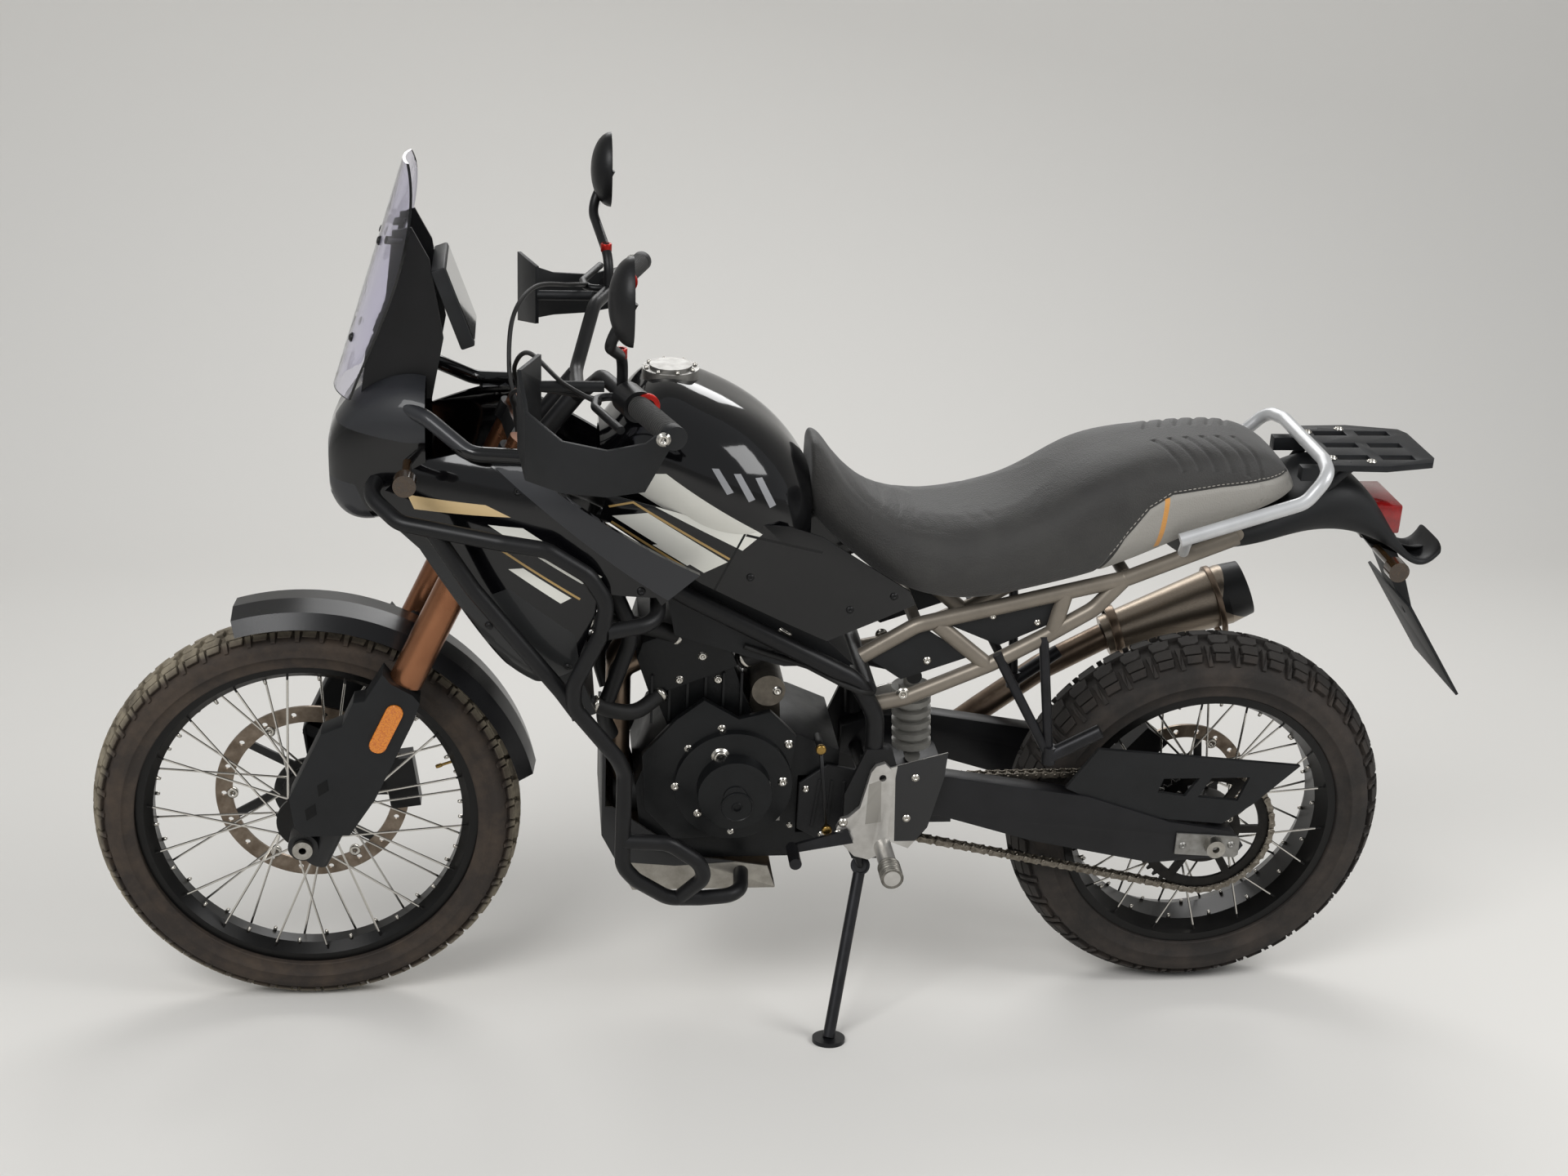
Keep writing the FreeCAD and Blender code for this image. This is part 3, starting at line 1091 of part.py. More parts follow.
TANK_SECTION = [(0, 0), (0.6, 0.03), (0.92, 0.25), (1.0, 0.5), (0.85, 0.78), (0.5, 0.96), (0, 1)]
SEAT_SECTION = [(0, 0), (0.8, 0.0), (0.98, 0.2), (1.0, 0.55), (0.82, 0.88), (0.45, 0.99), (0, 1)]
SHELL_SECTION = [(0, 0), (0.6, 0.02), (0.9, 0.15), (1.0, 0.4), (1.0, 0.7), (0.85, 0.92),
                 (0.5, 1.0), (0, 1.0)]


def fuel_tank():
    low = V(D.tank_front, 0, D.tank_low)
    high = low + V(D.tank_length, D.tank_half, D.tank_height)
    return hull(TANK_SECTION, [(0, 0.41, 0.72, 0.50), (0.12, 0.36, 0.87, 0.72),
                               (0.25, 0.30, 0.985, 0.89),
                               (0.45, 0.19, 0.965, 1.0), (0.69, 0.095, 0.85, 0.96),
                               (0.90, 0.0, 0.67, 0.76), (1.0, 0.03, 0.52, 0.52)], low, high)


def fuel_cap():
    """A flat round cap in its ring on the tank's crown."""
    top = D.tank_low + D.tank_height
    at = V(D.fuel_cap_back, 0, top - D.fuel_cap_height * 1.5)
    ring = Part.makeCylinder(D.fuel_cap_radius * 1.35, D.fuel_cap_height * 1.8, at, UP)
    cap = Part.makeCylinder(D.fuel_cap_radius, D.fuel_cap_height * 2.2, at, UP)
    return ring.fuse(cap)


def seat():
    low = V(D.tank_front + D.tank_length + D.running_gap, 0, D.seat_low)
    high = low + V(D.seat_length, D.seat_half, D.seat_height)
    return hull(SEAT_SECTION, [(0, 0.52, 0.96, 0.40), (0.064, 0.31, 0.77, 0.57),
                               (0.166, 0.09, 0.52, 0.79), (0.294, 0, 0.47, 0.97),
                               (0.447, 0.07, 0.60, 1), (0.575, 0.18, 0.84, 1),
                               (0.678, 0.29, 0.935, 0.93), (0.83, 0.48, 0.99, 0.83),
                               (0.953, 0.60, 0.92, 0.67), (1, 0.68, 0.77, 0.47)], low, high)


COWL_LOW = V(D.cowl_front, 0, D.cowl_low)
COWL_HIGH = COWL_LOW + V(D.cowl_length, D.cowl_half, D.cowl_height)
COWL_STATIONS = [(0, 0.19, 0.58, 0.39), (0.15, 0.06, 0.77, 0.61), (0.45, 0.04, 0.94, 0.82),
                 (1, 0.25, 1, 1)]


def cowl_hull(inset=0.0):
    return hull(SHELL_SECTION, COWL_STATIONS, COWL_LOW, COWL_HIGH, inset)


def headlight_window():
    """The block of space that the headlamp fills in the cowl's nose."""
    low = V(D.cowl_front - D.overrun, -D.headlight_half, D.headlight_low)
    return block(low, V(D.cowl_front + D.headlight_depth, D.headlight_half,
                        D.headlight_low + D.headlight_height))


def front_cowl():
    """A thin nose shell, open behind, with the lamp's window and the arms to the fairings."""
    inner = cowl_hull(D.panel_wall)
    inner.translate(V(D.panel_wall, 0, 0))
    shell = cowl_hull().cut(inner).cut(headlight_window())
    low = V(D.cowl_front + D.cowl_length * 0.55, 0, D.fairing_low)
    high = V(D.fairing_front + D.fairing_length * 0.52, D.fairing_half, D.fairing_low
             + D.fairing_height)
    arm = tube(place([(0.0, 0.36, 1.03), (0.30, 0.66, 1.0), (0.56, 0.84, 0.915),
                      (1.0, 0.86, 0.905)], low, high), D.arm_tube, D.crash_bend)
    arms = [arm, flip(arm)]
    arms = [a.cut(inner) for a in arms]
    return shell.multiFuse(arms)


def headlight():
    lens = cowl_hull(D.panel_wall / 2).common(headlight_window())
    keep("headlight", lens)


FAIRING_LOW = V(D.fairing_front, 0, D.fairing_low)
FAIRING_HIGH = FAIRING_LOW + V(D.fairing_length, D.fairing_half, D.fairing_height)
FAIRING_STATIONS = [(0, 0.58, 0.85, 0.40), (0.16, 0.42, 0.92, 0.64), (0.375, 0.17, 0.96, 0.87),
                    (0.61, 0.04, 0.96, 1), (0.84, 0.21, 0.92, 0.96), (1, 0.33, 0.83, 0.83)]
PANEL_SHAPE = [(0.036, 0.80), (0.345, 0.908), (0.93, 0.525), (0.855, 0.45), (0.68, 0.48),
               (0.605, 0.195), (0.468, 0.07), (0.296, 0.385), (0.19, 0.57), (0.055, 0.69)]
BAND_SHAPE = [(0.345, 0.908), (0.43, 0.905), (0.945, 0.52), (0.84, 0.43), (0.81, 0.49)]


def fairing_hull(inset=0.0):
    return hull(SHELL_SECTION, FAIRING_STATIONS, FAIRING_LOW, FAIRING_HIGH, inset)


def side_panel(shape, outer, inner, side):
    """The stretch of a thin hull inside a side-view outline, on one side."""
    low = V(FAIRING_LOW.x, D.panel_inner if side > 0 else -D.fairing_half * 2, FAIRING_LOW.z)
    high = V(FAIRING_HIGH.x, D.fairing_half * 2 if side > 0 else -D.panel_inner, FAIRING_HIGH.z)
    return outer.cut(inner).common(slab(shape, low, high))


def side_fairings(nose):
    """A thin panel a side with a raised band along its rear edge, trimmed to the nose."""
    outer, inner = fairing_hull(), fairing_hull(D.panel_wall)
    raised = fairing_hull(-D.band_wall)
    filled = cowl_hull()
    panels = []
    for side in SIDES:
        panel = side_panel(PANEL_SHAPE, outer, inner, side)
        band = side_panel(BAND_SHAPE, raised, inner, side)
        panels.append(largest(panel.fuse(band).cut(filled).cut(nose)))
    return Part.makeCompound(panels)


def screen_section(share, wide_share):
    """A thin arc, one level of the screen, from its height share and width share."""
    front = D.screen_front + D.screen_back * share
    level = D.screen_low + D.screen_height * share
    half = D.screen_half * wide_share
    sag = D.screen_sag * wide_share * wide_share

    def arc(step):
        return Part.Arc(V(front + sag + step, -half, level), V(front + step, 0, level),
                        V(front + sag + step, half, level)).toShape()
    outside, inside = arc(0), arc(D.screen_wall)
    ends = [Part.LineSegment(V(front + sag, s * half, level),
                             V(front + sag + D.screen_wall, s * half, level)).toShape()
            for s in SIDES]
    return Part.Wire(Part.__sortEdges__([outside, ends[1], inside, ends[0]]))


def windscreen():
    levels = [(0, 0.78), (0.35, 0.92), (0.6, 0.95), (0.85, 0.80), (1.0, 0.40)]
    sheet_part = Part.makeLoft([screen_section(a, b) for a, b in levels], True, False)
    return sheet_part.cut(cowl_hull())


def screen_bracket(screen):
    """Two side plates over the nose with cross bars for the screen and the display."""
    low = V(D.bracket_front, D.bracket_side - D.bracket_wall, D.bracket_low)
    high = V(D.bracket_front + D.bracket_length, D.bracket_side, D.bracket_low + D.bracket_height)
    plate = slab([(0, 0.0), (0.85, 0.0), (1.0, 0.36), (0.85, 0.82), (0.65, 1.0), (0.44, 0.98),
                  (0.32, 0.55), (0.08, 0.28)], low, high)
    top = V(low.x + (high.x - low.x) * 0.55, 0, high.z - D.overrun)
    parts = [flip(plate), pin(top, D.lever_radius, -D.bracket_side, D.bracket_side)]
    mid = V(high.x - D.overrun, 0, low.z + D.bracket_height * 0.5)
    parts.append(pin(mid, D.lever_radius, -D.bracket_side, D.bracket_side))
    for side in SIDES:
        root = V(top.x, side * (D.bracket_side - D.bracket_wall / 2), top.z)
        parts.append(rod(root, root - V(D.overrun * 2, 0, 0), D.lever_radius))
    return largest(plate.multiFuse(parts).cut(cowl_hull()).cut(screen))


def instrument_display():
    """A flat upright instrument behind the screen, tilted to the rider."""
    box = bound("Part::Box", "display_box", None, Length="Sizes.display_thick",
                Width="Sizes.display_wide", Height="Sizes.display_tall")
    rotation = FreeCAD.Rotation(ACROSS, -D.display_tilt)
    centre = V(D.display_back, 0, D.display_height)
    middle = V(D.display_thick / 2, D.display_wide / 2, D.display_tall / 2)
    box.Placement = FreeCAD.Placement(centre - rotation.multVec(middle), rotation)
    keep("instrument_display", box)


def display_solid():
    """The instrument's outline, to trim what carries it."""
    rotation = FreeCAD.Rotation(ACROSS, -D.display_tilt)
    solid = Part.makeBox(D.display_thick, D.display_wide, D.display_tall)
    middle = V(D.display_thick / 2, D.display_wide / 2, D.display_tall / 2)
    centre = V(D.display_back, 0, D.display_height)
    solid.Placement = FreeCAD.Placement(centre - rotation.multVec(middle), rotation)
    return solid


def indicators(panels, nose):
    """A lamp on a short stalk at each corner, from the fairing's wall and the plate's bracket."""
    shapes = []
    for back, height, reach, root in (
            (D.indicator_back, D.indicator_height, D.indicator_side, D.indicator_root),
            (D.rear_indicator_back, D.rear_indicator_height, D.rear_indicator_side,
             D.holder_half)):
        for side in SIDES:
            at = V(back, 0, height)
            inner, outer = reach - D.indicator_length / 2, reach + D.indicator_length / 2
            lamp = pin(at, D.indicator_radius, *sorted((side * inner, side * outer)))
            stalk = pin(at, D.indicator_stalk, *sorted((side * root, side * inner)))
            shapes.append(largest(lamp.fuse(stalk).cut(panels).cut(nose)))
    return Part.makeCompound(shapes)


COVER_LOW = V(D.cover_front, 0, D.cover_low)
COVER_HIGH = COVER_LOW + V(D.cover_length, D.cover_half, D.cover_height)
COVER_STATIONS = [(0, 0.1, 1.0, 0.92), (0.35, 0.0, 1.0, 1.0), (0.70, 0.0, 1.0, 0.97),
                  (1.0, 0.0, 1.0, 0.86)]
COVER_SECTION = [(0, 0), (0.85, 0.02), (0.94, 0.18), (0.985, 0.4), (1.0, 0.7), (0.9, 0.98), (0, 1)]
COVER_SHARES = [(0.069, 0.80), (0.353, 0.50), (0.722, 0.208), (0.975, 0.369), (0.955, 0.436),
                (0.693, 0.708), (0.60, 0.76), (0.345, 0.80), (0.09, 0.90)]


def tank_panels():
    """A curved panel a side from the fairing's band back below the tank to the seat."""
    outer = hull(COVER_SECTION, COVER_STATIONS, COVER_LOW, COVER_HIGH)
    inner = hull(COVER_SECTION, COVER_STATIONS, COVER_LOW, COVER_HIGH, D.panel_wall)
    side = slab(COVER_SHARES, V(COVER_LOW.x, D.panel_inner, COVER_LOW.z),
                V(COVER_HIGH.x, D.cover_half * 2, COVER_HIGH.z))
    return outer.cut(inner).common(side)


def side_covers():
    """Panels in the subframe's triangles."""
    low = V(D.tank_front + D.tank_length * 0.65, D.subframe_side - D.panel_wall,
            D.pivot_height * 1.5)
    high = V(D.wheelbase, D.subframe_side, D.seat_low + D.overrun)
    front = slab([(0.26, 0.36), (0.36, 0.64), (0.465, 0.36), (0.33, 0.16)], low, high)
    back = slab([(0.42, 0.64), (0.63, 0.86), (0.615, 0.64), (0.52, 0.46)], low, high)
    return [front, back]


def tail_fairing():
    low = V(D.tail_front, 0, D.tail_low)
    high = low + V(D.tail_length, D.tail_half, D.tail_height)
    return hull(SEAT_SECTION, [(0, 0.15, 0.35, 0.85), (0.176, 0.23, 0.5, 0.96),
                               (0.35, 0.35, 0.71, 1), (0.53, 0.43, 0.98, 0.94),
                               (0.70, 0.31, 0.77, 0.77), (1, 0.03, 0.18, 0.48)], low, high)


def grab_rail():
    """One silver hoop from side to side behind the seat, on lugs from the subframe."""
    low = V(D.rail_front, 0, D.rail_low)
    high = low + V(D.rail_length, D.rail_half, D.rail_height)
    right = place([(0, 0.96, 0), (0.81, 1.0, 0.58), (0.96, 0.94, 0.94), (1.0, 0.60, 1.0)], low, high)
    left = [V(p.x, -p.y, p.z) for p in reversed(right)]
    hoop = tube(right + left, D.rail_tube, D.crash_bend)
    lug = rod(right[0] + V(D.rail_tube, 0, 0),
              V(D.rail_front + D.rail_tube * 2, D.subframe_side, D.rail_low - D.overrun * 2),
              D.rail_tube * 0.8)
    return hoop.multiFuse([lug, flip(lug)])


def luggage_rack():
    """A slotted plate on two posts over the tail."""
    front, length, half = D.rack_front, D.rack_length, D.rack_half
    plan = [(0, 0.95), (0.5, 1.0), (0.95, 0.8), (1.0, 0.6)]
    points = [V(front + a * length, b * half, D.rack_height) for a, b in plan]
    points += [V(p.x, -p.y, p.z) for p in reversed(points)]
    plate = Part.Face(Part.makePolygon(points + points[:1])).extrude(UP * D.rack_wall)
    for row in (-0.58, 0.0, 0.58):
        for column in (0.12, 0.52):
            corner = V(front + column * length, row * half - D.rack_slot / 2,
                       D.rack_height - D.overrun)
            plate = plate.cut(block(corner, corner + V(length * 0.3, D.rack_slot,
                                                       D.overrun * 3)))
    posts = []
    for side in SIDES:
        foot = V(front - D.rack_slot, side * half * 0.75, D.rail_low + D.overrun)
        head = V(front + D.rack_slot * 2, side * half * 0.8, D.rack_height + D.rack_wall / 2)
        posts.append(tube([foot, head - V(D.rack_slot, 0, D.rack_wall * 2), head],
                          D.pillion_tube, D.overrun))
    arms = []
    for side in SIDES:
        middle = side * half * 0.72
        arms.append(block(V(front - D.rack_slot * 1.8, middle - D.rack_wall,
                            D.rack_height - D.rack_wall * 2.2),
                          V(front + D.rack_slot, middle + D.rack_wall, D.rack_height)))
    return plate.multiFuse(posts + arms)


def tail_lamp():
    low = V(D.lamp_front, -D.lamp_half, D.lamp_low)
    return block(low, low + V(D.lamp_length, 2 * D.lamp_half, D.lamp_height))


def plate_holder():
    """A bracket down from the tail with the bare plate's carrier."""
    tilt = math.radians(D.plate_tilt)
    top = V(D.plate_back, 0, D.plate_top)
    down = V(math.sin(tilt), 0, -math.cos(tilt)) * D.plate_length
    thick = V(math.cos(tilt), 0, math.sin(tilt)) * D.plate_thickness
    carrier = prism([top, top + down, top + down + thick, top + thick], D.plate_half)
    low = V(D.plate_back - D.plate_length * 0.3, 0, D.plate_top - D.plate_length * 0.2)
    high = V(D.plate_back + D.plate_length * 0.2, 0, D.tail_low + D.tail_height * 0.3)
    arm = prism(outline([(0, 0.842), (0.55, 0.713), (0.75, 0.44), (1.0, 0.0), (0.85, 0.0),
                         (0.35, 0.6)], low, high), D.holder_half)
    return carrier.fuse(arm)


# Footrests, pedals and stand

def footrests():
    """A cast bracket a side with the peg, and a heel guard behind it."""
    inner = D.footrest_side
    low = V(D.footrest_back, inner, D.footrest_low)
    high = low + V(D.footrest_length, D.footrest_wall, D.footrest_height)
    bracket = slab([(0.50, 0.81), (0.556, 0.94), (0.64, 1.0), (0.80, 1.03), (0.91, 0.97),
                    (1.0, 0.85), (0.96, 0.69), (0.93, 0.31), (0.93, 0.10), (0.60, 0.02),
                    (0.333, 0.06), (0.03, 0.23), (-0.02, 0.36), (0.06, 0.45), (0.19, 0.47),
                    (0.39, 0.57)], low, high)
    for a, c in ((0.77, 0.88), (0.16, 0.30)):
        at = V(low.x + a * D.footrest_length, 0, low.z + c * D.footrest_height)
        bracket = bracket.cut(pin(at, D.axle_bore, inner - D.overrun, inner + D.overrun))
    peg_at = V(D.peg_back, 0, D.peg_height)
    peg = pin(peg_at, D.peg_radius, inner, inner + D.peg_length)
    heel_low = V(high.x - D.overrun / 2, inner, D.footrest_low + D.overrun)
    heel_high = V(high.x + D.footrest_length, inner + D.heel_wall, high.z + D.overrun)
    heel = slab([(0, 0.85), (0.95, 1.0), (0.92, 0.75), (0.70, 0.22), (0.4, 0.0), (0.0, 0.1)],
                heel_low, heel_high)
    return pair(bracket.multiFuse([peg, heel]))


def pillion_footrests():
    """Two stays a side down from the subframe to a folding peg."""
    low = V(D.pivot_back + D.arm_cross * 3.4, 0, D.pivot_height * 1.22)
    high = low + V(D.arm_cross * 3.4, D.footrest_side, D.footrest_height * 1.2)
    a, b, c, peg = place([(0.0, 0.83, 0.90), (0.40, 0.83, 1.05), (0.52, 1.0, 0.08),
                          (0.95, 1.08, 0.32)], low, high)
    parts = [rod(a, c, D.pillion_tube), rod(b, c, D.pillion_tube),
             rod(c - V(0, 0, D.pillion_peg), c + V(0, 0, D.pillion_peg * 1.5), D.pillion_peg),
             rod(c, peg, D.pillion_peg)]
    return pair(parts[0].multiFuse(parts[1:]))


def foot_levers():
    """The gear lever on the left and the brake pedal on the right, each with a toe piece."""
    shapes = []
    pivot = V(D.footrest_back + D.footrest_length * 0.18, 0,
              D.footrest_low + D.footrest_height * 0.28)
    for side in SIDES:
        toe = V(pivot.x - D.footrest_length, 0, pivot.z - D.overrun)
        face = side * (D.footrest_side + D.footrest_wall + D.running_gap)
        outer = face + side * D.lever_plate
        corners = [pivot + V(0, 0, D.lever_toe * 1.4), pivot + V(D.lever_toe, 0, -D.lever_toe),
                   toe + V(0, 0, -D.lever_toe * 0.7), toe + V(-D.lever_toe * 0.7, 0, 0),
                   toe + V(0, 0, D.lever_toe * 0.7)]
        low = [V(p.x, min(face, outer), p.z) for p in corners]
        plate = Part.Face(Part.makePolygon(low + low[:1])).extrude(V(0, D.lever_plate, 0))
        shapes.append(plate.fuse(pin(toe, D.lever_toe,
                                     *sorted((face, outer + side * D.switch_length)))))
    return Part.makeCompound(shapes)


STAND_PIVOT = V(D.stand_back, D.stand_side, D.stand_height)


def floor_point(back, side, height=0.0):
    """A point given over the floor, in the bike's own upright frame."""
    leaned = V(back, side, height)
    return FreeCAD.Rotation(V(1, 0, 0), -D.lean_angle).multVec(leaned)


def stand_axis():
    """The stand's hinge, square to the leg as it stands and as it lies folded to the rear."""
    foot = floor_point(D.stand_foot_back, D.stand_foot_side)
    down = (foot - STAND_PIVOT).normalize()
    folded = V(1, -0.15, 0.1).normalize()
    return down.cross(folded).normalize()


def stand_ears():
    """A boss on the frame above the stand's eye, with the bolt through it and the bolt's head."""
    axis = stand_axis()
    half = D.stand_eye_width / 2 + D.running_gap
    plate_foot = V(D.stand_back - D.stand_eye, -D.plate_side - D.plate_wall / 2,
                   D.footrest_low + D.overrun)
    top = STAND_PIVOT + axis * (half + D.stand_ear)
    low_end = STAND_PIVOT - axis * (half + D.stand_ear)
    return [rod(low_end, top, D.stand_pin), rod(STAND_PIVOT + axis * half, top, D.stand_eye * 0.7),
            rod(low_end, STAND_PIVOT - axis * half, D.stand_pin * 1.6),
            rod(top, plate_foot, D.stand_ear * 0.9)]


def side_stand():
    """A leg on its eye, with a foot plate that lies flat on the floor."""
    axis = stand_axis()
    foot = floor_point(D.stand_foot_back, D.stand_foot_side)
    up = floor_point(0, 0, 1) - floor_point(0, 0, 0)
    half = D.stand_eye_width / 2
    eye = rod(STAND_PIVOT - axis * half, STAND_PIVOT + axis * half, D.stand_eye)
    leg = rod(STAND_PIVOT + (foot - STAND_PIVOT).normalize() * D.stand_eye * 0.8,
              foot + up * D.stand_foot_wall, D.stand_tube * 0.9)
    pad = Part.makeCylinder(D.stand_foot_radius, D.stand_foot_wall, foot, up)
    hole = rod(STAND_PIVOT - axis * D.overrun, STAND_PIVOT + axis * D.overrun,
               D.stand_pin + D.running_gap)
    keep("side_stand", eye.multiFuse([leg, pad]).cut(hole))


def chassis():
    """Builds the pieces in the order in which each is trimmed to its neighbours."""
    frame = main_frame()
    keep("main_frame", frame)
    shock()
    swingarm()
    chain_guard()
    cushion = seat()
    rails = subframe().cut(frame).cut(cushion)
    keep("subframe", rails)
    engine = engine_block()
    keep("engine_block", engine)
    head = cylinder_head().cut(engine)
    keep("cylinder_head", head)
    motor = largest(starter().cut(head).cut(engine))
    keep("starter_motor", motor)
    keep("engine_covers", Part.makeCompound([c.cut(engine).cut(head).cut(motor)
                                             for c in engine_covers()]))
    can = silencer()
    keep("silencer", can)
    keep("exhaust_pipe", exhaust_pipe().cut(head).cut(engine).cut(can))
    keep("radiator", radiator().cut(frame))
    skid = skid_plate()
    keep("skid_plate", skid)
    bars = crash_bars().cut(skid).cut(frame)
    keep("crash_bars", bars)
    tank = fuel_tank()
    keep("fuel_tank", tank)
    keep("fuel_cap", fuel_cap().cut(tank))
    keep("seat", cushion)
    nose = front_cowl()
    keep("front_cowl", nose.cut(bars))
    headlight()
    panels = side_fairings(nose).cut(bars)
    keep("side_fairings", panels)
    screen = windscreen()
    keep("windscreen", screen)
    keep("screen_bracket", screen_bracket(screen).cut(display_solid()))
    instrument_display()
    keep("indicators", indicators(panels, nose))
    panel = tank_panels().cut(tank).cut(rails).cut(frame).cut(cushion).cut(panels).cut(bars)
    keep("tank_panels", pair(largest(panel)))
    box = airbox().cut(head).cut(frame).cut(tank).cut(rails).cut(motor).cut(cushion)
    keep("airbox", largest(box.cut(bars)))
    covers = side_covers()
    covers = Part.makeCompound(covers + [flip(c) for c in covers])
    keep("side_covers", covers.cut(tank).cut(rails).cut(frame))
    lamp = tail_lamp()
    hoop = grab_rail().cut(rails)
    tail = tail_fairing().cut(lamp).cut(rails).cut(hoop).cut(cushion)
    keep("tail_fairing", tail)
    keep("tail_light", lamp)
    keep("grab_rail", hoop)
    keep("luggage_rack", luggage_rack().cut(tail).cut(hoop))
    keep("plate_holder", plate_holder())
    keep("footrests", footrests().cut(frame))
    keep("pillion_footrests", pillion_footrests().cut(rails))
    keep("foot_levers", foot_levers())
    keep("rear_caliper", caliper(REAR_AXLE, D.rear_caliper_angle, D.rear_disc_radius,
                                 D.rear_disc_side, D.arm_outer - D.arm_wall - D.rear_disc_side))
    side_stand()


chassis()


def check_and_write():
    """Stops on any failed object or bad shape, then writes one file for each sub-part."""
    doc.recompute()
    for item in doc.Objects:
        if "Invalid" in item.State or "Error" in item.State:
            raise RuntimeError("%s failed to build: %s" % (item.Label, item.State))
    for item in NODES:
        if item.Shape.isNull() or not item.Shape.isValid():
            raise RuntimeError("%s has no valid shape" % item.Label)
    os.makedirs("parts", exist_ok=True)
    for item in NODES:
        item.Shape.exportStep("parts/%s.step" % item.Label)


check_and_write()
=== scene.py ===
# An adventure motorcycle leaning on its side stand, dressed piece by piece around its fixed frame.
import bpy
import bmesh
import math
from mathutils import Euler, Matrix, Vector
from mathutils.bvhtree import BVHTree


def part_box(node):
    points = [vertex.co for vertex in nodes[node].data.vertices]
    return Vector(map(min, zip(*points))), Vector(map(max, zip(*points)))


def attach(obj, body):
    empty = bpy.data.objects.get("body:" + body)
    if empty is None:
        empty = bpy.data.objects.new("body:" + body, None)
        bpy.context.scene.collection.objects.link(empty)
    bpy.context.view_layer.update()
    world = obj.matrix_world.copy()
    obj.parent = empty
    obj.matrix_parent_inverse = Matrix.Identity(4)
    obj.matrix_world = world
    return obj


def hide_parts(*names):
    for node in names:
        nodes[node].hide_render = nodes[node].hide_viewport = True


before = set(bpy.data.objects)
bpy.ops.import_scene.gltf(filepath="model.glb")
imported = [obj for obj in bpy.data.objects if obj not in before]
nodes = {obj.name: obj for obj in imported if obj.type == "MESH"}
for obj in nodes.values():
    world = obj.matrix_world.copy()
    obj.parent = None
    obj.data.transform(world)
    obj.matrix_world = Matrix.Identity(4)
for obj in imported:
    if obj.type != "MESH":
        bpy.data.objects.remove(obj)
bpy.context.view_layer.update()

# Stage: a pale seamless floor that holds the motorcycle's shadow, a grey-white world for soft light
# and a large softbox on each side, seen from where the photograph was taken.


def linear(code):
    """An sRGB hex colour as the linear colour and alpha that shaders take."""
    shares = [int(code[i:i + 2], 16) / 255 for i in (1, 3, 5)]
    return [c / 12.92 if c <= 0.04045 else ((c + 0.055) / 1.055) ** 2.4 for c in shares] + [1.0]


def add(tree, kind, fill=None, **settings):
    """Adds a shader node, sets its properties and fills its sockets with values or links."""
    node = tree.nodes.new(kind)
    for name, value in settings.items():
        setattr(node, name, value)
    for socket, value in (fill or {}).items():
        target = node.inputs[socket]
        if isinstance(value, bpy.types.NodeSocket):
            tree.links.new(value, target)
        else:
            target.default_value = value
    return node


def new_material(name):
    """A material with its node tree and its principled shader."""
    material = bpy.data.materials.new(name)
    material.use_nodes = True
    return material, material.node_tree, material.node_tree.nodes["Principled BSDF"]


def new_mesh(name, points, faces):
    """A mesh object from points and faces, in metres."""
    mesh = bpy.data.meshes.new(name)
    mesh.from_pydata([tuple(p) for p in points], [], faces)
    mesh.update()
    piece = bpy.data.objects.new(name, mesh)
    bpy.context.scene.collection.objects.link(piece)
    return piece


floor_half, floor_side = 30.0, 48.0
floor_back, bend_radius, bend_steps = 3.2, 1.6, 12


def floor_line():
    """The floor's outline from before the camera to the top of the backdrop."""
    line = [(-floor_half, 0.0), (floor_back, 0.0)]
    for k in range(1, bend_steps + 1):
        angle = math.radians(90 * k / bend_steps)
        line.append((floor_back + bend_radius * math.sin(angle),
                     bend_radius * (1 - math.cos(angle))))
    return line + [(floor_back + bend_radius, floor_half)]


floor_points = [(x, y, z) for y, z in floor_line() for x in (-floor_side, floor_side)]
floor_faces = [(2 * k, 2 * k + 1, 2 * k + 3, 2 * k + 2) for k in range(len(floor_line()) - 1)]
floor = new_mesh("studio_floor", floor_points, floor_faces)
for face in floor.data.polygons:
    face.use_smooth = True
paper, tree, shader = new_material("pale_studio_paper")
shader.inputs["Base Color"].default_value = linear("#dcdad6")
shader.inputs["Roughness"].default_value = 0.9
floor.data.materials.append(paper)

world = bpy.data.worlds.new("studio_air")
world.use_nodes = True
world.node_tree.nodes["Background"].inputs["Color"].default_value = linear("#eef0f2")
world.node_tree.nodes["Background"].inputs["Strength"].default_value = 0.55
bpy.context.scene.world = world


def softbox(name, place, aim, width, height, power):
    """A rectangular lamp that faces a point."""
    lamp = bpy.data.lights.new(name, "AREA")
    lamp.shape, lamp.size, lamp.size_y, lamp.energy = "RECTANGLE", width, height, power
    holder = bpy.data.objects.new(name, lamp)
    holder.location = place
    holder.rotation_euler = (Vector(aim) - Vector(place)).to_track_quat("-Z", "Y").to_euler()
    bpy.context.scene.collection.objects.link(holder)


softbox("key_softbox", (-2.2, -3.4, 3.6), (0, 0, 0.6), 2.4, 1.8, 130)
softbox("rear_softbox", (3.2, -1.6, 3.0), (0, 0, 0.7), 1.8, 1.8, 70)
softbox("far_softbox", (0.4, 3.4, 3.4), (0, 0, 0.6), 3.0, 1.2, 60)

camera = bpy.data.cameras.new("photo_camera")
camera.sensor_width = 36.0
camera.lens = 50.41
camera.clip_end = 100
viewpoint = bpy.data.objects.new("photo_camera", camera)
viewpoint.location = (-0.4294, -3.3631, 1.6252)
viewpoint.rotation_euler = Euler((1.31881, -0.02665, -0.11531), "XYZ")
bpy.context.scene.collection.objects.link(viewpoint)
bpy.context.scene.camera = viewpoint
bpy.context.scene.view_settings.view_transform = "Standard"

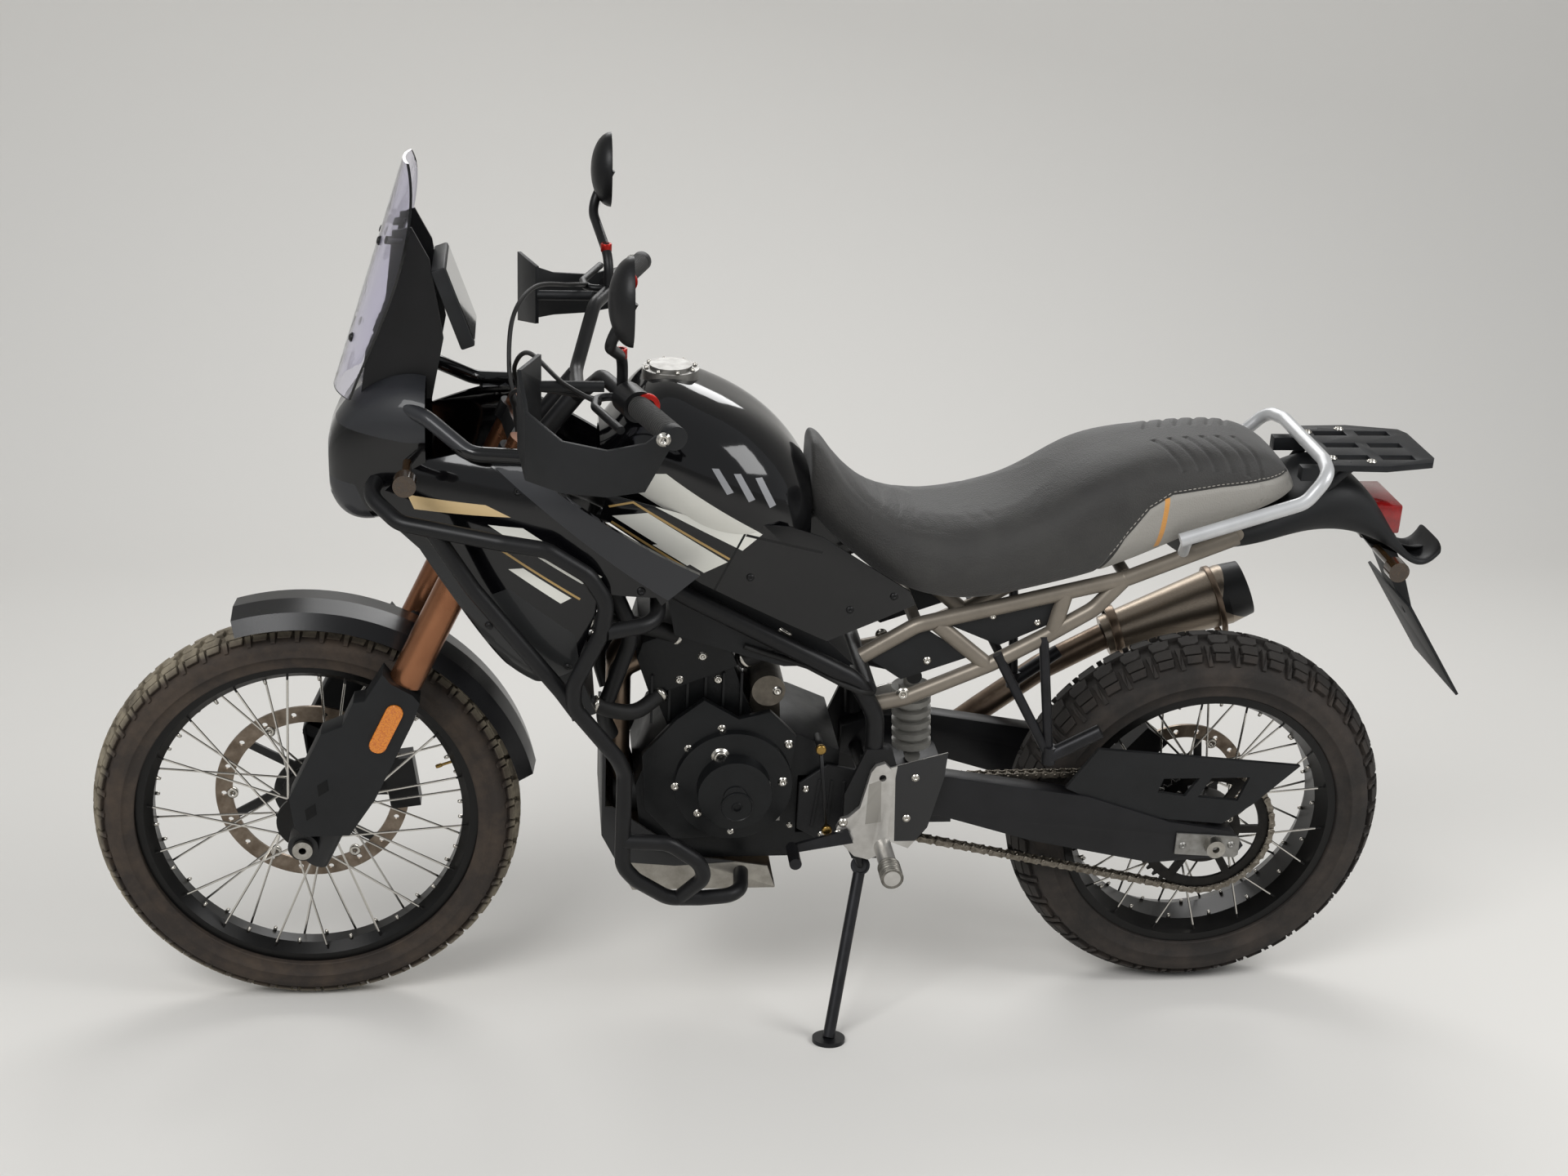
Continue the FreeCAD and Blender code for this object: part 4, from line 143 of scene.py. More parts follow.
# Stance: the motorcycle's own upright frame, X to the rear from the front axle, Y to the rider's
# right and Z up from its upright floor line. One lean puts what is drawn in it where it stands.
LEAN = math.radians(9.0)
axle_low, axle_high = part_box("front_axle")
axle_middle = (axle_low + axle_high) / 2
stance = (Matrix.Translation((axle_middle.x, axle_middle.y + axle_middle.z * math.tan(LEAN), 0))
          @ Matrix.Rotation(LEAN, 4, "X"))
upright = stance.inverted()
front_centre = upright @ axle_middle
rear_low, rear_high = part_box("rear_axle")
rear_centre = upright @ ((rear_low + rear_high) / 2)


def stand(piece, body, slot, *replaced):
    """Leans a finished piece over, hangs it on its body and hides what it replaces. The slot is unused."""
    piece.data.transform(stance)
    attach(piece, body)
    if replaced:
        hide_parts(*replaced)
    return piece


def finish(material, *names):
    """Gives carried-over pieces their material."""
    for name in names:
        piece = nodes[name] if isinstance(name, str) else name
        piece.data.materials.clear()
        piece.data.materials.append(material)


# Tyres: vulcanised rubber with moulded tread blocks in staggered rows, dusty tan on the front
# tyre's blocks and dark on the rear's, with brown dust in the grooves and on the walls.
TREAD_DEPTH = 0.0075


def tread_point(centre, radius, crown, angle, across, height):
    """A point on the crown, round the axle and across the tread, over the tips' level."""
    tilt = across / crown
    reach = radius - crown + (crown + height) * math.cos(tilt)
    return (centre.x + reach * math.cos(angle), (crown + height) * math.sin(tilt),
            centre.z + reach * math.sin(angle))


def casing_profile(radius, crown, half_width, bead, rim_half):
    """Side and radius of the casing from the middle of the tread to the bead, smoothly bulged."""
    tilt = math.asin(half_width / crown * 0.9)
    floor_crown = crown - TREAD_DEPTH
    arc = [(floor_crown * math.sin(tilt * k / 8), radius - crown + floor_crown * math.cos(tilt * k / 8))
           for k in range(8)]
    shoulder = radius - crown + floor_crown * math.cos(tilt)
    side = half_width - 0.002
    drop = shoulder - bead
    wall = [(side * 0.97, shoulder), (side, bead + drop * 0.78), (side, bead + drop * 0.60),
            (side + 0.0008, bead + drop * 0.58), (side + 0.0008, bead + drop * 0.55),
            (side - 0.001, bead + drop * 0.53), (side * 0.97, bead + drop * 0.38),
            (side * 0.90, bead + drop * 0.22), (side * 0.90 + 0.0008, bead + drop * 0.20),
            (side * 0.86, bead + drop * 0.17), (rim_half + 0.001, bead + 0.012),
            (rim_half - 0.003, bead + 0.010), (rim_half - 0.005, bead)]
    return arc + wall


def tread_blocks(pitch, rows):
    """Block outlines in turn-share and millimetres across, for one pitch of both sides."""
    blocks = []
    for side, shift in ((1, 0.0), (-1, 0.5)):
        for outline in rows:
            blocks.append([((u + shift) * pitch, side * v / 1000) for u, v in outline][::side])
    return blocks


def tyre(name, centre, radius, crown, half_width, bead, rim_half, count, rows):
    """Casing and tread blocks as one mesh."""
    points, faces = [], []
    right = casing_profile(radius, crown, half_width, bead, rim_half)
    profile = [(-s, r) for s, r in reversed(right[1:])] + right
    turns = 180
    for k in range(turns):
        angle = 2 * math.pi * k / turns
        points += [(centre.x + r * math.cos(angle), s, centre.z + r * math.sin(angle))
                   for s, r in profile]
    wide = len(profile)
    for k in range(turns):
        here, there = k * wide, (k + 1) % turns * wide
        faces += [(here + j, here + j + 1, there + j + 1, there + j) for j in range(wide - 1)]
    smooth_count = len(faces)
    pitch = 2 * math.pi / count
    chamfer = 0.0009
    for number in range(count):
        for block in tread_blocks(pitch, rows):
            mid_u = sum(u for u, _ in block) / len(block)
            mid_v = sum(v for _, v in block) / len(block)
            start = len(points)
            size = len(block)
            for height, inset in ((-TREAD_DEPTH - 0.001, 0.0), (-chamfer, 0.0), (0.0, chamfer)):
                for u, v in block:
                    gap = math.hypot((u - mid_u) * radius, v - mid_v)
                    keep = 1 - inset / gap
                    points.append(tread_point(centre, radius, crown,
                                              number * pitch + mid_u + (u - mid_u) * keep,
                                              mid_v + (v - mid_v) * keep, height))
            for ring in (0, size):
                for j in range(size):
                    k = (j + 1) % size
                    faces.append((start + ring + j, start + ring + k, start + ring + size + k,
                                  start + ring + size + j))
            faces.append(tuple(start + 2 * size + j for j in range(size)))
    piece = new_mesh(name, points, faces)
    for face in piece.data.polygons[:smooth_count]:
        face.use_smooth = True
    return piece


def rubber(name, tread, wall, dust, centre, radius):
    """Matt carbon-black rubber, greyer on the worn block tops, with dust where it is not rubbed."""
    material, tree, shader = new_material(name)
    place = add(tree, "ShaderNodeTexCoord").outputs["Object"]
    middle = stance @ centre
    arm = add(tree, "ShaderNodeVectorMath", {0: place, 1: middle}, operation="SUBTRACT").outputs[0]
    turned = add(tree, "ShaderNodeVectorMath",
                 {0: arm, 1: (0.0, math.cos(LEAN), math.sin(LEAN))}, operation="CROSS_PRODUCT")
    reach = add(tree, "ShaderNodeVectorMath", {0: turned.outputs[0]}, operation="LENGTH").outputs["Value"]
    tops = add(tree, "ShaderNodeMapRange", {0: reach, 1: radius - 0.019, 2: radius - 0.009})
    patches = add(tree, "ShaderNodeTexNoise", {"Vector": place, "Scale": 14.0, "Detail": 6.0,
                                               "Roughness": 0.7}).outputs["Fac"]
    grains = add(tree, "ShaderNodeTexNoise", {"Vector": place, "Scale": 420.0, "Detail": 3.0}).outputs["Fac"]
    spots = add(tree, "ShaderNodeMapRange", {0: patches, 1: 0.42, 2: 0.72}).outputs[0]
    wall_tint = add(tree, "ShaderNodeMix", {0: spots, 6: linear(wall), 7: linear(dust)},
                    data_type="RGBA").outputs[2]
    tread_tint = add(tree, "ShaderNodeMix", {0: spots, 6: linear(tread), 7: linear(wall)},
                     data_type="RGBA").outputs[2]
    colour = add(tree, "ShaderNodeMix", {0: tops.outputs[0], 6: wall_tint, 7: tread_tint},
                 data_type="RGBA").outputs[2]
    tree.links.new(colour, shader.inputs["Base Color"])
    shader.inputs["Roughness"].default_value = 0.82
    bump = add(tree, "ShaderNodeBump", {"Height": grains, "Strength": 0.35, "Distance": 0.0006})
    tree.links.new(bump.outputs[0], shader.inputs["Normal"])
    return material


front_rows = (
    ((0.04, 1.5), (0.78, 1.5), (0.90, 8.5), (0.84, 15.0), (0.40, 15.5), (0.34, 10.5), (0.12, 9.5)),
    ((0.20, 17.5), (0.36, 13.0), (0.44, 17.5), (0.92, 17.0), (1.02, 21.0), (0.98, 28.5), (0.34, 29.5)),
    ((0.30, 31.0), (0.86, 30.5), (0.90, 41.0), (0.36, 41.5)),
    ((0.98, 30.0), (1.20, 30.5), (1.18, 50.0), (1.00, 50.0)))
front_tyre = tyre("front_block_tyre", front_centre, 0.347, 0.050, 0.046, 0.268, 0.029, 54, front_rows)
finish(rubber("front_tyre_rubber", "#8a816f", "#2b241f", "#463a2f", front_centre, 0.347), front_tyre)
stand(front_tyre, "front_wheel", "tyre_rubber", "front_tyre")

rear_rows = (
    ((0.05, 1.5), (0.70, 1.5), (0.76, 12.0), (0.70, 24.0), (0.30, 25.0), (0.12, 20.0)),
    ((0.10, 28.0), (0.32, 27.0), (0.60, 27.5), (0.72, 31.0), (0.70, 45.0), (0.14, 46.0)),
    ((0.12, 48.5), (0.66, 48.0), (0.70, 62.0), (0.18, 62.5)),
    ((0.80, 30.0), (0.98, 30.0), (0.96, 46.0), (0.98, 50.0), (0.96, 72.0), (0.80, 72.0), (0.82, 48.0)))
rear_tyre = tyre("rear_block_tyre", rear_centre, 0.328, 0.080, 0.071, 0.230, 0.057, 40, rear_rows)
finish(rubber("rear_tyre_rubber", "#2b2825", "#1f1b18", "#38302a", rear_centre, 0.328), rear_tyre)
stand(rear_tyre, "rear_wheel", "tyre_rubber", "rear_tyre")


# Wire wheels: aluminium rims and hubs in black anodising, laced with stainless spokes. The spokes'
# bright finish is laid on the ring between hub and rim, where it catches the light.


def surface(name, light, dark, roughness, metallic=0.0, patch_mm=70, grain_mm=1.2, relief=0.0002,
            clearcoat=0.0, worn=0.06):
    """A finish with slow patches between two tones, a fine grain in relief and uneven gloss."""
    material, tree, shader = new_material(name)
    place = add(tree, "ShaderNodeTexCoord").outputs["Object"]
    patches = add(tree, "ShaderNodeTexNoise", {"Vector": place, "Scale": 1000 / patch_mm,
                                               "Detail": 5.0, "Roughness": 0.6}).outputs["Fac"]
    grain = add(tree, "ShaderNodeTexNoise", {"Vector": place, "Scale": 1000 / grain_mm / 2,
                                             "Detail": 2.0}).outputs["Fac"]
    share = add(tree, "ShaderNodeMapRange", {0: patches, 1: 0.3, 2: 0.7}).outputs[0]
    colour = add(tree, "ShaderNodeMix", {0: share, 6: linear(light), 7: linear(dark)},
                 data_type="RGBA").outputs[2]
    tree.links.new(colour, shader.inputs["Base Color"])
    gloss = add(tree, "ShaderNodeMapRange", {0: patches, 1: 0.25, 2: 0.75, 3: roughness - worn / 2,
                                             4: roughness + worn}).outputs[0]
    tree.links.new(gloss, shader.inputs["Roughness"])
    shader.inputs["Metallic"].default_value = metallic
    shader.inputs["Specular IOR Level"].default_value = 0.5 if metallic > 0.5 else 0.3
    shader.inputs["Coat Weight"].default_value = clearcoat
    shader.inputs["Coat Roughness"].default_value = 0.04
    bump = add(tree, "ShaderNodeBump", {"Height": grain, "Strength": 0.6, "Distance": relief})
    tree.links.new(bump.outputs[0], shader.inputs["Normal"])
    return material


def radial_reach(tree, centre):
    """Distance of the shaded point from an axle's line."""
    place = add(tree, "ShaderNodeTexCoord").outputs["Object"]
    arm = add(tree, "ShaderNodeVectorMath", {0: place, 1: stance @ centre},
              operation="SUBTRACT").outputs[0]
    turned = add(tree, "ShaderNodeVectorMath",
                 {0: arm, 1: (0.0, math.cos(LEAN), math.sin(LEAN))}, operation="CROSS_PRODUCT")
    return add(tree, "ShaderNodeVectorMath", {0: turned.outputs[0]},
               operation="LENGTH").outputs["Value"]


def overlay(material, share, code, metallic, roughness):
    """Lays another colour, shine and gloss over a finish where a share of one says so."""
    tree = material.node_tree
    shader = tree.nodes["Principled BSDF"]
    old = shader.inputs["Base Color"].links[0].from_socket
    mix = add(tree, "ShaderNodeMix", {0: share, 6: old, 7: linear(code)}, data_type="RGBA")
    tree.links.new(mix.outputs[2], shader.inputs["Base Color"])
    for socket, wanted in (("Metallic", metallic), ("Roughness", roughness)):
        target = shader.inputs[socket]
        old = target.links[0].from_socket if target.links else target.default_value
        mix = add(tree, "ShaderNodeMix", {0: share, 2: old, 3: wanted}, data_type="FLOAT")
        tree.links.new(mix.outputs[0], target)


def blend_ring(material, centre, inner, outer, code, metallic, roughness):
    """Gives the ring between two radii about an axle its own finish."""
    tree = material.node_tree
    reach = radial_reach(tree, centre)
    over = add(tree, "ShaderNodeMath", {0: reach, 1: inner}, operation="GREATER_THAN").outputs[0]
    under = add(tree, "ShaderNodeMath", {0: reach, 1: outer}, operation="LESS_THAN").outputs[0]
    share = add(tree, "ShaderNodeMath", {0: over, 1: under}, operation="MULTIPLY").outputs[0]
    overlay(material, share, code, metallic, roughness)


for name, centre, hub, rim in (("front_wire_wheel", front_centre, 0.0525, 0.2500),
                               ("rear_wire_wheel", rear_centre, 0.0645, 0.2120)):
    rim_black = surface(name + "_black_anodising", "#141414", "#1d1c1b", 0.32, 0.6, 90, 1.0, 0.0001)
    blend_ring(rim_black, centre, hub, rim, "#c9c6c0", 1.0, 0.22)
    finish(rim_black, name)

# Spoke nipples: bright nickel-plated caps on the inside of each rim, 36 to a wheel, set alternately to
# left and right. Each tapers towards the hub.


def lathe(name, centre, axis, profile, sides=32):
    """A solid of revolution about an axis, from (radius, along) points in millimetres."""
    axis = Vector(axis).normalized()
    across = axis.orthogonal().normalized()
    other = axis.cross(across)
    points, faces = [], []
    for radius, along in profile:
        points += [centre + axis * along / 1000
                   + (across * math.cos(a) + other * math.sin(a)) * radius / 1000
                   for a in (2 * math.pi * j / sides for j in range(sides))]
    for k in range(len(profile) - 1):
        for j in range(sides):
            n = (j + 1) % sides
            faces.append((k * sides + j, k * sides + n, (k + 1) * sides + n, (k + 1) * sides + j))
    piece = new_mesh(name, points, faces)
    bm = bmesh.new()
    bm.from_mesh(piece.data)
    bmesh.ops.remove_doubles(bm, verts=bm.verts, dist=0.00001)
    bmesh.ops.recalc_face_normals(bm, faces=bm.faces)
    bm.to_mesh(piece.data)
    bm.free()
    for face in piece.data.polygons:
        face.use_smooth = True
    piece.data.set_sharp_from_angle(angle=math.radians(35))
    return piece


def join(name, pieces):
    """Several meshes as one piece."""
    points, faces, smooth = [], [], []
    for piece in pieces:
        start = len(points)
        points += [v.co.copy() for v in piece.data.vertices]
        faces += [tuple(start + i for i in f.vertices) for f in piece.data.polygons]
        smooth += [f.use_smooth for f in piece.data.polygons]
        bpy.data.objects.remove(piece)
    whole = new_mesh(name, points, faces)
    for face, flag in zip(whole.data.polygons, smooth):
        face.use_smooth = flag
    return whole


def assemble(name, pieces, material, body, slot, *replaced):
    """Joins like pieces, gives them their material and hangs them on their body."""
    whole = join(name, pieces)
    finish(material, whole)
    return stand(whole, body, slot, *replaced)


nickel = surface("plated_nickel", "#cfccc5", "#b5b0a7", 0.22, 1.0, 30, 0.6, 0.00005)
for label, centre, seat, half, body in (("front", front_centre, 252.5, 13, "front_wheel"),
                                        ("rear", rear_centre, 214.5, 24, "rear_wheel")):
    caps = []
    for number in range(36):
        angle = math.radians(10 * number + 4)
        out = Vector((math.cos(angle), 0, math.sin(angle)))
        foot = centre + out * (seat / 1000) + Vector((0, half if number % 2 else -half, 0)) / 1000
        caps.append(lathe("cap", foot, -out, [(0, 0), (3.4, 0), (3.1, 7), (2.2, 9), (0, 9)], 8))
    stand_in = join(label + "_spoke_nipples", caps)
    finish(nickel, stand_in)
    stand(stand_in, body, "disc_steel")

# Brake discs: drilled stainless rings, browned by the pads, on black carriers. Six plated bobbins hold
# each ring on its carrier.
for name, centre, ring, body, side in (("front_disc", front_centre, 131, "front_wheel", 60),
                                       ("rear_disc", rear_centre, 95, "rear_wheel", 74)):
    steel = surface(name + "_braked_steel", "#8d8174", "#6f6255", 0.34, 1.0, 16, 0.5, 0.0001, worn=0.12)
    blend_ring(steel, centre, 0.0, ring / 1000, "#161616", 0.2, 0.45)
    finish(steel, name)
    bobbins = []
    for number in range(6):
        angle = math.radians(60 * number)
        place = centre + Vector((math.cos(angle), 0, math.sin(angle))) * (ring + 1) / 1000
        place.y = side / 1000
        bobbins.append(lathe("bobbin", place, (0, 1, 0),
                             [(3, -4.5), (8.5, -4.5), (9.5, -3.5), (9.5, 3.5), (8.5, 4.5),
                              (3, 4.5), (3, -4.5)], 20))
    assemble(name + "_bobbins", bobbins, nickel, body, "disc_steel")

# Chain: steel side plates on pins and rollers, one fixed loop at the pitch of the sprockets' teeth.
# Lubricant and dust dull it to a brown grey.


def at(back, side, height):
    """A point in the upright frame from millimetres."""
    return Vector((back, side, height)) / 1000


def plate_mesh(name, outline, near, far):
    """A flat plate with chamfered rims from a side-view outline in millimetres, between two sides."""
    middle = Vector((sum(p[0] for p in outline), 0, sum(p[1] for p in outline))) / len(outline)
    edge = min(abs(far - near) * 0.3, 1.2)
    points = []
    sign = 1 if far > near else -1
    for side, inset in ((near, edge), (near + sign * edge, 0), (far - sign * edge, 0), (far, edge)):
        for x, z in outline:
            arm = Vector((x - middle.x, 0, z - middle.z))
            arm *= 1 - inset / max(arm.length, 1e-6)
            points.append(at(middle.x + arm.x, side, middle.z + arm.z))
    size = len(outline)
    faces = [tuple(range(size)), tuple(reversed(range(3 * size, 4 * size)))]
    for k in range(3):
        for j in range(size):
            n = (j + 1) % size
            faces.append((k * size + n, k * size + j, (k + 1) * size + j, (k + 1) * size + n))
    piece = new_mesh(name, points, faces)
    bm = bmesh.new()
    bm.from_mesh(piece.data)
    bmesh.ops.recalc_face_normals(bm, faces=bm.faces)
    bm.to_mesh(piece.data)
    bm.free()
    return piece


PITCH, FRONT_TEETH, REAR_TEETH, CHAIN_SIDE = 15.875, 15, 46, -84
FRONT_SPROCKET = (852, 398)


def chain_line():
    """Pin places round both sprockets, one pitch apart, with the direction of travel at each."""
    small, large = (PITCH / 2 / math.sin(math.pi / teeth) for teeth in (FRONT_TEETH, REAR_TEETH))
    near = Vector((FRONT_SPROCKET[0], CHAIN_SIDE, FRONT_SPROCKET[1]))
    far = Vector((rear_centre.x * 1000, CHAIN_SIDE, rear_centre.z * 1000))
    span = far - near
    tilt = math.atan2(span.z, span.x)
    wrap = math.acos((small - large) / span.length)
    run = span.length * math.sin(wrap)
    turns = 2 * (math.pi - wrap)
    legs = [run, large * (2 * math.pi - turns), run, small * turns]
    count = round(sum(legs) / PITCH)
    count -= count % 2
    line = []
    for number in range(count):
        way = sum(legs) * number / count
        leg = 0
        while way > legs[leg]:
            way -= legs[leg]
            leg += 1
        if leg % 2 == 0:
            angle = tilt + (wrap if leg == 0 else -wrap)
            normal = Vector((math.cos(angle), 0, math.sin(angle)))
            start, end = near + normal * small, far + normal * large
            if leg:
                start, end = end, start
            line.append(start + (end - start) * way / run)
        else:
            centre, radius = (far, large) if leg == 1 else (near, small)
            angle = tilt + (wrap if leg == 1 else -wrap) - way / radius
            line.append(centre + Vector((math.cos(angle), 0, math.sin(angle))) * radius)
    return line


LINK_END, LINK_WAIST, LINK_WALL = 6.8, 4.4, 1.7
pins = chain_line()
plates = []
for number, here in enumerate(pins):
    there = pins[(number + 1) % len(pins)]
    run = (there - here).normalized()
    up = Vector((-run.z, 0, run.x))
    outline = []
    for end, sign in ((there, 1), (here, -1)):
        for degrees in (-60, -30, 0, 30, 60):
            turn = math.radians(degrees)
            spot = end + run * sign * LINK_END * math.cos(turn) + up * sign * LINK_END * math.sin(turn)
            outline.append((spot.x, spot.z))
        waist = (here + there) / 2 + up * sign * LINK_WAIST
        outline.append((waist.x, waist.z))
    offset = 6.1 if number % 2 else 3.9
    for side in (-1, 1):
        plates.append(plate_mesh("plate", outline, CHAIN_SIDE + side * offset,
                                 CHAIN_SIDE + side * (offset + LINK_WALL)))
    plates.append(lathe("pin", here / 1000, (0, 1, 0),
                        [(0, -7.9), (2.4, -7.9), (2.4, -3.8), (4.9, -3.6), (4.9, 3.6), (2.4, 3.8),
                         (2.4, 7.9), (0, 7.9)], 10))
links = join("roller_chain_links", plates)
chain_steel = surface("oiled_chain_steel", "#8b857b", "#5e574d", 0.38, 1.0, 9, 0.5, 0.0001, worn=0.15)
finish(chain_steel, links)
stand(links, "chassis", "chain_steel", "chain")

# Rear sprocket: a black hardened ring, cut with the teeth that stand in the chain's rollers. It sits
# on six plated bolts.


def socket_bolt(name, place, axis, head=6.5, tall=5.0):
    """A round cap screw with a hexagonal socket and a bright washer's rim."""
    profile = [(0, 0), (head * 1.35, 0), (head * 1.35, 1.2), (head, 1.3), (head, tall * 0.85),
               (head * 0.88, tall), (head * 0.5, tall), (head * 0.48, tall * 0.45), (0, tall * 0.4)]
    return lathe(name, place, axis, profile, 18)


TOOTH_DEPTH, RING_DEPTH = 7.5, 13
tip = PITCH / 2 / math.sin(math.pi / REAR_TEETH) + 3.0
outline = []
for number in range(REAR_TEETH):
    for share, reach in ((-0.22, tip - TOOTH_DEPTH), (-0.07, tip), (0.07, tip), (0.22, tip - TOOTH_DEPTH)):
        angle = 2 * math.pi * (number + share) / REAR_TEETH
        outline.append((reach * math.cos(angle), reach * math.sin(angle)))
inner = [(x * (tip - RING_DEPTH) / math.hypot(x, z), z * (tip - RING_DEPTH) / math.hypot(x, z))
         for x, z in outline]
points, faces, size = [], [], len(outline)
for ring, side in ((outline, -86.4), (outline, -81.6), (inner, -81.6), (inner, -86.4)):
    points += [rear_centre + Vector((x, side, z)) / 1000 for x, z in ring]
for k in range(4):
    for j in range(size):
        n = (j + 1) % size
        a, b = k * size, (k + 1) % 4 * size
        faces.append((a + j, a + n, b + n, b + j))
toothed_ring = new_mesh("sprocket_teeth", points, faces)
sprocket_black = surface("hardened_black_steel", "#1b1a19", "#2a2826", 0.42, 0.8, 20, 0.6, 0.0001)
finish(sprocket_black, toothed_ring, "rear_sprocket")
stand(toothed_ring, "rear_wheel", "chain_steel")
screws = [socket_bolt("screw", rear_centre + Vector((0.045 * math.cos(a), -0.087, 0.045 * math.sin(a))),
                      (0, -1, 0), 6) for a in (math.radians(60 * k + 30) for k in range(6))]
assemble("sprocket_bolts", screws, nickel, "rear_wheel", "axle_steel")

# Axles: turned bright steel with hollow ends, front and rear alike. A fine grain keeps the turned
# faces from mirroring.
finish(surface("turned_axle_steel", "#b4b1ab", "#99958d", 0.28, 1.0, 12, 0.4, 0.00005),
       "front_axle", "rear_axle")

# Fork: aluminium outer tubes in bronze anodising over chromed legs, held by cast clamps in satin
# black powder coat, which the frame, bars and calipers share.
finish(surface("bronze_anodising", "#96674a", "#7d5138", 0.27, 0.9, 120, 0.5, 0.00003, worn=0.04),
       "fork_tubes")
fork_chrome = surface("hard_chrome", "#bdbdbf", "#a9a9ab", 0.12, 1.0, 80, 0.5, 0.00002)
finish(fork_chrome, "fork_legs")
black_metal = surface("satin_powder_coat", "#0f0f10", "#161617", 0.40, 0.1, 80, 1.4, 0.00012)
finish(black_metal, "triple_clamps", "handlebar", "main_frame", "crash_bars", "front_caliper",
       "rear_caliper", "screen_bracket", "bar_controls", "mirrors")

# Fork guards and reflectors: grained ABS shells in matt black. Each side carries two thin plates in
# painted shade where its slots are recessed, and a reflector of amber acrylic with small prisms.


def upright_place(tree):
    """The shaded point in the motorcycle's own upright frame, in metres."""
    place = add(tree, "ShaderNodeTexCoord").outputs["Object"]
    return add(tree, "ShaderNodeMapping", {0: place, 1: stance.translation, 2: (LEAN, 0, 0)},
               vector_type="TEXTURE").outputs[0]


moulded = surface("grained_abs", "#18191b", "#121314", 0.52, 0.0, 110, 1.6, 0.0002)
finish(moulded, "fork_guards", "hand_guards", "chain_guard", "side_covers", "tail_fairing",
       "plate_holder", "airbox")


def eased(node, width, body):
    """A part's own form with its edges eased by a small radius, so that they catch the light."""
    source = nodes[node].data
    piece = new_mesh(node + "_eased", [v.co for v in source.vertices],
                     [tuple(f.vertices) for f in source.polygons])
    bm = bmesh.new()
    bm.from_mesh(piece.data)
    bmesh.ops.remove_doubles(bm, verts=bm.verts, dist=0.00003)
    bmesh.ops.dissolve_limit(bm, angle_limit=math.radians(1.5), verts=bm.verts, edges=bm.edges)
    bm.to_mesh(piece.data)
    bm.free()
    edge = piece.modifiers.new("edges", "BEVEL")
    edge.width, edge.segments = width / 1000, 2
    edge.limit_method, edge.angle_limit = "ANGLE", math.radians(28)
    seen = bpy.context.evaluated_depsgraph_get()
    mesh = bpy.data.meshes.new_from_object(piece.evaluated_get(seen))
    piece.modifiers.clear()
    piece.data = mesh
    for face in mesh.polygons:
        face.use_smooth = True
    mesh.set_sharp_from_angle(angle=math.radians(40))
    mesh.materials.clear()
    mesh.materials.append(source.materials[0])
    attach(piece, body)
    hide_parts(node)
    return piece


eased("fork_guards", 1.6, "front_end")
eased("hand_guards", 1.8, "front_end")
eased("side_covers", 1.2, "chassis")
eased("plate_holder", 1.2, "chassis")
rake = math.radians(25.35)
fork_up = Vector((math.sin(rake), 0, math.cos(rake)))
fork_ahead = Vector((-math.cos(rake), 0, math.sin(rake)))
fork_foot = front_centre - fork_ahead * 0.030


def fork_place(along, ahead, side):
    """A point beside the fork leg, in millimetres up the leg, ahead of it and across."""
    return (fork_foot * 1000 + fork_up * along + fork_ahead * ahead) + Vector((0, side, 0))


amber, tree, shader = new_material("amber_prism_acrylic")
place = upright_place(tree)
cells = add(tree, "ShaderNodeTexVoronoi", {"Vector": place, "Scale": 420.0}).outputs["Distance"]
# painted glints of the prisms: each cell lighter amber at its middle, darker at its rim
tint = add(tree, "ShaderNodeMix", {0: cells, 6: linear("#e08a12"), 7: linear("#b85c05")},
           data_type="RGBA").outputs[2]
tree.links.new(tint, shader.inputs["Base Color"])
shader.inputs["Roughness"].default_value = 0.18
shader.inputs["Coat Weight"].default_value = 0.8
bump = add(tree, "ShaderNodeBump", {"Height": cells, "Strength": 0.8, "Distance": 0.0008})
tree.links.new(bump.outputs[0], shader.inputs["Normal"])
for side in (-1, 1):
    outline = []
    for along, sign in ((288, 1), (226, -1)):
        for degrees in range(-90, 91, 22):
            turn = math.radians(degrees)
            spot = fork_place(along + sign * 14 * math.cos(turn), -1 - sign * 14 * math.sin(turn), 0)
            outline.append((spot.x, spot.z))
    reflector = plate_mesh("reflector_%s" % ("left" if side < 0 else "right"), outline,
                           side * 140.5, side * 145)
    finish(amber, reflector)
    stand(reflector, "front_end", "amber_lens")
    # thin near-black plates over each guard's two slots: painted shade of their recesses
    dark = []
    for along in (120, 72):
        spots = [fork_place(along + a, 46 + b, 0) for a, b in ((17, 0), (0, 10), (-17, 0), (0, -10))]
        dark.append(plate_mesh("recess", [(p.x, p.z) for p in spots], side * 140.9, side * 141.5))
    whole = join("guard_slot_shade_%s" % ("left" if side < 0 else "right"), dark)
    finish(surface("slot_shadow_%s" % ("left" if side < 0 else "right"), "#050505", "#090909", 0.8),
           whole)
    stand(whole, "front_end", "matte_black")

# Front fender: semi-gloss black paint above, over stays in bare grained plastic. One node holds both,
# so a ring about the axle gives the stays their own colour and gloss.
fender_paint = surface("fender_paint", "#0b0b0d", "#101012", 0.24, 0.0, 260, 3.0, 0.00002, 0.0, 0.05)
blend_ring(fender_paint, front_centre, 0.0, 0.3515, "#1f2022", 0.0, 0.55)
finish(fender_paint, "front_fender")
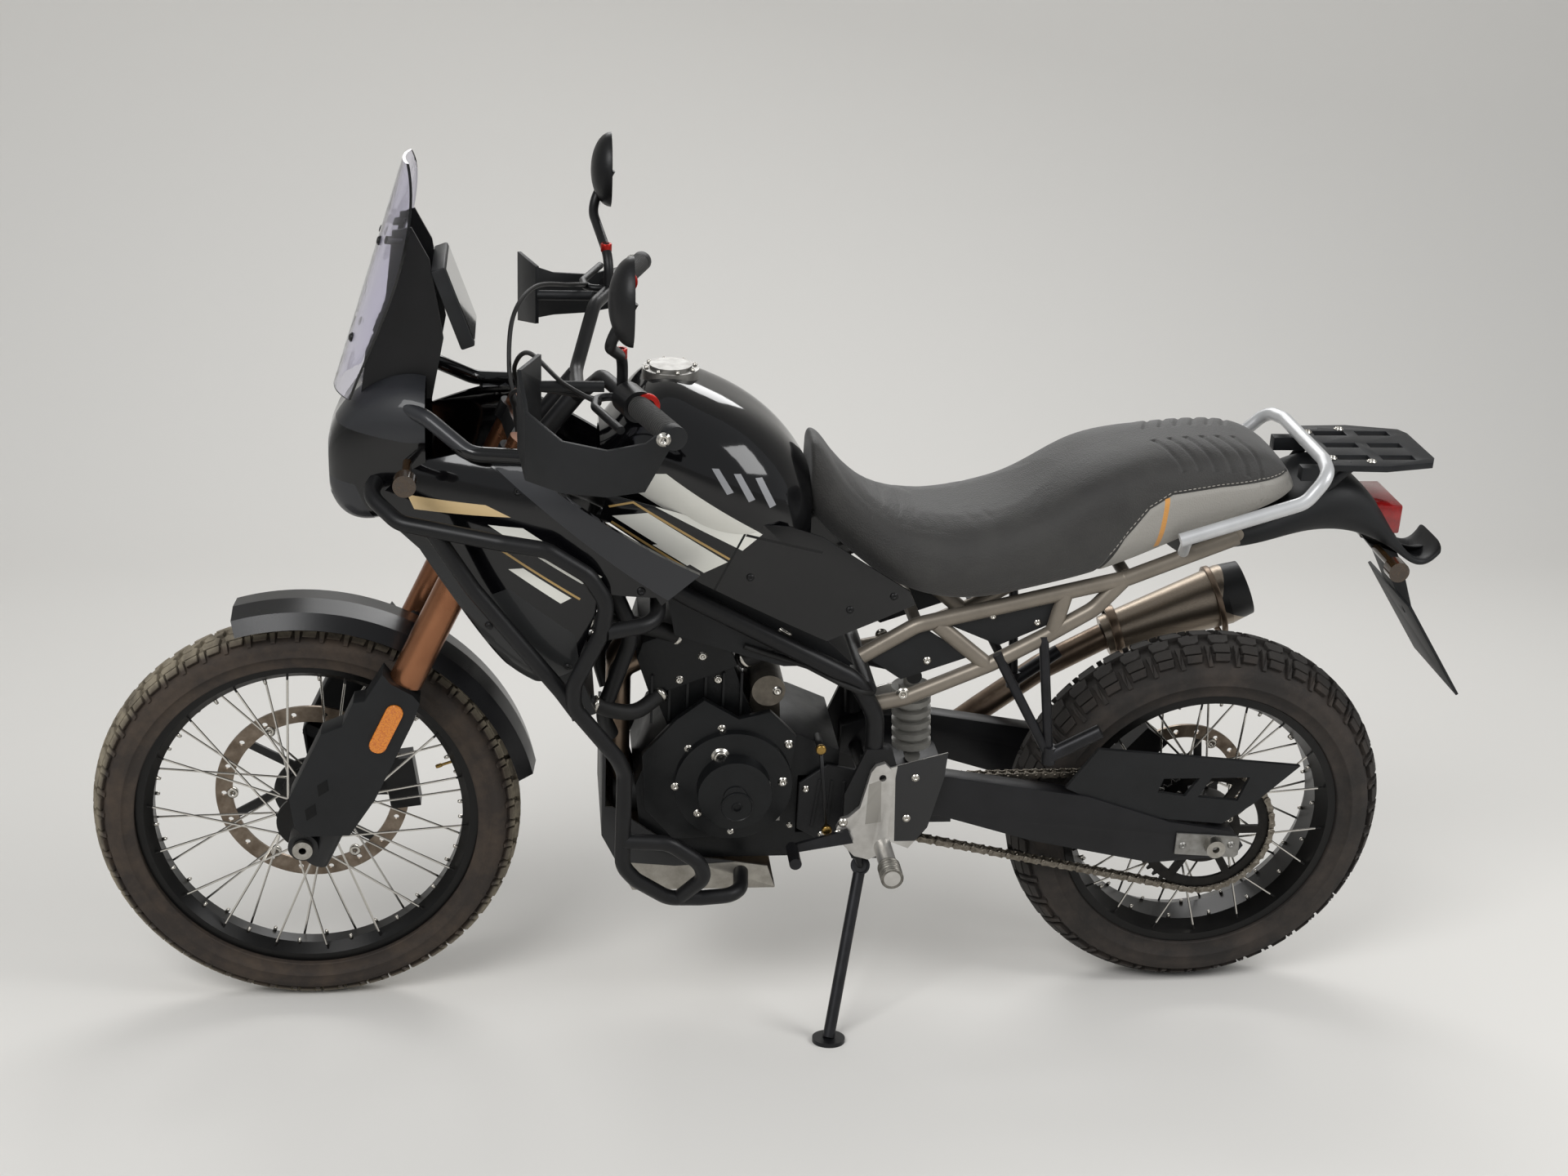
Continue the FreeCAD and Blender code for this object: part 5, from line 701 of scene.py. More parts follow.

# Grips: black rubber sleeves pushed over the bar's ends, moulded with a rib every 5 mm that breaks
# up their highlight. Painted light and shade lighten each rib's crest and darken the troughs between.
grip_rubber, tree, shader = new_material("ribbed_grip_rubber")
place = upright_place(tree)
RIB_PITCH = 0.005
run = add(tree, "ShaderNodeVectorMath", {0: place, 1: (0.0, 1.0, 0.0)},
          operation="DOT_PRODUCT").outputs["Value"]
ribs = add(tree, "ShaderNodeMath", {0: add(tree, "ShaderNodeMath", {0: run, 1: 2 * math.pi / RIB_PITCH},
           operation="MULTIPLY").outputs[0]}, operation="SINE").outputs[0]
# painted light and shade: lighter on the ribs' crests, darker in the troughs between them
tint = add(tree, "ShaderNodeMix", {0: add(tree, "ShaderNodeMapRange", {0: ribs, 1: -1.0, 2: 1.0}).outputs[0],
           6: linear("#1c1c1c"), 7: linear("#3a3937")}, data_type="RGBA").outputs[2]
tree.links.new(tint, shader.inputs["Base Color"])
shader.inputs["Roughness"].default_value = 0.75
bump = add(tree, "ShaderNodeBump", {"Height": ribs, "Strength": 1.0, "Distance": 0.0012})
tree.links.new(bump.outputs[0], shader.inputs["Normal"])
finish(grip_rubber, "grips")

# Mirror glass and display face: silvered and smoked glass bonded in the flats of their moulded cases.
# Each pane copies the flat of its case, drawn in from the rim.


def bonded_face(name, carrier, ahead, test, shrink, lift):
    """A thin pane over the flat of its case that faces one way, drawn in from the case's rim."""
    mesh = nodes[carrier].data
    turn = upright.to_3x3()
    chosen = [f for f in mesh.polygons if (turn @ f.normal).normalized().dot(ahead) > 0.93
              and test(upright @ f.center)]
    keys, points, faces = {}, [], []
    for face in chosen:
        ring = []
        for index in face.vertices:
            if index not in keys:
                keys[index] = len(points)
                points.append(upright @ mesh.vertices[index].co)
            ring.append(keys[index])
        faces.append(ring)
    middle = sum(points, Vector()) / len(points)
    points = [middle + (p - middle) * shrink + ahead * lift for p in points]
    return new_mesh(name, points, faces)


mirror_silver = surface("silvered_glass", "#c3c8cc", "#bcc1c6", 0.04, 1.0, 200, 2.0, 0.00001, 0.0, 0.0)
for side in (-1, 1):
    flats = [f for f in nodes["mirrors"].data.polygons
             if (upright @ f.center).y * side > 0.3 and (upright @ f.center).z > 1.27
             and (upright.to_3x3() @ f.normal).normalized().x > 0.6]
    facing = sum(((upright.to_3x3() @ f.normal) * f.area for f in flats), Vector()).normalized()
    glass = bonded_face("mirror_glass_%s" % ("left" if side < 0 else "right"), "mirrors", facing,
                        lambda p: p.y * side > 0.3 and p.z > 1.27, 0.9, 0.0012)
    finish(mirror_silver, glass)
    stand(glass, "front_end", "axle_steel")
flats = max(nodes["instrument_display"].data.polygons,
            key=lambda f: f.area * max((upright.to_3x3() @ f.normal).x, 0))
screen_side = (upright.to_3x3() @ flats.normal).normalized()
pane = bonded_face("display_pane", "instrument_display", screen_side, lambda p: True, 0.92, 0.0008)
display_black = surface("smoked_display_glass", "#07080b", "#0c0f14", 0.07, 0.0, 60, 2.0, 0.00001, 1.0, 0.02)
finish(display_black, pane)
stand(pane, "chassis", "display_glass")

# Screen: a formed sheet of clear acrylic with a faint violet cast. A slow haze makes its polish a
# little uneven.
acrylic, tree, shader = new_material("clear_acrylic")
haze = add(tree, "ShaderNodeTexNoise", {"Vector": upright_place(tree), "Scale": 9.0, "Detail": 4.0})
shader.inputs["Transmission Weight"].default_value = 1.0
shader.inputs["IOR"].default_value = 1.49
tint = add(tree, "ShaderNodeMix", {0: haze.outputs["Fac"], 6: linear("#f2f1fa"), 7: linear("#e6e4f4")},
           data_type="RGBA").outputs[2]
tree.links.new(tint, shader.inputs["Base Color"])
rough = add(tree, "ShaderNodeMapRange", {0: haze.outputs["Fac"], 1: 0.4, 2: 0.8, 3: 0.01, 4: 0.06})
tree.links.new(rough.outputs[0], shader.inputs["Roughness"])
finish(acrylic, "windscreen")

# Instrument case: a thin moulded ABS shell behind the glass, in satin black. Its edges are eased by
# 3 mm.
finish(surface("display_case_abs", "#151617", "#1d1e20", 0.48, 0.0, 50, 1.4, 0.00015), "instrument_display")
eased("instrument_display", 3.0, "chassis")

# Headlamp: a clear polycarbonate lens with faint waves in its tint. The projector barrels that show
# through it are in the lamps' section.
lens_glass, tree, shader = new_material("lamp_polycarbonate")
waves = add(tree, "ShaderNodeTexWave", {"Vector": upright_place(tree), "Scale": 60.0})
shader.inputs["Transmission Weight"].default_value = 0.95
shader.inputs["IOR"].default_value = 1.58
tint = add(tree, "ShaderNodeMix", {0: waves.outputs["Fac"], 6: linear("#f4f6f8"), 7: linear("#dfe4ea")},
           data_type="RGBA").outputs[2]
tree.links.new(tint, shader.inputs["Base Color"])
shader.inputs["Roughness"].default_value = 0.05
finish(lens_glass, "headlight")


# Bodywork: injection-moulded ABS panels and a pressed steel tank in gloss black lacquer, with a matte
# edge moulding down each fairing. Vinyl graphics of plain slanted bars lie under the lacquer.


def inside(material, place, outline):
    """One inside a convex outline of the side view, in millimetres, and nought outside it."""
    tree = material.node_tree
    middle = Vector((sum(p[0] for p in outline), 0, sum(p[1] for p in outline))) / len(outline)
    least = None
    for (x0, z0), (x1, z1) in zip(outline, outline[1:] + outline[:1]):
        normal = Vector((z0 - z1, 0, x1 - x0)).normalized()
        corner = Vector((x0, 0, z0))
        if (middle - corner).dot(normal) < 0:
            normal = -normal
        reach = add(tree, "ShaderNodeVectorMath", {0: place, 1: normal}, operation="DOT_PRODUCT")
        depth = add(tree, "ShaderNodeMath", {0: reach.outputs["Value"],
                                             1: corner.dot(normal) / 1000}, operation="SUBTRACT")
        least = depth.outputs[0] if least is None else add(
            tree, "ShaderNodeMath", {0: least, 1: depth.outputs[0]}, operation="MINIMUM").outputs[0]
    return add(tree, "ShaderNodeMath", {0: least, 1: 0.0}, operation="GREATER_THAN").outputs[0]


def lay_graphics(material, outlines, code, metallic, roughness, all_round=False):
    """Lays like shapes of one finish on a panel's outer side, or all round it."""
    tree = material.node_tree
    place = upright_place(tree)
    whole = None
    for outline in outlines:
        share = inside(material, place, outline)
        whole = share if whole is None else add(
            tree, "ShaderNodeMath", {0: whole, 1: share}, operation="MAXIMUM").outputs[0]
    if all_round:
        overlay(material, whole, code, metallic, roughness)
        return
    facing = add(tree, "ShaderNodeVectorMath", {0: add(tree, "ShaderNodeTexCoord").outputs["Normal"],
                                                1: (0.0, math.cos(LEAN), math.sin(LEAN))},
                 operation="DOT_PRODUCT").outputs["Value"]
    across = add(tree, "ShaderNodeVectorMath", {0: place, 1: (0.0, 1.0, 0.0)},
                 operation="DOT_PRODUCT").outputs["Value"]
    both = add(tree, "ShaderNodeMath", {0: facing, 1: across}, operation="MULTIPLY").outputs[0]
    outer = add(tree, "ShaderNodeMath", {0: both, 1: 0.0}, operation="GREATER_THAN").outputs[0]
    whole = add(tree, "ShaderNodeMath", {0: whole, 1: outer}, operation="MULTIPLY").outputs[0]
    overlay(material, whole, code, metallic, roughness)


white_bars = [[(476, 985), (566, 1001), (716, 902), (676, 866), (520, 962)],
              [(486, 930), (540, 936), (664, 856), (628, 838)],
              [(548, 884), (580, 888), (622, 860), (602, 850)]]
# the fork's feet are painted black below the chromed legs
lay_graphics(fork_chrome, [[(-60, 250), (240, 250), (240, 450), (-60, 450)]], "#141415", 0.1, 0.42, True)
gold_lines = [[(480, 946), (518, 954), (520, 951), (482, 943)],
              [(518, 954), (668, 862), (666, 859), (516, 951)],
              [(486, 922), (622, 834), (620, 831), (484, 919)]]
tank_gloss = surface("tank_lacquer", "#050506", "#08080a", 0.08, 0.0, 260, 3.0, 0.00002, 0.3, 0.03)
lay_graphics(tank_gloss, [[(634 + 34 * k, 1012 - 10 * k), (645 + 34 * k, 1011 - 10 * k),
                           (668 + 34 * k, 975 - 14 * k), (658 + 34 * k, 972 - 14 * k)]
                          for k in range(3)], "#8e8f92", 0.0, 0.3)
lay_graphics(tank_gloss, white_bars, "#d9d8d0", 0.0, 0.32)
finish(tank_gloss, "fuel_tank")
panel_gloss = surface("panel_lacquer", "#060607", "#0a0a0b", 0.12, 0.0, 260, 3.0, 0.00002, 0.3, 0.04)
lay_graphics(panel_gloss, [[(690, 905), (640, 800), (700, 700), (980, 700), (980, 800), (800, 900)]],
             "#0c0c0d", 0.0, 0.26)
lay_graphics(panel_gloss, white_bars, "#d9d8d0", 0.0, 0.32)
# thin near-black lines along the panel's seams: painted shade in the gaps between its parts
lay_graphics(panel_gloss, [[(693, 907), (689, 907), (639, 800), (643, 800)],
                           [(692, 903), (690, 899), (810, 868), (812, 872)],
                           [(640, 803), (642, 799), (716, 752), (718, 756)]], "#020202", 0.0, 0.8)
lay_graphics(panel_gloss, gold_lines, "#a98c58", 0.2, 0.35)
finish(panel_gloss, "tank_panels")
eased("tank_panels", 1.4, "chassis")
fairing_gloss = surface("fairing_lacquer", "#050506", "#08080a", 0.10, 0.0, 260, 3.0, 0.00002, 0.3, 0.03)
lay_graphics(fairing_gloss, [[(283, 1040), (335, 1040), (640, 850), (580, 806)]], "#26272a", 0.0, 0.5)
lay_graphics(fairing_gloss, [[(255, 790), (365, 625), (440, 690), (430, 760), (330, 830)],
                             [(190, 880), (262, 790), (300, 800), (230, 880)]], "#1a1b1c", 0.0, 0.55)
lay_graphics(fairing_gloss, [[(300, 930), (352, 930), (470, 858), (440, 846)],
                             [(330, 862), (352, 866), (424, 822), (408, 812)]], "#d9d8d0", 0.0, 0.32)
lay_graphics(fairing_gloss, [[(300, 906), (438, 822), (436, 819), (298, 903)]], "#a98c58", 0.2, 0.35)
lay_graphics(fairing_gloss, [[(180, 959), (297, 960), (334, 945), (190, 938)]], "#cbb184", 0.0, 0.38)
finish(fairing_gloss, "side_fairings")
cowl_gloss = surface("cowl_lacquer", "#060607", "#0a0a0b", 0.12, 0.0, 260, 3.0, 0.00002, 0.3, 0.04)
lay_graphics(cowl_gloss, [[(40, 1140), (40, 1050), (180, 1040), (400, 1060), (400, 1140)],
                          [(40, 960), (40, 860), (140, 870), (100, 960)]], "#212225", 0.0, 0.5)
finish(cowl_gloss, "front_cowl")

# Fuel cap: a cap of satin machined aluminium in the tank's crown, with eight small plated screws
# round it.
cap_alloy = surface("satin_machined_aluminium", "#9a9996", "#82807c", 0.42, 1.0, 14, 0.4, 0.00008)
finish(cap_alloy, "fuel_cap")
ring = []
cap_low, cap_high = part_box("fuel_cap")
cap_middle = upright @ ((cap_low + cap_high) / 2)
for number in range(8):
    angle = math.radians(45 * number + 12)
    ring.append(socket_bolt("screw", Vector((cap_middle.x + 0.039 * math.cos(angle),
                                             0.039 * math.sin(angle), 1.1195)), (0, 0, 1), 2.6, 3.0))
assemble("fuel_cap_screws", ring, nickel, "chassis", "axle_steel")

# Seat: moulded foam under grained vinyl, pumped out by its foam, with a light-grey panel round the
# passenger's part, an orange tab in its seam and six V-shaped sewn channels across its top.


def tube_mesh(name, path, radius, sides=12):
    """A round tube along a list of points, closed at both ends."""
    points, faces = [], []
    frame_up = Vector((0.1, 0.2, 1.0))
    for k, here in enumerate(path):
        run = (path[min(k + 1, len(path) - 1)] - path[max(k - 1, 0)]).normalized()
        across = run.cross(frame_up).normalized()
        other = run.cross(across)
        wide = radius[k] if isinstance(radius, (list, tuple)) else radius
        points += [here + (across * math.cos(a) + other * math.sin(a)) * wide
                   for a in (2 * math.pi * j / sides for j in range(sides))]
    for k in range(len(path) - 1):
        for j in range(sides):
            n = (j + 1) % sides
            faces.append((k * sides + j, k * sides + n, (k + 1) * sides + n, (k + 1) * sides + j))
    faces.append(tuple(reversed(range(sides))))
    faces.append(tuple(range(len(points) - sides, len(points))))
    piece = new_mesh(name, points, faces)
    for face in piece.data.polygons[:-2]:
        face.use_smooth = True
    return piece


PUMP_FRAMES, PUMP_CAP, FOAM_SHRINK, SEAT_VOXEL = 20, 0.022, 0.0035, 0.005
seat_cover = new_mesh("seat_cover", [upright @ v.co for v in nodes["seat"].data.vertices],
                      [tuple(f.vertices) for f in nodes["seat"].data.polygons])
remesh = seat_cover.modifiers.new("voxels", "REMESH")
remesh.mode, remesh.voxel_size = "VOXEL", SEAT_VOXEL
seen = bpy.context.evaluated_depsgraph_get()
fine = bpy.data.meshes.new_from_object(seat_cover.evaluated_get(seen))
seat_cover.modifiers.clear()
seat_cover.data = fine
skin = [v.co.copy() for v in fine.vertices]
lift = [v.normal.copy() for v in fine.vertices]
for v, normal in zip(fine.vertices, lift):
    v.co -= normal * FOAM_SHRINK
cloth = seat_cover.modifiers.new("foam", "CLOTH")
cloth.settings.use_pressure = True
cloth.settings.uniform_pressure_force = 4.0
cloth.settings.effector_weights.gravity = 0.0
cloth.point_cache.frame_start, cloth.point_cache.frame_end = 1, PUMP_FRAMES
for number in range(1, PUMP_FRAMES + 1):
    bpy.context.scene.frame_set(number)
seen = bpy.context.evaluated_depsgraph_get()
pumped = bpy.data.meshes.new_from_object(seat_cover.evaluated_get(seen))
seat_cover.modifiers.clear()
for v, other, first, normal in zip(fine.vertices, pumped.vertices, skin, lift):
    swell = max(0.0, min((other.co - v.co).dot(normal), PUMP_CAP))
    free = min(max((normal.z + 0.25) / 0.5, 0.0), 1.0)
    v.co = first + normal * ((swell / PUMP_CAP * 2 - 1) * FOAM_SHRINK * free)
bpy.context.scene.frame_set(1)
smooth = seat_cover.modifiers.new("smooth", "SUBSURF")
smooth.levels = smooth.render_levels = 1
seen = bpy.context.evaluated_depsgraph_get()
fine = bpy.data.meshes.new_from_object(seat_cover.evaluated_get(seen))
seat_cover.modifiers.clear()
seat_cover.data = fine
panel_seam = [(1246, 800), (1271, 859), (1299, 901), (1328, 935), (1365, 956), (1443, 966), (1590, 976)]


def seam_depth(point):
    """How deep sewing draws the cover in at a point, from nought to one."""
    x, y, z = point.x * 1000, abs(point.y) * 1000, point.z * 1000
    near = 1e9
    if y > 70:
        for (x0, z0), (x1, z1) in zip(panel_seam, panel_seam[1:]):
            run = Vector((x1 - x0, z1 - z0))
            share = min(max(Vector((x - x0, z - z0)).dot(run) / run.length_squared, 0), 1)
            near = min(near, (Vector((x - x0, z - z0)) - run * share).length)
    if 25 < y < 112 and z > 940:
        for number in range(6):
            near = min(near, abs(x - (1352 + 26 * number + 0.35 * (y - 25))) * 0.94)
    return math.exp(-(near / 3.4) ** 2) if near < 14 else 0.0


for v, normal in zip(fine.vertices, [v.normal.copy() for v in fine.vertices]):
    v.co -= normal * 0.0028 * seam_depth(v.co)
for face in fine.polygons:
    face.use_smooth = True
# grained vinyl: 2.4 mm pebbles in low relief that break the highlight, drawn coarse enough to show
vinyl = surface("grained_vinyl", "#2c2b2a", "#363533", 0.58, 0.0, 60, 3.0, 0.0001)
tree = vinyl.node_tree
place = upright_place(tree)
pebbles = add(tree, "ShaderNodeTexVoronoi", {"Vector": place, "Scale": 1000 / 2.4}).outputs["Distance"]
wide = add(tree, "ShaderNodeTexNoise", {"Vector": place, "Scale": 28.0, "Detail": 3.0}).outputs["Fac"]
height = add(tree, "ShaderNodeMath", {0: wide, 1: 1.5, 2: pebbles}, operation="MULTIPLY_ADD").outputs[0]
bump = add(tree, "ShaderNodeBump", {"Height": height, "Strength": 0.7, "Distance": 0.0007})
tree.links.new(bump.outputs[0], tree.nodes["Principled BSDF"].inputs["Normal"])
tree.nodes["Principled BSDF"].inputs["Sheen Weight"].default_value = 0.15
lay_graphics(vinyl, [[(1240, 780), (1246, 800), (1290, 889), (1328, 935), (1400, 830)],
                     [(1328, 935), (1365, 956), (1443, 966), (1600, 977), (1600, 860), (1380, 830)]],
             "#8f8c86", 0.0, 0.55)
lay_graphics(vinyl, [[(1352, 950), (1360, 952), (1352, 868), (1343, 866)]], "#c08a4a", 0.0, 0.5)
finish(vinyl, seat_cover)
stand(seat_cover, "chassis", "seat_vinyl", "seat")
threads = []
for (x0, z0), (x1, z1) in zip(panel_seam[1:], panel_seam[2:]):
    run = Vector((x1 - x0, z1 - z0))
    count = int(run.length / 7.5)
    for number in range(count):
        for side in (-1, 1):
            ends = []
            for share in (0.1, 0.75):
                place = Vector((x0, z0)) + run * (number + share) / count
                place += Vector((-run.y, run.x)).normalized() * 5.0
                start = stance @ at(place.x, side * 400, place.y)
                hit, met, normal, face = seat_cover.ray_cast(start, stance.to_3x3() @ Vector((0, -side, 0)))
                if hit:
                    ends.append(upright @ (met + normal * 0.0002))
            if len(ends) == 2 and (ends[1] - ends[0]).length < 0.012:
                threads.append(tube_mesh("thread", [ends[0], ends[0].lerp(ends[1], 0.5), ends[1]],
                                         [0.0004, 0.0007, 0.0004], 6))
whole = join("seat_stitching", threads)
finish(surface("waxed_thread", "#b3aea6", "#9a958d", 0.7, 0.0, 6, 0.5, 0.0001), whole)
stand(whole, "chassis", "seat_vinyl")

# Engine: black-painted castings round the heavy inner mass, closed by bright flanged bolts, with a
# threaded plug in the alternator's round cover.
cast_black = surface("black_engine_paint", "#0c0d0e", "#141516", 0.38, 0.2, 34, 2.0, 0.0003, worn=0.1)
finish(cast_black, "engine_block", "cylinder_head")
cover_black = surface("satin_cover_paint", "#111213", "#18191a", 0.34, 0.3, 50, 1.6, 0.0002, worn=0.08)
finish(cover_black, "engine_covers")
eased("engine_covers", 2.2, "chassis")
eased("engine_block", 3.0, "chassis")
eased("cylinder_head", 3.0, "chassis")
finish(surface("cast_aluminium", "#6d675e", "#57524b", 0.38, 0.9, 20, 1.4, 0.0003), "starter_motor")


skins = {}


def touch(start, toward, *names):
    """The nearest place where a line from a point in the upright frame meets one of the pieces."""
    best = None
    for name in names:
        if name not in skins:
            mesh = nodes[name].data
            skins[name] = BVHTree.FromPolygons([v.co for v in mesh.vertices],
                                               [tuple(f.vertices) for f in mesh.polygons])
        place, normal, face, reach = skins[name].ray_cast(stance @ start,
                                                          stance.to_3x3() @ Vector(toward))
        if place and (best is None or reach < best[2]):
            best = upright @ place, upright.to_3x3() @ normal, reach
    return best


engine_parts = ("engine_block", "cylinder_head", "engine_covers", "starter_motor")
bolts = []
for back, height, head in ((616, 510, 5), (595, 450, 5), (633, 400, 5), (669, 546, 5), (709, 591, 5.5),
                           (758, 606, 6), (778, 561, 6), (779, 516, 6), (770, 456, 6), (688, 365, 4),
                           (734, 352, 4), (789, 358, 4), (600, 624, 5.5), (663, 621, 6),
                           (636, 666, 6), (575, 555, 10), (667, 504, 11), (773, 614, 5)):
    for side in (-1, 1):
        met = touch(Vector((back / 1000, side * 0.6, height / 1000)), (0, -side, 0), *engine_parts)
        if met:
            bolts.append(socket_bolt("bolt", met[0] - Vector((0, side * 0.001, 0)), (0, side, 0),
                                     head, head * 0.8))
assemble("engine_bolts", bolts, nickel, "chassis", "axle_steel")
met = touch(Vector((0.693, -0.6, 0.431)), (0, 1, 0), "engine_covers")
plug = lathe("cover_plug", met[0] + Vector((0, 0.001, 0)), (0, -1, 0),
             [(0, 0), (26, 0), (26, 3.2), (24.5, 4), (23.5, 3.2), (22, 3.4), (9, 3.8), (8, 5.5),
              (6.5, 5.6), (6, 1.5), (0, 1.2)], 40)
finish(cover_black, plug)
stand(plug, "chassis", "cover_alloy")

# Cooling and breathing: ribbed rubber hoses on bright worm clamps between radiator, head and air
# box, a turned oil filter ahead of the sump, and the wiring loom tied along the frame's spar.
rubber_black = surface("moulded_hose_rubber", "#121212", "#1c1b1a", 0.55, 0.0, 30, 1.4, 0.0002)


def hose_with_clamps(route, radius):
    """A hose along a route in millimetres, with a worm clamp near each end."""
    line = [Vector(q) / 1000 for q in route]
    steps = []
    for first, second, third in zip([line[0]] + line[:-1], line, line[1:] + [line[-1]]):
        for share in (0.0, 0.25, 0.5, 0.75):
            start, end = (first + second) / 2, (second + third) / 2
            steps.append(start.lerp(second, share).lerp(second.lerp(end, share), share))
    steps.append(line[-1])
    body = tube_mesh("hose", steps, radius / 1000, 16)
    bands = []
    for spot, ahead in ((steps[3], steps[5]), (steps[-4], steps[-6])):
        run = (ahead - spot).normalized()
        bands.append(lathe("clamp", spot, run, [(radius - 1, -4), (radius + 1.6, -4),
                                                (radius + 1.6, 4), (radius - 1, 4)], 24))
    return body, bands


bodies, bands = [], []
for route, radius in (
        (((455, -120, 600), (490, -122, 585), (530, -112, 575), (560, -92, 590), (575, -84, 600)), 13),
        (((440, -120, 745), (490, -112, 735), (540, -96, 722), (580, -84, 705), (600, -76, 690)), 14),
        (((455, 120, 600), (495, 122, 590), (535, 112, 580), (560, 92, 590), (575, 84, 600)), 13),
        (((700, -70, 650), (726, -86, 668), (752, -92, 690), (770, -90, 720)), 16),
        (((690, 70, 650), (716, 86, 668), (742, 92, 690), (760, 90, 720)), 16)):
    body, pair = hose_with_clamps(route, radius)
    bodies.append(body)
    bands += pair
assemble("engine_hoses", bodies, rubber_black, "chassis", "grip_rubber")
assemble("hose_clamps", bands, nickel, "chassis", "axle_steel")
filter_body = lathe("oil_filter", at(548, -38, 395), (-1, 0, 0),
                    [(0, -20), (33, -20), (33, 38), (31, 42), (29, 43), (28, 50), (20, 53), (12, 54),
                     (11, 50), (0, 50)], 32)
finish(rubber_black, filter_body)
stand(filter_body, "chassis", "engine_black")
looms = []
for side in (-1, 1):
    line = []
    for share in range(9):
        back = 700 + 26 * share
        met = touch(at(back, side * 600, 690 - 9 * share), (0, -side, 0), "main_frame", "cylinder_head",
                    "airbox", "engine_block")
        if met:
            line.append(met[0] + Vector((0, side * 0.004, 0)))
    if len(line) > 3:
        looms.append(tube_mesh("loom", line, 0.0045, 10))
if looms:
    assemble("wiring_loom", looms, rubber_black, "chassis", "grip_rubber")

# Head ribs: six cast webs on each side that stiffen the cylinder block, in the castings' black. Each
# is seated on the casting's own face.
ribs = []
for number in range(6):
    back = 556 + 29 * number
    for side in (-1, 1):
        met = touch(Vector((back / 1000, side * 0.6, 0.60)), (0, -side, 0), "cylinder_head")
        if met:
            outer = met[0].y * 1000
            ribs.append(plate_mesh("rib", [(back - 2, 548), (back + 2, 548), (back + 2, 634),
                                           (back - 2, 634)], outer - side * 3, outer + side * 4))
assemble("cylinder_head_ribs", ribs, cast_black, "chassis", "engine_black")


# Mirror stalk and throttle collars: rings of red anodised aluminium, turned with chamfered edges.
# They mark the adjusting joints.
red_anodised = surface("red_anodising", "#b5231b", "#9a1c16", 0.3, 0.7, 20, 0.6, 0.00005)
band = [upright @ v.co for v in nodes["mirrors"].data.vertices]
rings = []
for side in (-1, 1):
    slice_of_stalk = [q for q in band if q.y * side > 0 and 1.225 < q.z < 1.262]
    if slice_of_stalk:
        low = min(slice_of_stalk, key=lambda q: q.z)
        near = [q for q in slice_of_stalk if q.z < low.z + 0.012]
        middle = sum(near, Vector()) / len(near)
        rings.append(lathe("collar", middle, (0, 0, 1),
                           [(6.0, -7), (8.6, -7), (9.2, -6), (9.2, 6), (8.6, 7), (6.0, 7)], 24))
grip_ends = [upright @ v.co for v in nodes["grips"].data.vertices]
for side in (-1, 1):
    inner = min(abs(q.y) for q in grip_ends if q.y * side > 0)
    near = [q for q in grip_ends if q.y * side > 0 and abs(q.y) < inner + 0.004]
    outer = [q for q in grip_ends if q.y * side > 0 and abs(q.y) > inner + 0.10]
    middle, far = sum(near, Vector()) / len(near), sum(outer, Vector()) / len(outer)
    rings.append(lathe("collar", middle, far - middle,
                       [(12, -3), (18.5, -3), (19.5, -2), (19.5, 3), (18.5, 4), (12, 4)], 28))
assemble("red_collars", rings, red_anodised, "front_end", "amber_lens")

# Bar ends and guard bolts: plated screws that clamp the hand guards to the bar's ends, one on each
# side.
screws = []
for side in (-1, 1):
    far = max((q for q in grip_ends if q.y * side > 0), key=lambda q: abs(q.y))
    end = [q for q in grip_ends if abs(q.y - far.y) < 0.003]
    middle = sum(end, Vector()) / len(end)
    met = touch(Vector((middle.x, side * 0.7, middle.z)), (0, -side, 0), "hand_guards", "grips",
                "handlebar")
    if met:
        screws.append(socket_bolt("screw", met[0], (0, side, 0), 7.5, 5))
assemble("bar_end_screws", screws, nickel, "front_end", "axle_steel")

# Hoses and cables on the bars: black rubber over braid. Three run from the bars to the upper clamp,
# and the brake line goes down the right fork leg to its caliper.


def smooth_run(corners, steps=10):
    """A smooth line through points in millimetres."""
    line = []
    ends = [corners[0]] + corners + [corners[-1]]
    for k in range(len(corners) - 1):
        a, b, c, d = (Vector(q) for q in ends[k:k + 4])
        for number in range(steps):
            t = number / steps
            line.append(((2 * b) + (c - a) * t + (2 * a - 5 * b + 4 * c - d) * t * t
                         + (3 * b - a - 3 * c + d) * t ** 3) / 2000)
    return line + [Vector(corners[-1]) / 1000]


hose_rubber = surface("hose_rubber", "#131313", "#1e1d1c", 0.5, 0.0, 24, 1.2, 0.0002)
runs = [[(460, 297, 1165), (430, 210, 1188), (372, 110, 1212), (338, 20, 1190), (332, -30, 1120),
         (344, -52, 1062), (343, -58, 1014)],
        [(460, -300, 1165), (420, -230, 1150), (365, -150, 1130), (336, -80, 1100), (340, -46, 1062),
         (345, -39, 1014)],
        [(460, -309, 1162), (410, -250, 1172), (362, -120, 1176), (340, -10, 1120), (346, 30, 1066),
         (345, 42, 1014)]]
brake_line = [fork_place(along, ahead, side) for along, ahead, side in (
    (760, -26, 66), (700, -24, 64), (640, -30, 70), (500, -46, 94), (380, -46, 100), (290, -44, 98),
    (215, -46, 92))]
brake_line += [Vector((122, 88, 436)), Vector((120, 82, 409))]
hoses = [tube_mesh("hose", smooth_run(run), 0.0036, 10) for run in runs]
hoses.append(tube_mesh("hose", smooth_run([tuple(q) for q in brake_line]), 0.0032, 10))
assemble("bar_hoses", hoses, hose_rubber, "front_end", "grip_rubber")

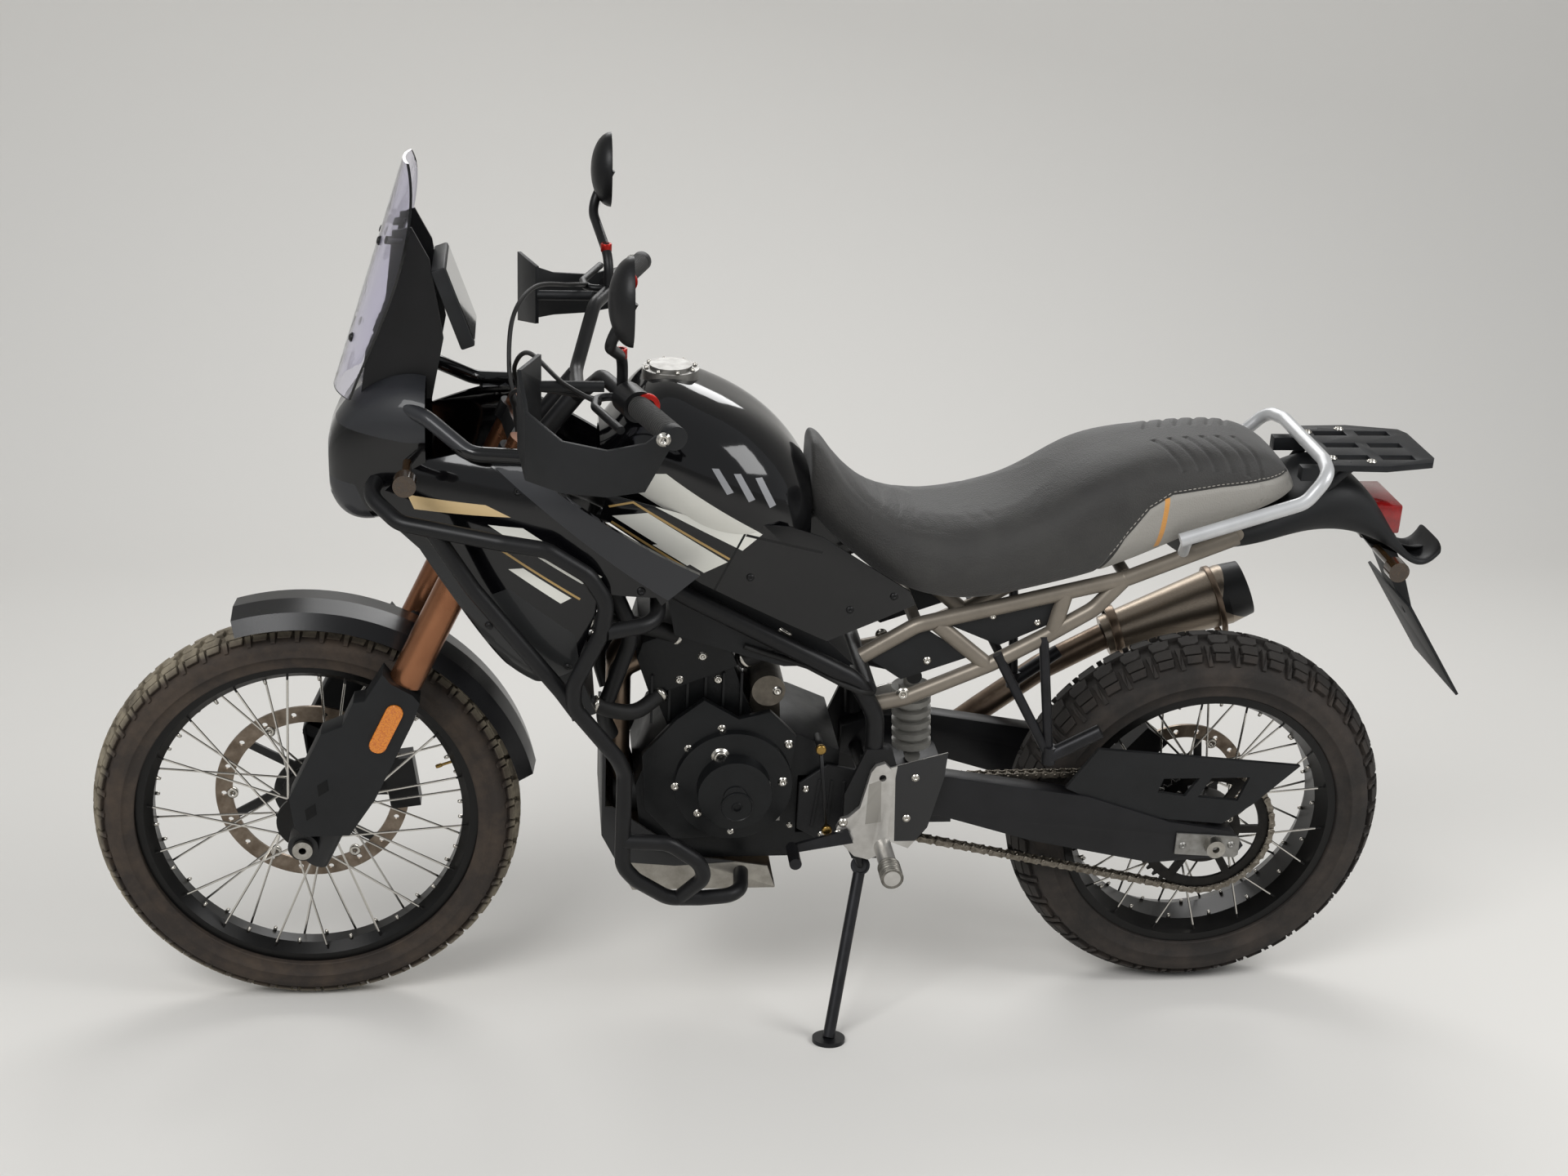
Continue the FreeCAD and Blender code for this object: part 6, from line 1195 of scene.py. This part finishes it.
# Fender fixing: black turned bosses, two on each side, between the fender's stays and the fork's
# lower castings.
bosses = []
for side in (-1, 1):
    for along in (360, 300):
        spot = fork_place(along, 6, side * 78)
        bosses.append(lathe("boss", spot / 1000, (0, side, 0),
                            [(0, -19), (9, -19), (9, 14), (7, 16), (0, 16)], 18))
assemble("fender_bosses", bosses, black_metal, "front_end", "black_metal")

# Lamps: silvered projector barrels behind the headlamp's lens, indicators in smoked polycarbonate, and
# a tail lamp in deep red, with edges eased by 4 mm.
barrels = []
for side in (-1, 1):
    barrels.append(lathe("barrel", at(101, side * 27, 980), (-1, 0, 0),
                         [(0, 0), (10, 1), (15, 5), (19, 9), (21, 9), (22, 7), (22, 0)], 36))
assemble("projector_barrels", barrels, mirror_silver, "chassis", "lamp_lens")
smoked = surface("smoked_polycarbonate", "#3b2a16", "#2a1e12", 0.12, 0.0, 12, 1.0, 0.0001, 0.8)
finish(smoked, "indicators")
red_lens = surface("red_polycarbonate", "#8e0f10", "#6d0a0b", 0.12, 0.0, 10, 1.6, 0.0003, 0.8)
finish(red_lens, "tail_light")
eased("tail_light", 4.0, "chassis")

# Exhaust: stainless header pipes browned by heat, and a silencer of brushed stainless steel with a
# black end cap. The brushing is drawn as fine lines in colour, gloss and relief.
pipe_steel = surface("heated_stainless_steel", "#8a7a6a", "#6a5a4d", 0.34, 1.0, 60, 0.8, 0.0001, worn=0.12)
finish(pipe_steel, "exhaust_pipe")
brushed, tree, shader = new_material("brushed_stainless_steel")
place = upright_place(tree)
strokes = add(tree, "ShaderNodeMapping", {0: place, 2: (0, math.radians(32), 0), 3: (12.0, 900.0, 900.0)})
fine_lines = add(tree, "ShaderNodeTexNoise", {"Vector": strokes.outputs[0], "Scale": 1.0, "Detail": 3.0})
tint = add(tree, "ShaderNodeMix", {0: fine_lines.outputs["Fac"], 6: linear("#a89c8d"), 7: linear("#83776a")},
           data_type="RGBA")
tree.links.new(tint.outputs[2], shader.inputs["Base Color"])
rough = add(tree, "ShaderNodeMapRange", {0: fine_lines.outputs["Fac"], 3: 0.24, 4: 0.46})
tree.links.new(rough.outputs[0], shader.inputs["Roughness"])
shader.inputs["Metallic"].default_value = 1.0
bump = add(tree, "ShaderNodeBump", {"Height": fine_lines.outputs["Fac"], "Strength": 0.5, "Distance": 0.0002})
tree.links.new(bump.outputs[0], shader.inputs["Normal"])
lay_graphics(brushed, [[(1578, 760), (1560, 640), (1700, 580), (1740, 760)]], "#1a1a1b", 0.2, 0.45, True)
finish(brushed, "silencer")

# Radiator: a metal core in black with fine upright fins. The fins are relief in the finish, which
# covers the tanks too. Painted light and shade lighten the fins' crests and darken the gaps between.
core_black, tree, shader = new_material("finned_black_core")
place = upright_place(tree)
fins = add(tree, "ShaderNodeTexWave", {"Vector": place, "Scale": 1000 / 3.2 / 6.28, "Distortion": 0.3},
           bands_direction="Y")
# painted light and shade: lighter on the fins' crests, darker in the gaps between them
tint = add(tree, "ShaderNodeMix", {0: fins.outputs["Fac"], 6: linear("#0d0d0e"), 7: linear("#2c2d2e")},
           data_type="RGBA")
tree.links.new(tint.outputs[2], shader.inputs["Base Color"])
shader.inputs["Roughness"].default_value = 0.5
shader.inputs["Metallic"].default_value = 0.3
bump = add(tree, "ShaderNodeBump", {"Height": fins.outputs["Fac"], "Strength": 0.8, "Distance": 0.0008})
tree.links.new(bump.outputs[0], shader.inputs["Normal"])
finish(core_black, "radiator")

# Skid plate: brushed aluminium sheet, painted black along its upper part. Its edges are eased by
# 1 mm.
skid = surface("brushed_sheet_aluminium", "#a7a39b", "#8b877f", 0.36, 0.9, 24, 1.0, 0.0002, worn=0.12)
lay_graphics(skid, [[(470, 520), (470, 330), (500, 300), (600, 290), (780, 300), (780, 520)]],
             "#131314", 0.0, 0.5)
finish(skid, "skid_plate")
eased("skid_plate", 1.0, "chassis")

# Subframe: steel tube in champagne-grey powder coat. Plated bolts mark its mounts and those of the
# frame, covers, airbox and swingarm beside it.
finish(surface("champagne_powder_coat", "#857d72", "#746d63", 0.38, 0.45, 60, 1.2, 0.0001), "subframe")
screws = []
for back, height, head_size in ((841, 633, 7), (846, 615, 7), (886, 690, 8), (960, 607, 8),
                                (860, 535, 5), (996, 665, 5), (1171, 731, 4), (1096, 745, 4)):
    for side in (-1, 1):
        met = touch(Vector((back / 1000, side * 0.6, height / 1000)), (0, -side, 0), "subframe",
                    "main_frame", "side_covers", "airbox", "swingarm")
        if met and abs(met[0].y) > 0.06:
            screws.append(socket_bolt("screw", met[0], (0, side, 0), head_size, head_size * 0.7))
assemble("frame_bolts", screws, nickel, "chassis", "axle_steel")

# Sprocket cover: a moulded nylon shell with three ribs over the front sprocket, held by three plated
# screws.
cover_edge = [(800, 440), (800, 356), (838, 334), (888, 340), (918, 372), (922, 420), (900, 462),
              (846, 474)]
shell = plate_mesh("sprocket_cover_shell", cover_edge, -99, -106)
ribs = [plate_mesh("rib", [(822 + 26 * k, 360 + 4 * k), (826 + 26 * k, 360 + 4 * k),
                           (836 + 20 * k, 448 - 2 * k), (832 + 20 * k, 448 - 2 * k)], -105.5, -108.5)
        for k in range(3)]
whole = join("sprocket_cover", [shell] + ribs)
finish(surface("moulded_nylon", "#141415", "#1c1c1d", 0.55, 0.0, 40, 1.6, 0.0002), whole)
stand(whole, "chassis", "matte_black")
screws = [socket_bolt("screw", at(back, -105.5, height), (0, -1, 0), 4.5, 3.5)
          for back, height in ((812, 430), (842, 344), (906, 400))]
assemble("sprocket_cover_screws", screws, nickel, "chassis", "axle_steel")

# Chain guard: a moulded shield over the chain's upper run, with two lightening windows cut through
# it.
edge = [upright @ v.co * 1000 for v in nodes["chain_guard"].data.vertices]
side_out, side_in = min(q.y for q in edge), max(q.y for q in edge)
windows = [[(1408, 452), (1470, 452), (1448, 418), (1400, 426)],
           [(1490, 452), (1556, 452), (1540, 408), (1470, 416)]]
guard = new_mesh("chain_guard_shield", [v.co for v in nodes["chain_guard"].data.vertices],
                 [tuple(f.vertices) for f in nodes["chain_guard"].data.polygons])
guard.data.transform(upright)
cutters = join("cutters", [plate_mesh("window", w, side_out - 20, side_in + 20) for w in windows])
hole = guard.modifiers.new("windows", "BOOLEAN")
hole.operation, hole.object, hole.solver = "DIFFERENCE", cutters, "EXACT"
seen = bpy.context.evaluated_depsgraph_get()
cut = bpy.data.meshes.new_from_object(guard.evaluated_get(seen))
guard.modifiers.clear()
guard.data = cut
bpy.data.objects.remove(cutters)
finish(moulded, guard)
stand(guard, "chassis", "matte_black", "chain_guard")

# Swingarm: a welded box arm in satin black enamel with eased edges. A pressed aluminium chain
# adjuster with its screws and an axle nut sits on each side of its rear end.
arm_black = surface("satin_black_enamel", "#131315", "#1a1a1c", 0.38, 0.1, 70, 1.2, 0.0001)
finish(arm_black, "swingarm")
eased("swingarm", 2.5, "chassis")
blocks = []
for side in (-1, 1):
    met = touch(Vector((1.475, side * 0.6, 0.329)), (0, -side, 0), "swingarm")
    outer = met[0].y * 1000 if met else side * 132
    blocks.append(plate_mesh("adjuster", [(1440, 312), (1545, 303), (1551, 308), (1551, 338),
                                          (1545, 343), (1440, 352)], outer - side * 1, outer + side * 4))
    for back in (1452, 1536):
        blocks.append(socket_bolt("screw", at(back, outer + side * 3, 328), (0, side, 0), 5, 4))
    blocks.append(lathe("axle_nut", at(1505, outer + side * 3, 329), (0, side, 0),
                        [(0, 0), (17, 0), (17, 2), (14, 2.4), (13, 12), (9, 14), (8, 9), (0, 9)], 6))
assemble("chain_adjusters", blocks, cap_alloy, "chassis", "bare_alloy")

# Shock: a steel coil spring round its damper, both in one light-grey coat, pale against the black
# parts around it.
finish(surface("grey_spring_coat", "#9b9993", "#86847e", 0.42, 0.1, 30, 1.0, 0.0001), "shock")

# Footrests: sanded cast aluminium arms with a black heel plate behind, on plated screws. The side
# stand, pillion footrests and foot levers are black forged steel.
hanger = surface("sanded_cast_aluminium", "#c9c7c3", "#b3b0ab", 0.36, 0.85, 30, 1.2, 0.0002, worn=0.1)
lay_graphics(hanger, [[(948, 560), (952, 470), (940, 352), (1060, 352), (1060, 560)],
                      [(840, 560), (840, 430), (896, 470), (908, 512), (948, 560)]], "#1a1a1b", 0.0, 0.5)
lay_graphics(hanger, [[(908, 462), (928, 470), (932, 392), (906, 388)]], "#9a9791", 0.7, 0.45)
finish(hanger, "footrests")
eased("footrests", 1.6, "chassis")
finish(surface("black_forged_steel", "#1c1c1d", "#27272a", 0.38, 0.6, 30, 1.0, 0.0001), "side_stand",
       "pillion_footrests", "foot_levers")
screws = []
for side in (-1, 1):
    for back, height, head_size in ((920, 495, 11), (869, 392, 6), (862, 372, 5), (985, 470, 5),
                                    (975, 395, 5)):
        met = touch(Vector((back / 1000, side * 0.6, height / 1000)), (0, -side, 0), "footrests")
        if met:
            screws.append(socket_bolt("screw", met[0], (0, side, 0), head_size, head_size * 0.5))
assemble("footrest_screws", screws, nickel, "chassis", "axle_steel")

# Gear linkage: a thin black rod, nearly upright on the left side, with a turned brass ball joint at
# each end.
rod = [tube_mesh("rod", [at(828, -138, 521), at(845, -138, 372)], 0.0035, 12),
       tube_mesh("arm", [at(828, -92, 521), at(828, -142, 521)], 0.006, 12)]
assemble("gear_rod", rod, black_metal, "chassis", "black_metal")
brass = surface("turned_brass", "#a98a4e", "#8f7340", 0.3, 1.0, 8, 0.6, 0.00005)
ends = [lathe("joint", at(back, -136, height), (0, -1, 0),
              [(0, 0), (7, 0), (8.5, 2), (8.5, 7), (7, 9), (4, 9.5), (0, 9.5)], 20)
        for back, height in ((828, 521), (845, 372))]
assemble("gear_rod_joints", ends, brass, "chassis", "axle_steel")

# Tail: a grab rail in silver powder coat and a cast luggage rack in black. The rack's edges are
# eased by 1.6 mm.
finish(surface("silver_powder_coat", "#c6c7c8", "#b6b7b8", 0.34, 0.35, 60, 1.0, 0.0001), "grab_rail")
finish(surface("black_cast_rack", "#1a1b1d", "#232426", 0.46, 0.2, 50, 1.6, 0.0003), "luggage_rack")
eased("luggage_rack", 1.6, "chassis")


# Small plated and blackened screws: in the screen, the fairings, the tank panels and the rack, each
# seated on what it holds.
screws = []
for height, across in ((1175, 46), (1320, 34)):
    for side in (-1, 1):
        met = touch(at(-200, side * across, height), (1, 0, 0), "windscreen")
        if met:
            screws.append(socket_bolt("screw", met[0], met[1], 5.5, 3.5))
assemble("screen_screws", screws, black_metal, "chassis", "black_metal")
screws = []
for back, height in ((182, 1015), (430, 985), (529, 832), (345, 985), (300, 760), (420, 700)):
    for side in (-1, 1):
        met = touch(at(back, side * 600, height), (0, -side, 0), "side_fairings")
        if met:
            screws.append(socket_bolt("screw", met[0], met[1], 5, 2.5))
for back, height in ((700, 830), (860, 770), (930, 790)):
    for side in (-1, 1):
        met = touch(at(back, side * 600, height), (0, -side, 0), "tank_panels")
        if met:
            screws.append(socket_bolt("screw", met[0], met[1], 4.5, 2.2))
assemble("panel_screws", screws, black_metal, "chassis", "black_metal")
screws = []
for back, across in ((1640, 62), (1760, 62), (1700, 78)):
    for side in (-1, 1):
        met = touch(at(back, side * across, 1100), (0, 0, -1), "luggage_rack")
        if met:
            screws.append(socket_bolt("screw", met[0], (0, 0, 1), 6, 3.5))
if screws:
    assemble("rack_screws", screws, nickel, "chassis", "axle_steel")

# Fork clamp bolts: plated cap screws, one in each side of the upper and of the lower clamp, seated on
# the casting.
screws = []
for height, back in ((1016, 300), (830, 330)):
    for side in (-1, 1):
        met = touch(at(back, side * 600, height), (0, -side, 0), "triple_clamps")
        if met:
            screws.append(socket_bolt("screw", met[0], (0, side, 0), 6, 5))
if screws:
    assemble("clamp_bolts", screws, nickel, "front_end", "axle_steel")

# Footpeg cleats: stamped steel combs round each peg, with six ridges that bite the boot's sole, from
# the peg's tip inwards.
pegs = [upright @ v.co for v in nodes["footrests"].data.vertices]
combs = []
for side in (-1, 1):
    tip = [q for q in pegs if q.y * side > 0.247]
    root = [q for q in pegs if 0.218 < q.y * side < 0.232 and q.z < 0.40]
    if not root:
        root = [q for q in pegs if q.y * side > 0.225 and q.z < 0.40]
    middle = sum(tip, Vector()) / len(tip)
    reach = max((q - middle).length for q in tip)
    profile = [(reach * 1000 * 0.9, -40)]
    for number in range(6):
        spot = -38 + 7 * number
        profile += [(reach * 1000 + 0.5, spot), (reach * 1000 + 3.5, spot + 1),
                    (reach * 1000 + 3.5, spot + 2.5), (reach * 1000 + 0.5, spot + 3.5)]
    profile.append((reach * 1000 * 0.9, 0))
    combs.append(lathe("cleats", middle, (0, side, 0), profile, 24))
whole = join("footpeg_cleats", combs)
finish(surface("stamped_steel", "#8a8780", "#5c5953", 0.42, 0.9, 10, 0.8, 0.0001, worn=0.15), whole)
stand(whole, "chassis", "bare_alloy")

# Silencer bands: two stainless straps round the can, one near its front end and a narrower one near
# its end cap, in the header pipes' heat-browned steel.
can = [upright @ v.co for v in nodes["silencer"].data.vertices]
start = min(q.x for q in can)
end = max(q.x for q in can)
front_end_points = [q for q in can if q.x < start + 0.03]
back_end_points = [q for q in can if q.x > end - 0.04]
front_middle = sum(front_end_points, Vector()) / len(front_end_points)
back_middle = sum(back_end_points, Vector()) / len(back_end_points)
can_line = (back_middle - front_middle).normalized()


def can_radius(share):
    """The can's outer radius at a share of its length, and the place on its middle line."""
    spot = front_middle.lerp(back_middle, share)
    near = [q for q in can if abs((q - spot).dot(can_line)) < 0.02]
    if not near:
        near = can
    return max(((q - spot) - can_line * (q - spot).dot(can_line)).length for q in near), spot


bands = []
for share, wide in ((0.06, 8), (0.80, 5)):
    radius, spot = can_radius(share)
    radius *= 1000
    bands.append(lathe("band", spot, can_line,
                       [(radius - 3, -wide), (radius + 1.4, -wide), (radius + 2.2, -wide + 1.2),
                        (radius + 2.2, wide - 1.2), (radius + 1.4, wide), (radius - 3, wide)], 48))
assemble("silencer_bands", bands, pipe_steel, "chassis", "exhaust_steel")

# Tail reflector and blank tag: a red prism moulding over the plate holder, and a plain aluminium tag
# riveted to the crankcase, both left without words.
met = touch(at(2400, 0, 792), (-1, 0, 0), "plate_holder")
if met:
    place, out = met[:2]
    out = Vector((out.x, 0, out.z)).normalized()
    across, up = Vector((0, 1, 0)), out.cross(Vector((0, 1, 0)))
    points, faces = [], []
    for lift, wide, tall in ((0.0, 32, 12), (3.0, 32, 12), (4.5, 30, 10)):
        for k in range(24):
            angle = 2 * math.pi * k / 24
            corner = [math.copysign(abs(f(angle)) ** 0.4, f(angle)) for f in (math.cos, math.sin)]
            points.append(place + (out * lift + across * wide * corner[0]
                                   + up * tall * corner[1]) / 1000)
    for ring in range(2):
        for k in range(24):
            n = (k + 1) % 24
            faces.append((ring * 24 + k, ring * 24 + n, ring * 24 + 24 + n, ring * 24 + 24 + k))
    faces.append(tuple(range(48, 72)))
    reflector = new_mesh("rear_reflector", points, faces)
    finish(red_lens, reflector)
    stand(reflector, "chassis", "red_lens")
met = touch(at(750, -600, 372), (0, 1, 0), "engine_covers", "engine_block")
if met:
    side = met[0].y * 1000
    tag = plate_mesh("blank_tag", [(732, 366), (772, 368), (772, 377), (732, 375)], side + 0.5,
                     side - 1.0)
    finish(cap_alloy, tag)
    stand(tag, "chassis", "cover_alloy")

# Tyre valves: turned brass stems, one through each rim. Each stands inside the rim and points at its
# hub.
for centre, seat, body in ((front_centre, 246, "front_wheel"), (rear_centre, 208, "rear_wheel")):
    angle = math.radians(20 if centre is front_centre else 200)
    out = Vector((math.cos(angle), 0, math.sin(angle)))
    stem = lathe("valve_" + body, centre + out * (seat + 8) / 1000, -out,
                 [(0, 0), (3.6, 0), (3.6, 5), (2.4, 6), (2.4, 22), (3.4, 23), (3.4, 31), (2.6, 33),
                  (0, 33)], 14)
    finish(brass, stem)
    stand(stem, body, "axle_steel")

# Brake fixings: plated cap screws on the right-hand face of each caliper, two at most, seated on its
# casting.
for name, body, side in (("front_caliper", "front_end", 1), ("rear_caliper", "chassis", 1)):
    low, high = Vector(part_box(name)[0]), Vector(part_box(name)[1])
    middle = upright @ ((low + high) / 2)
    half = (high - low).x / 2
    found = []
    for shift in (-0.5, 0.5):
        met = touch(Vector((middle.x + half * shift, 0.6, middle.z)), (0, -1, 0), name)
        if met:
            found.append(socket_bolt("screw", met[0], (0, 1, 0), 6.5, 4.5))
    if found:
        assemble(name + "_bolts", found, nickel, body, "axle_steel")
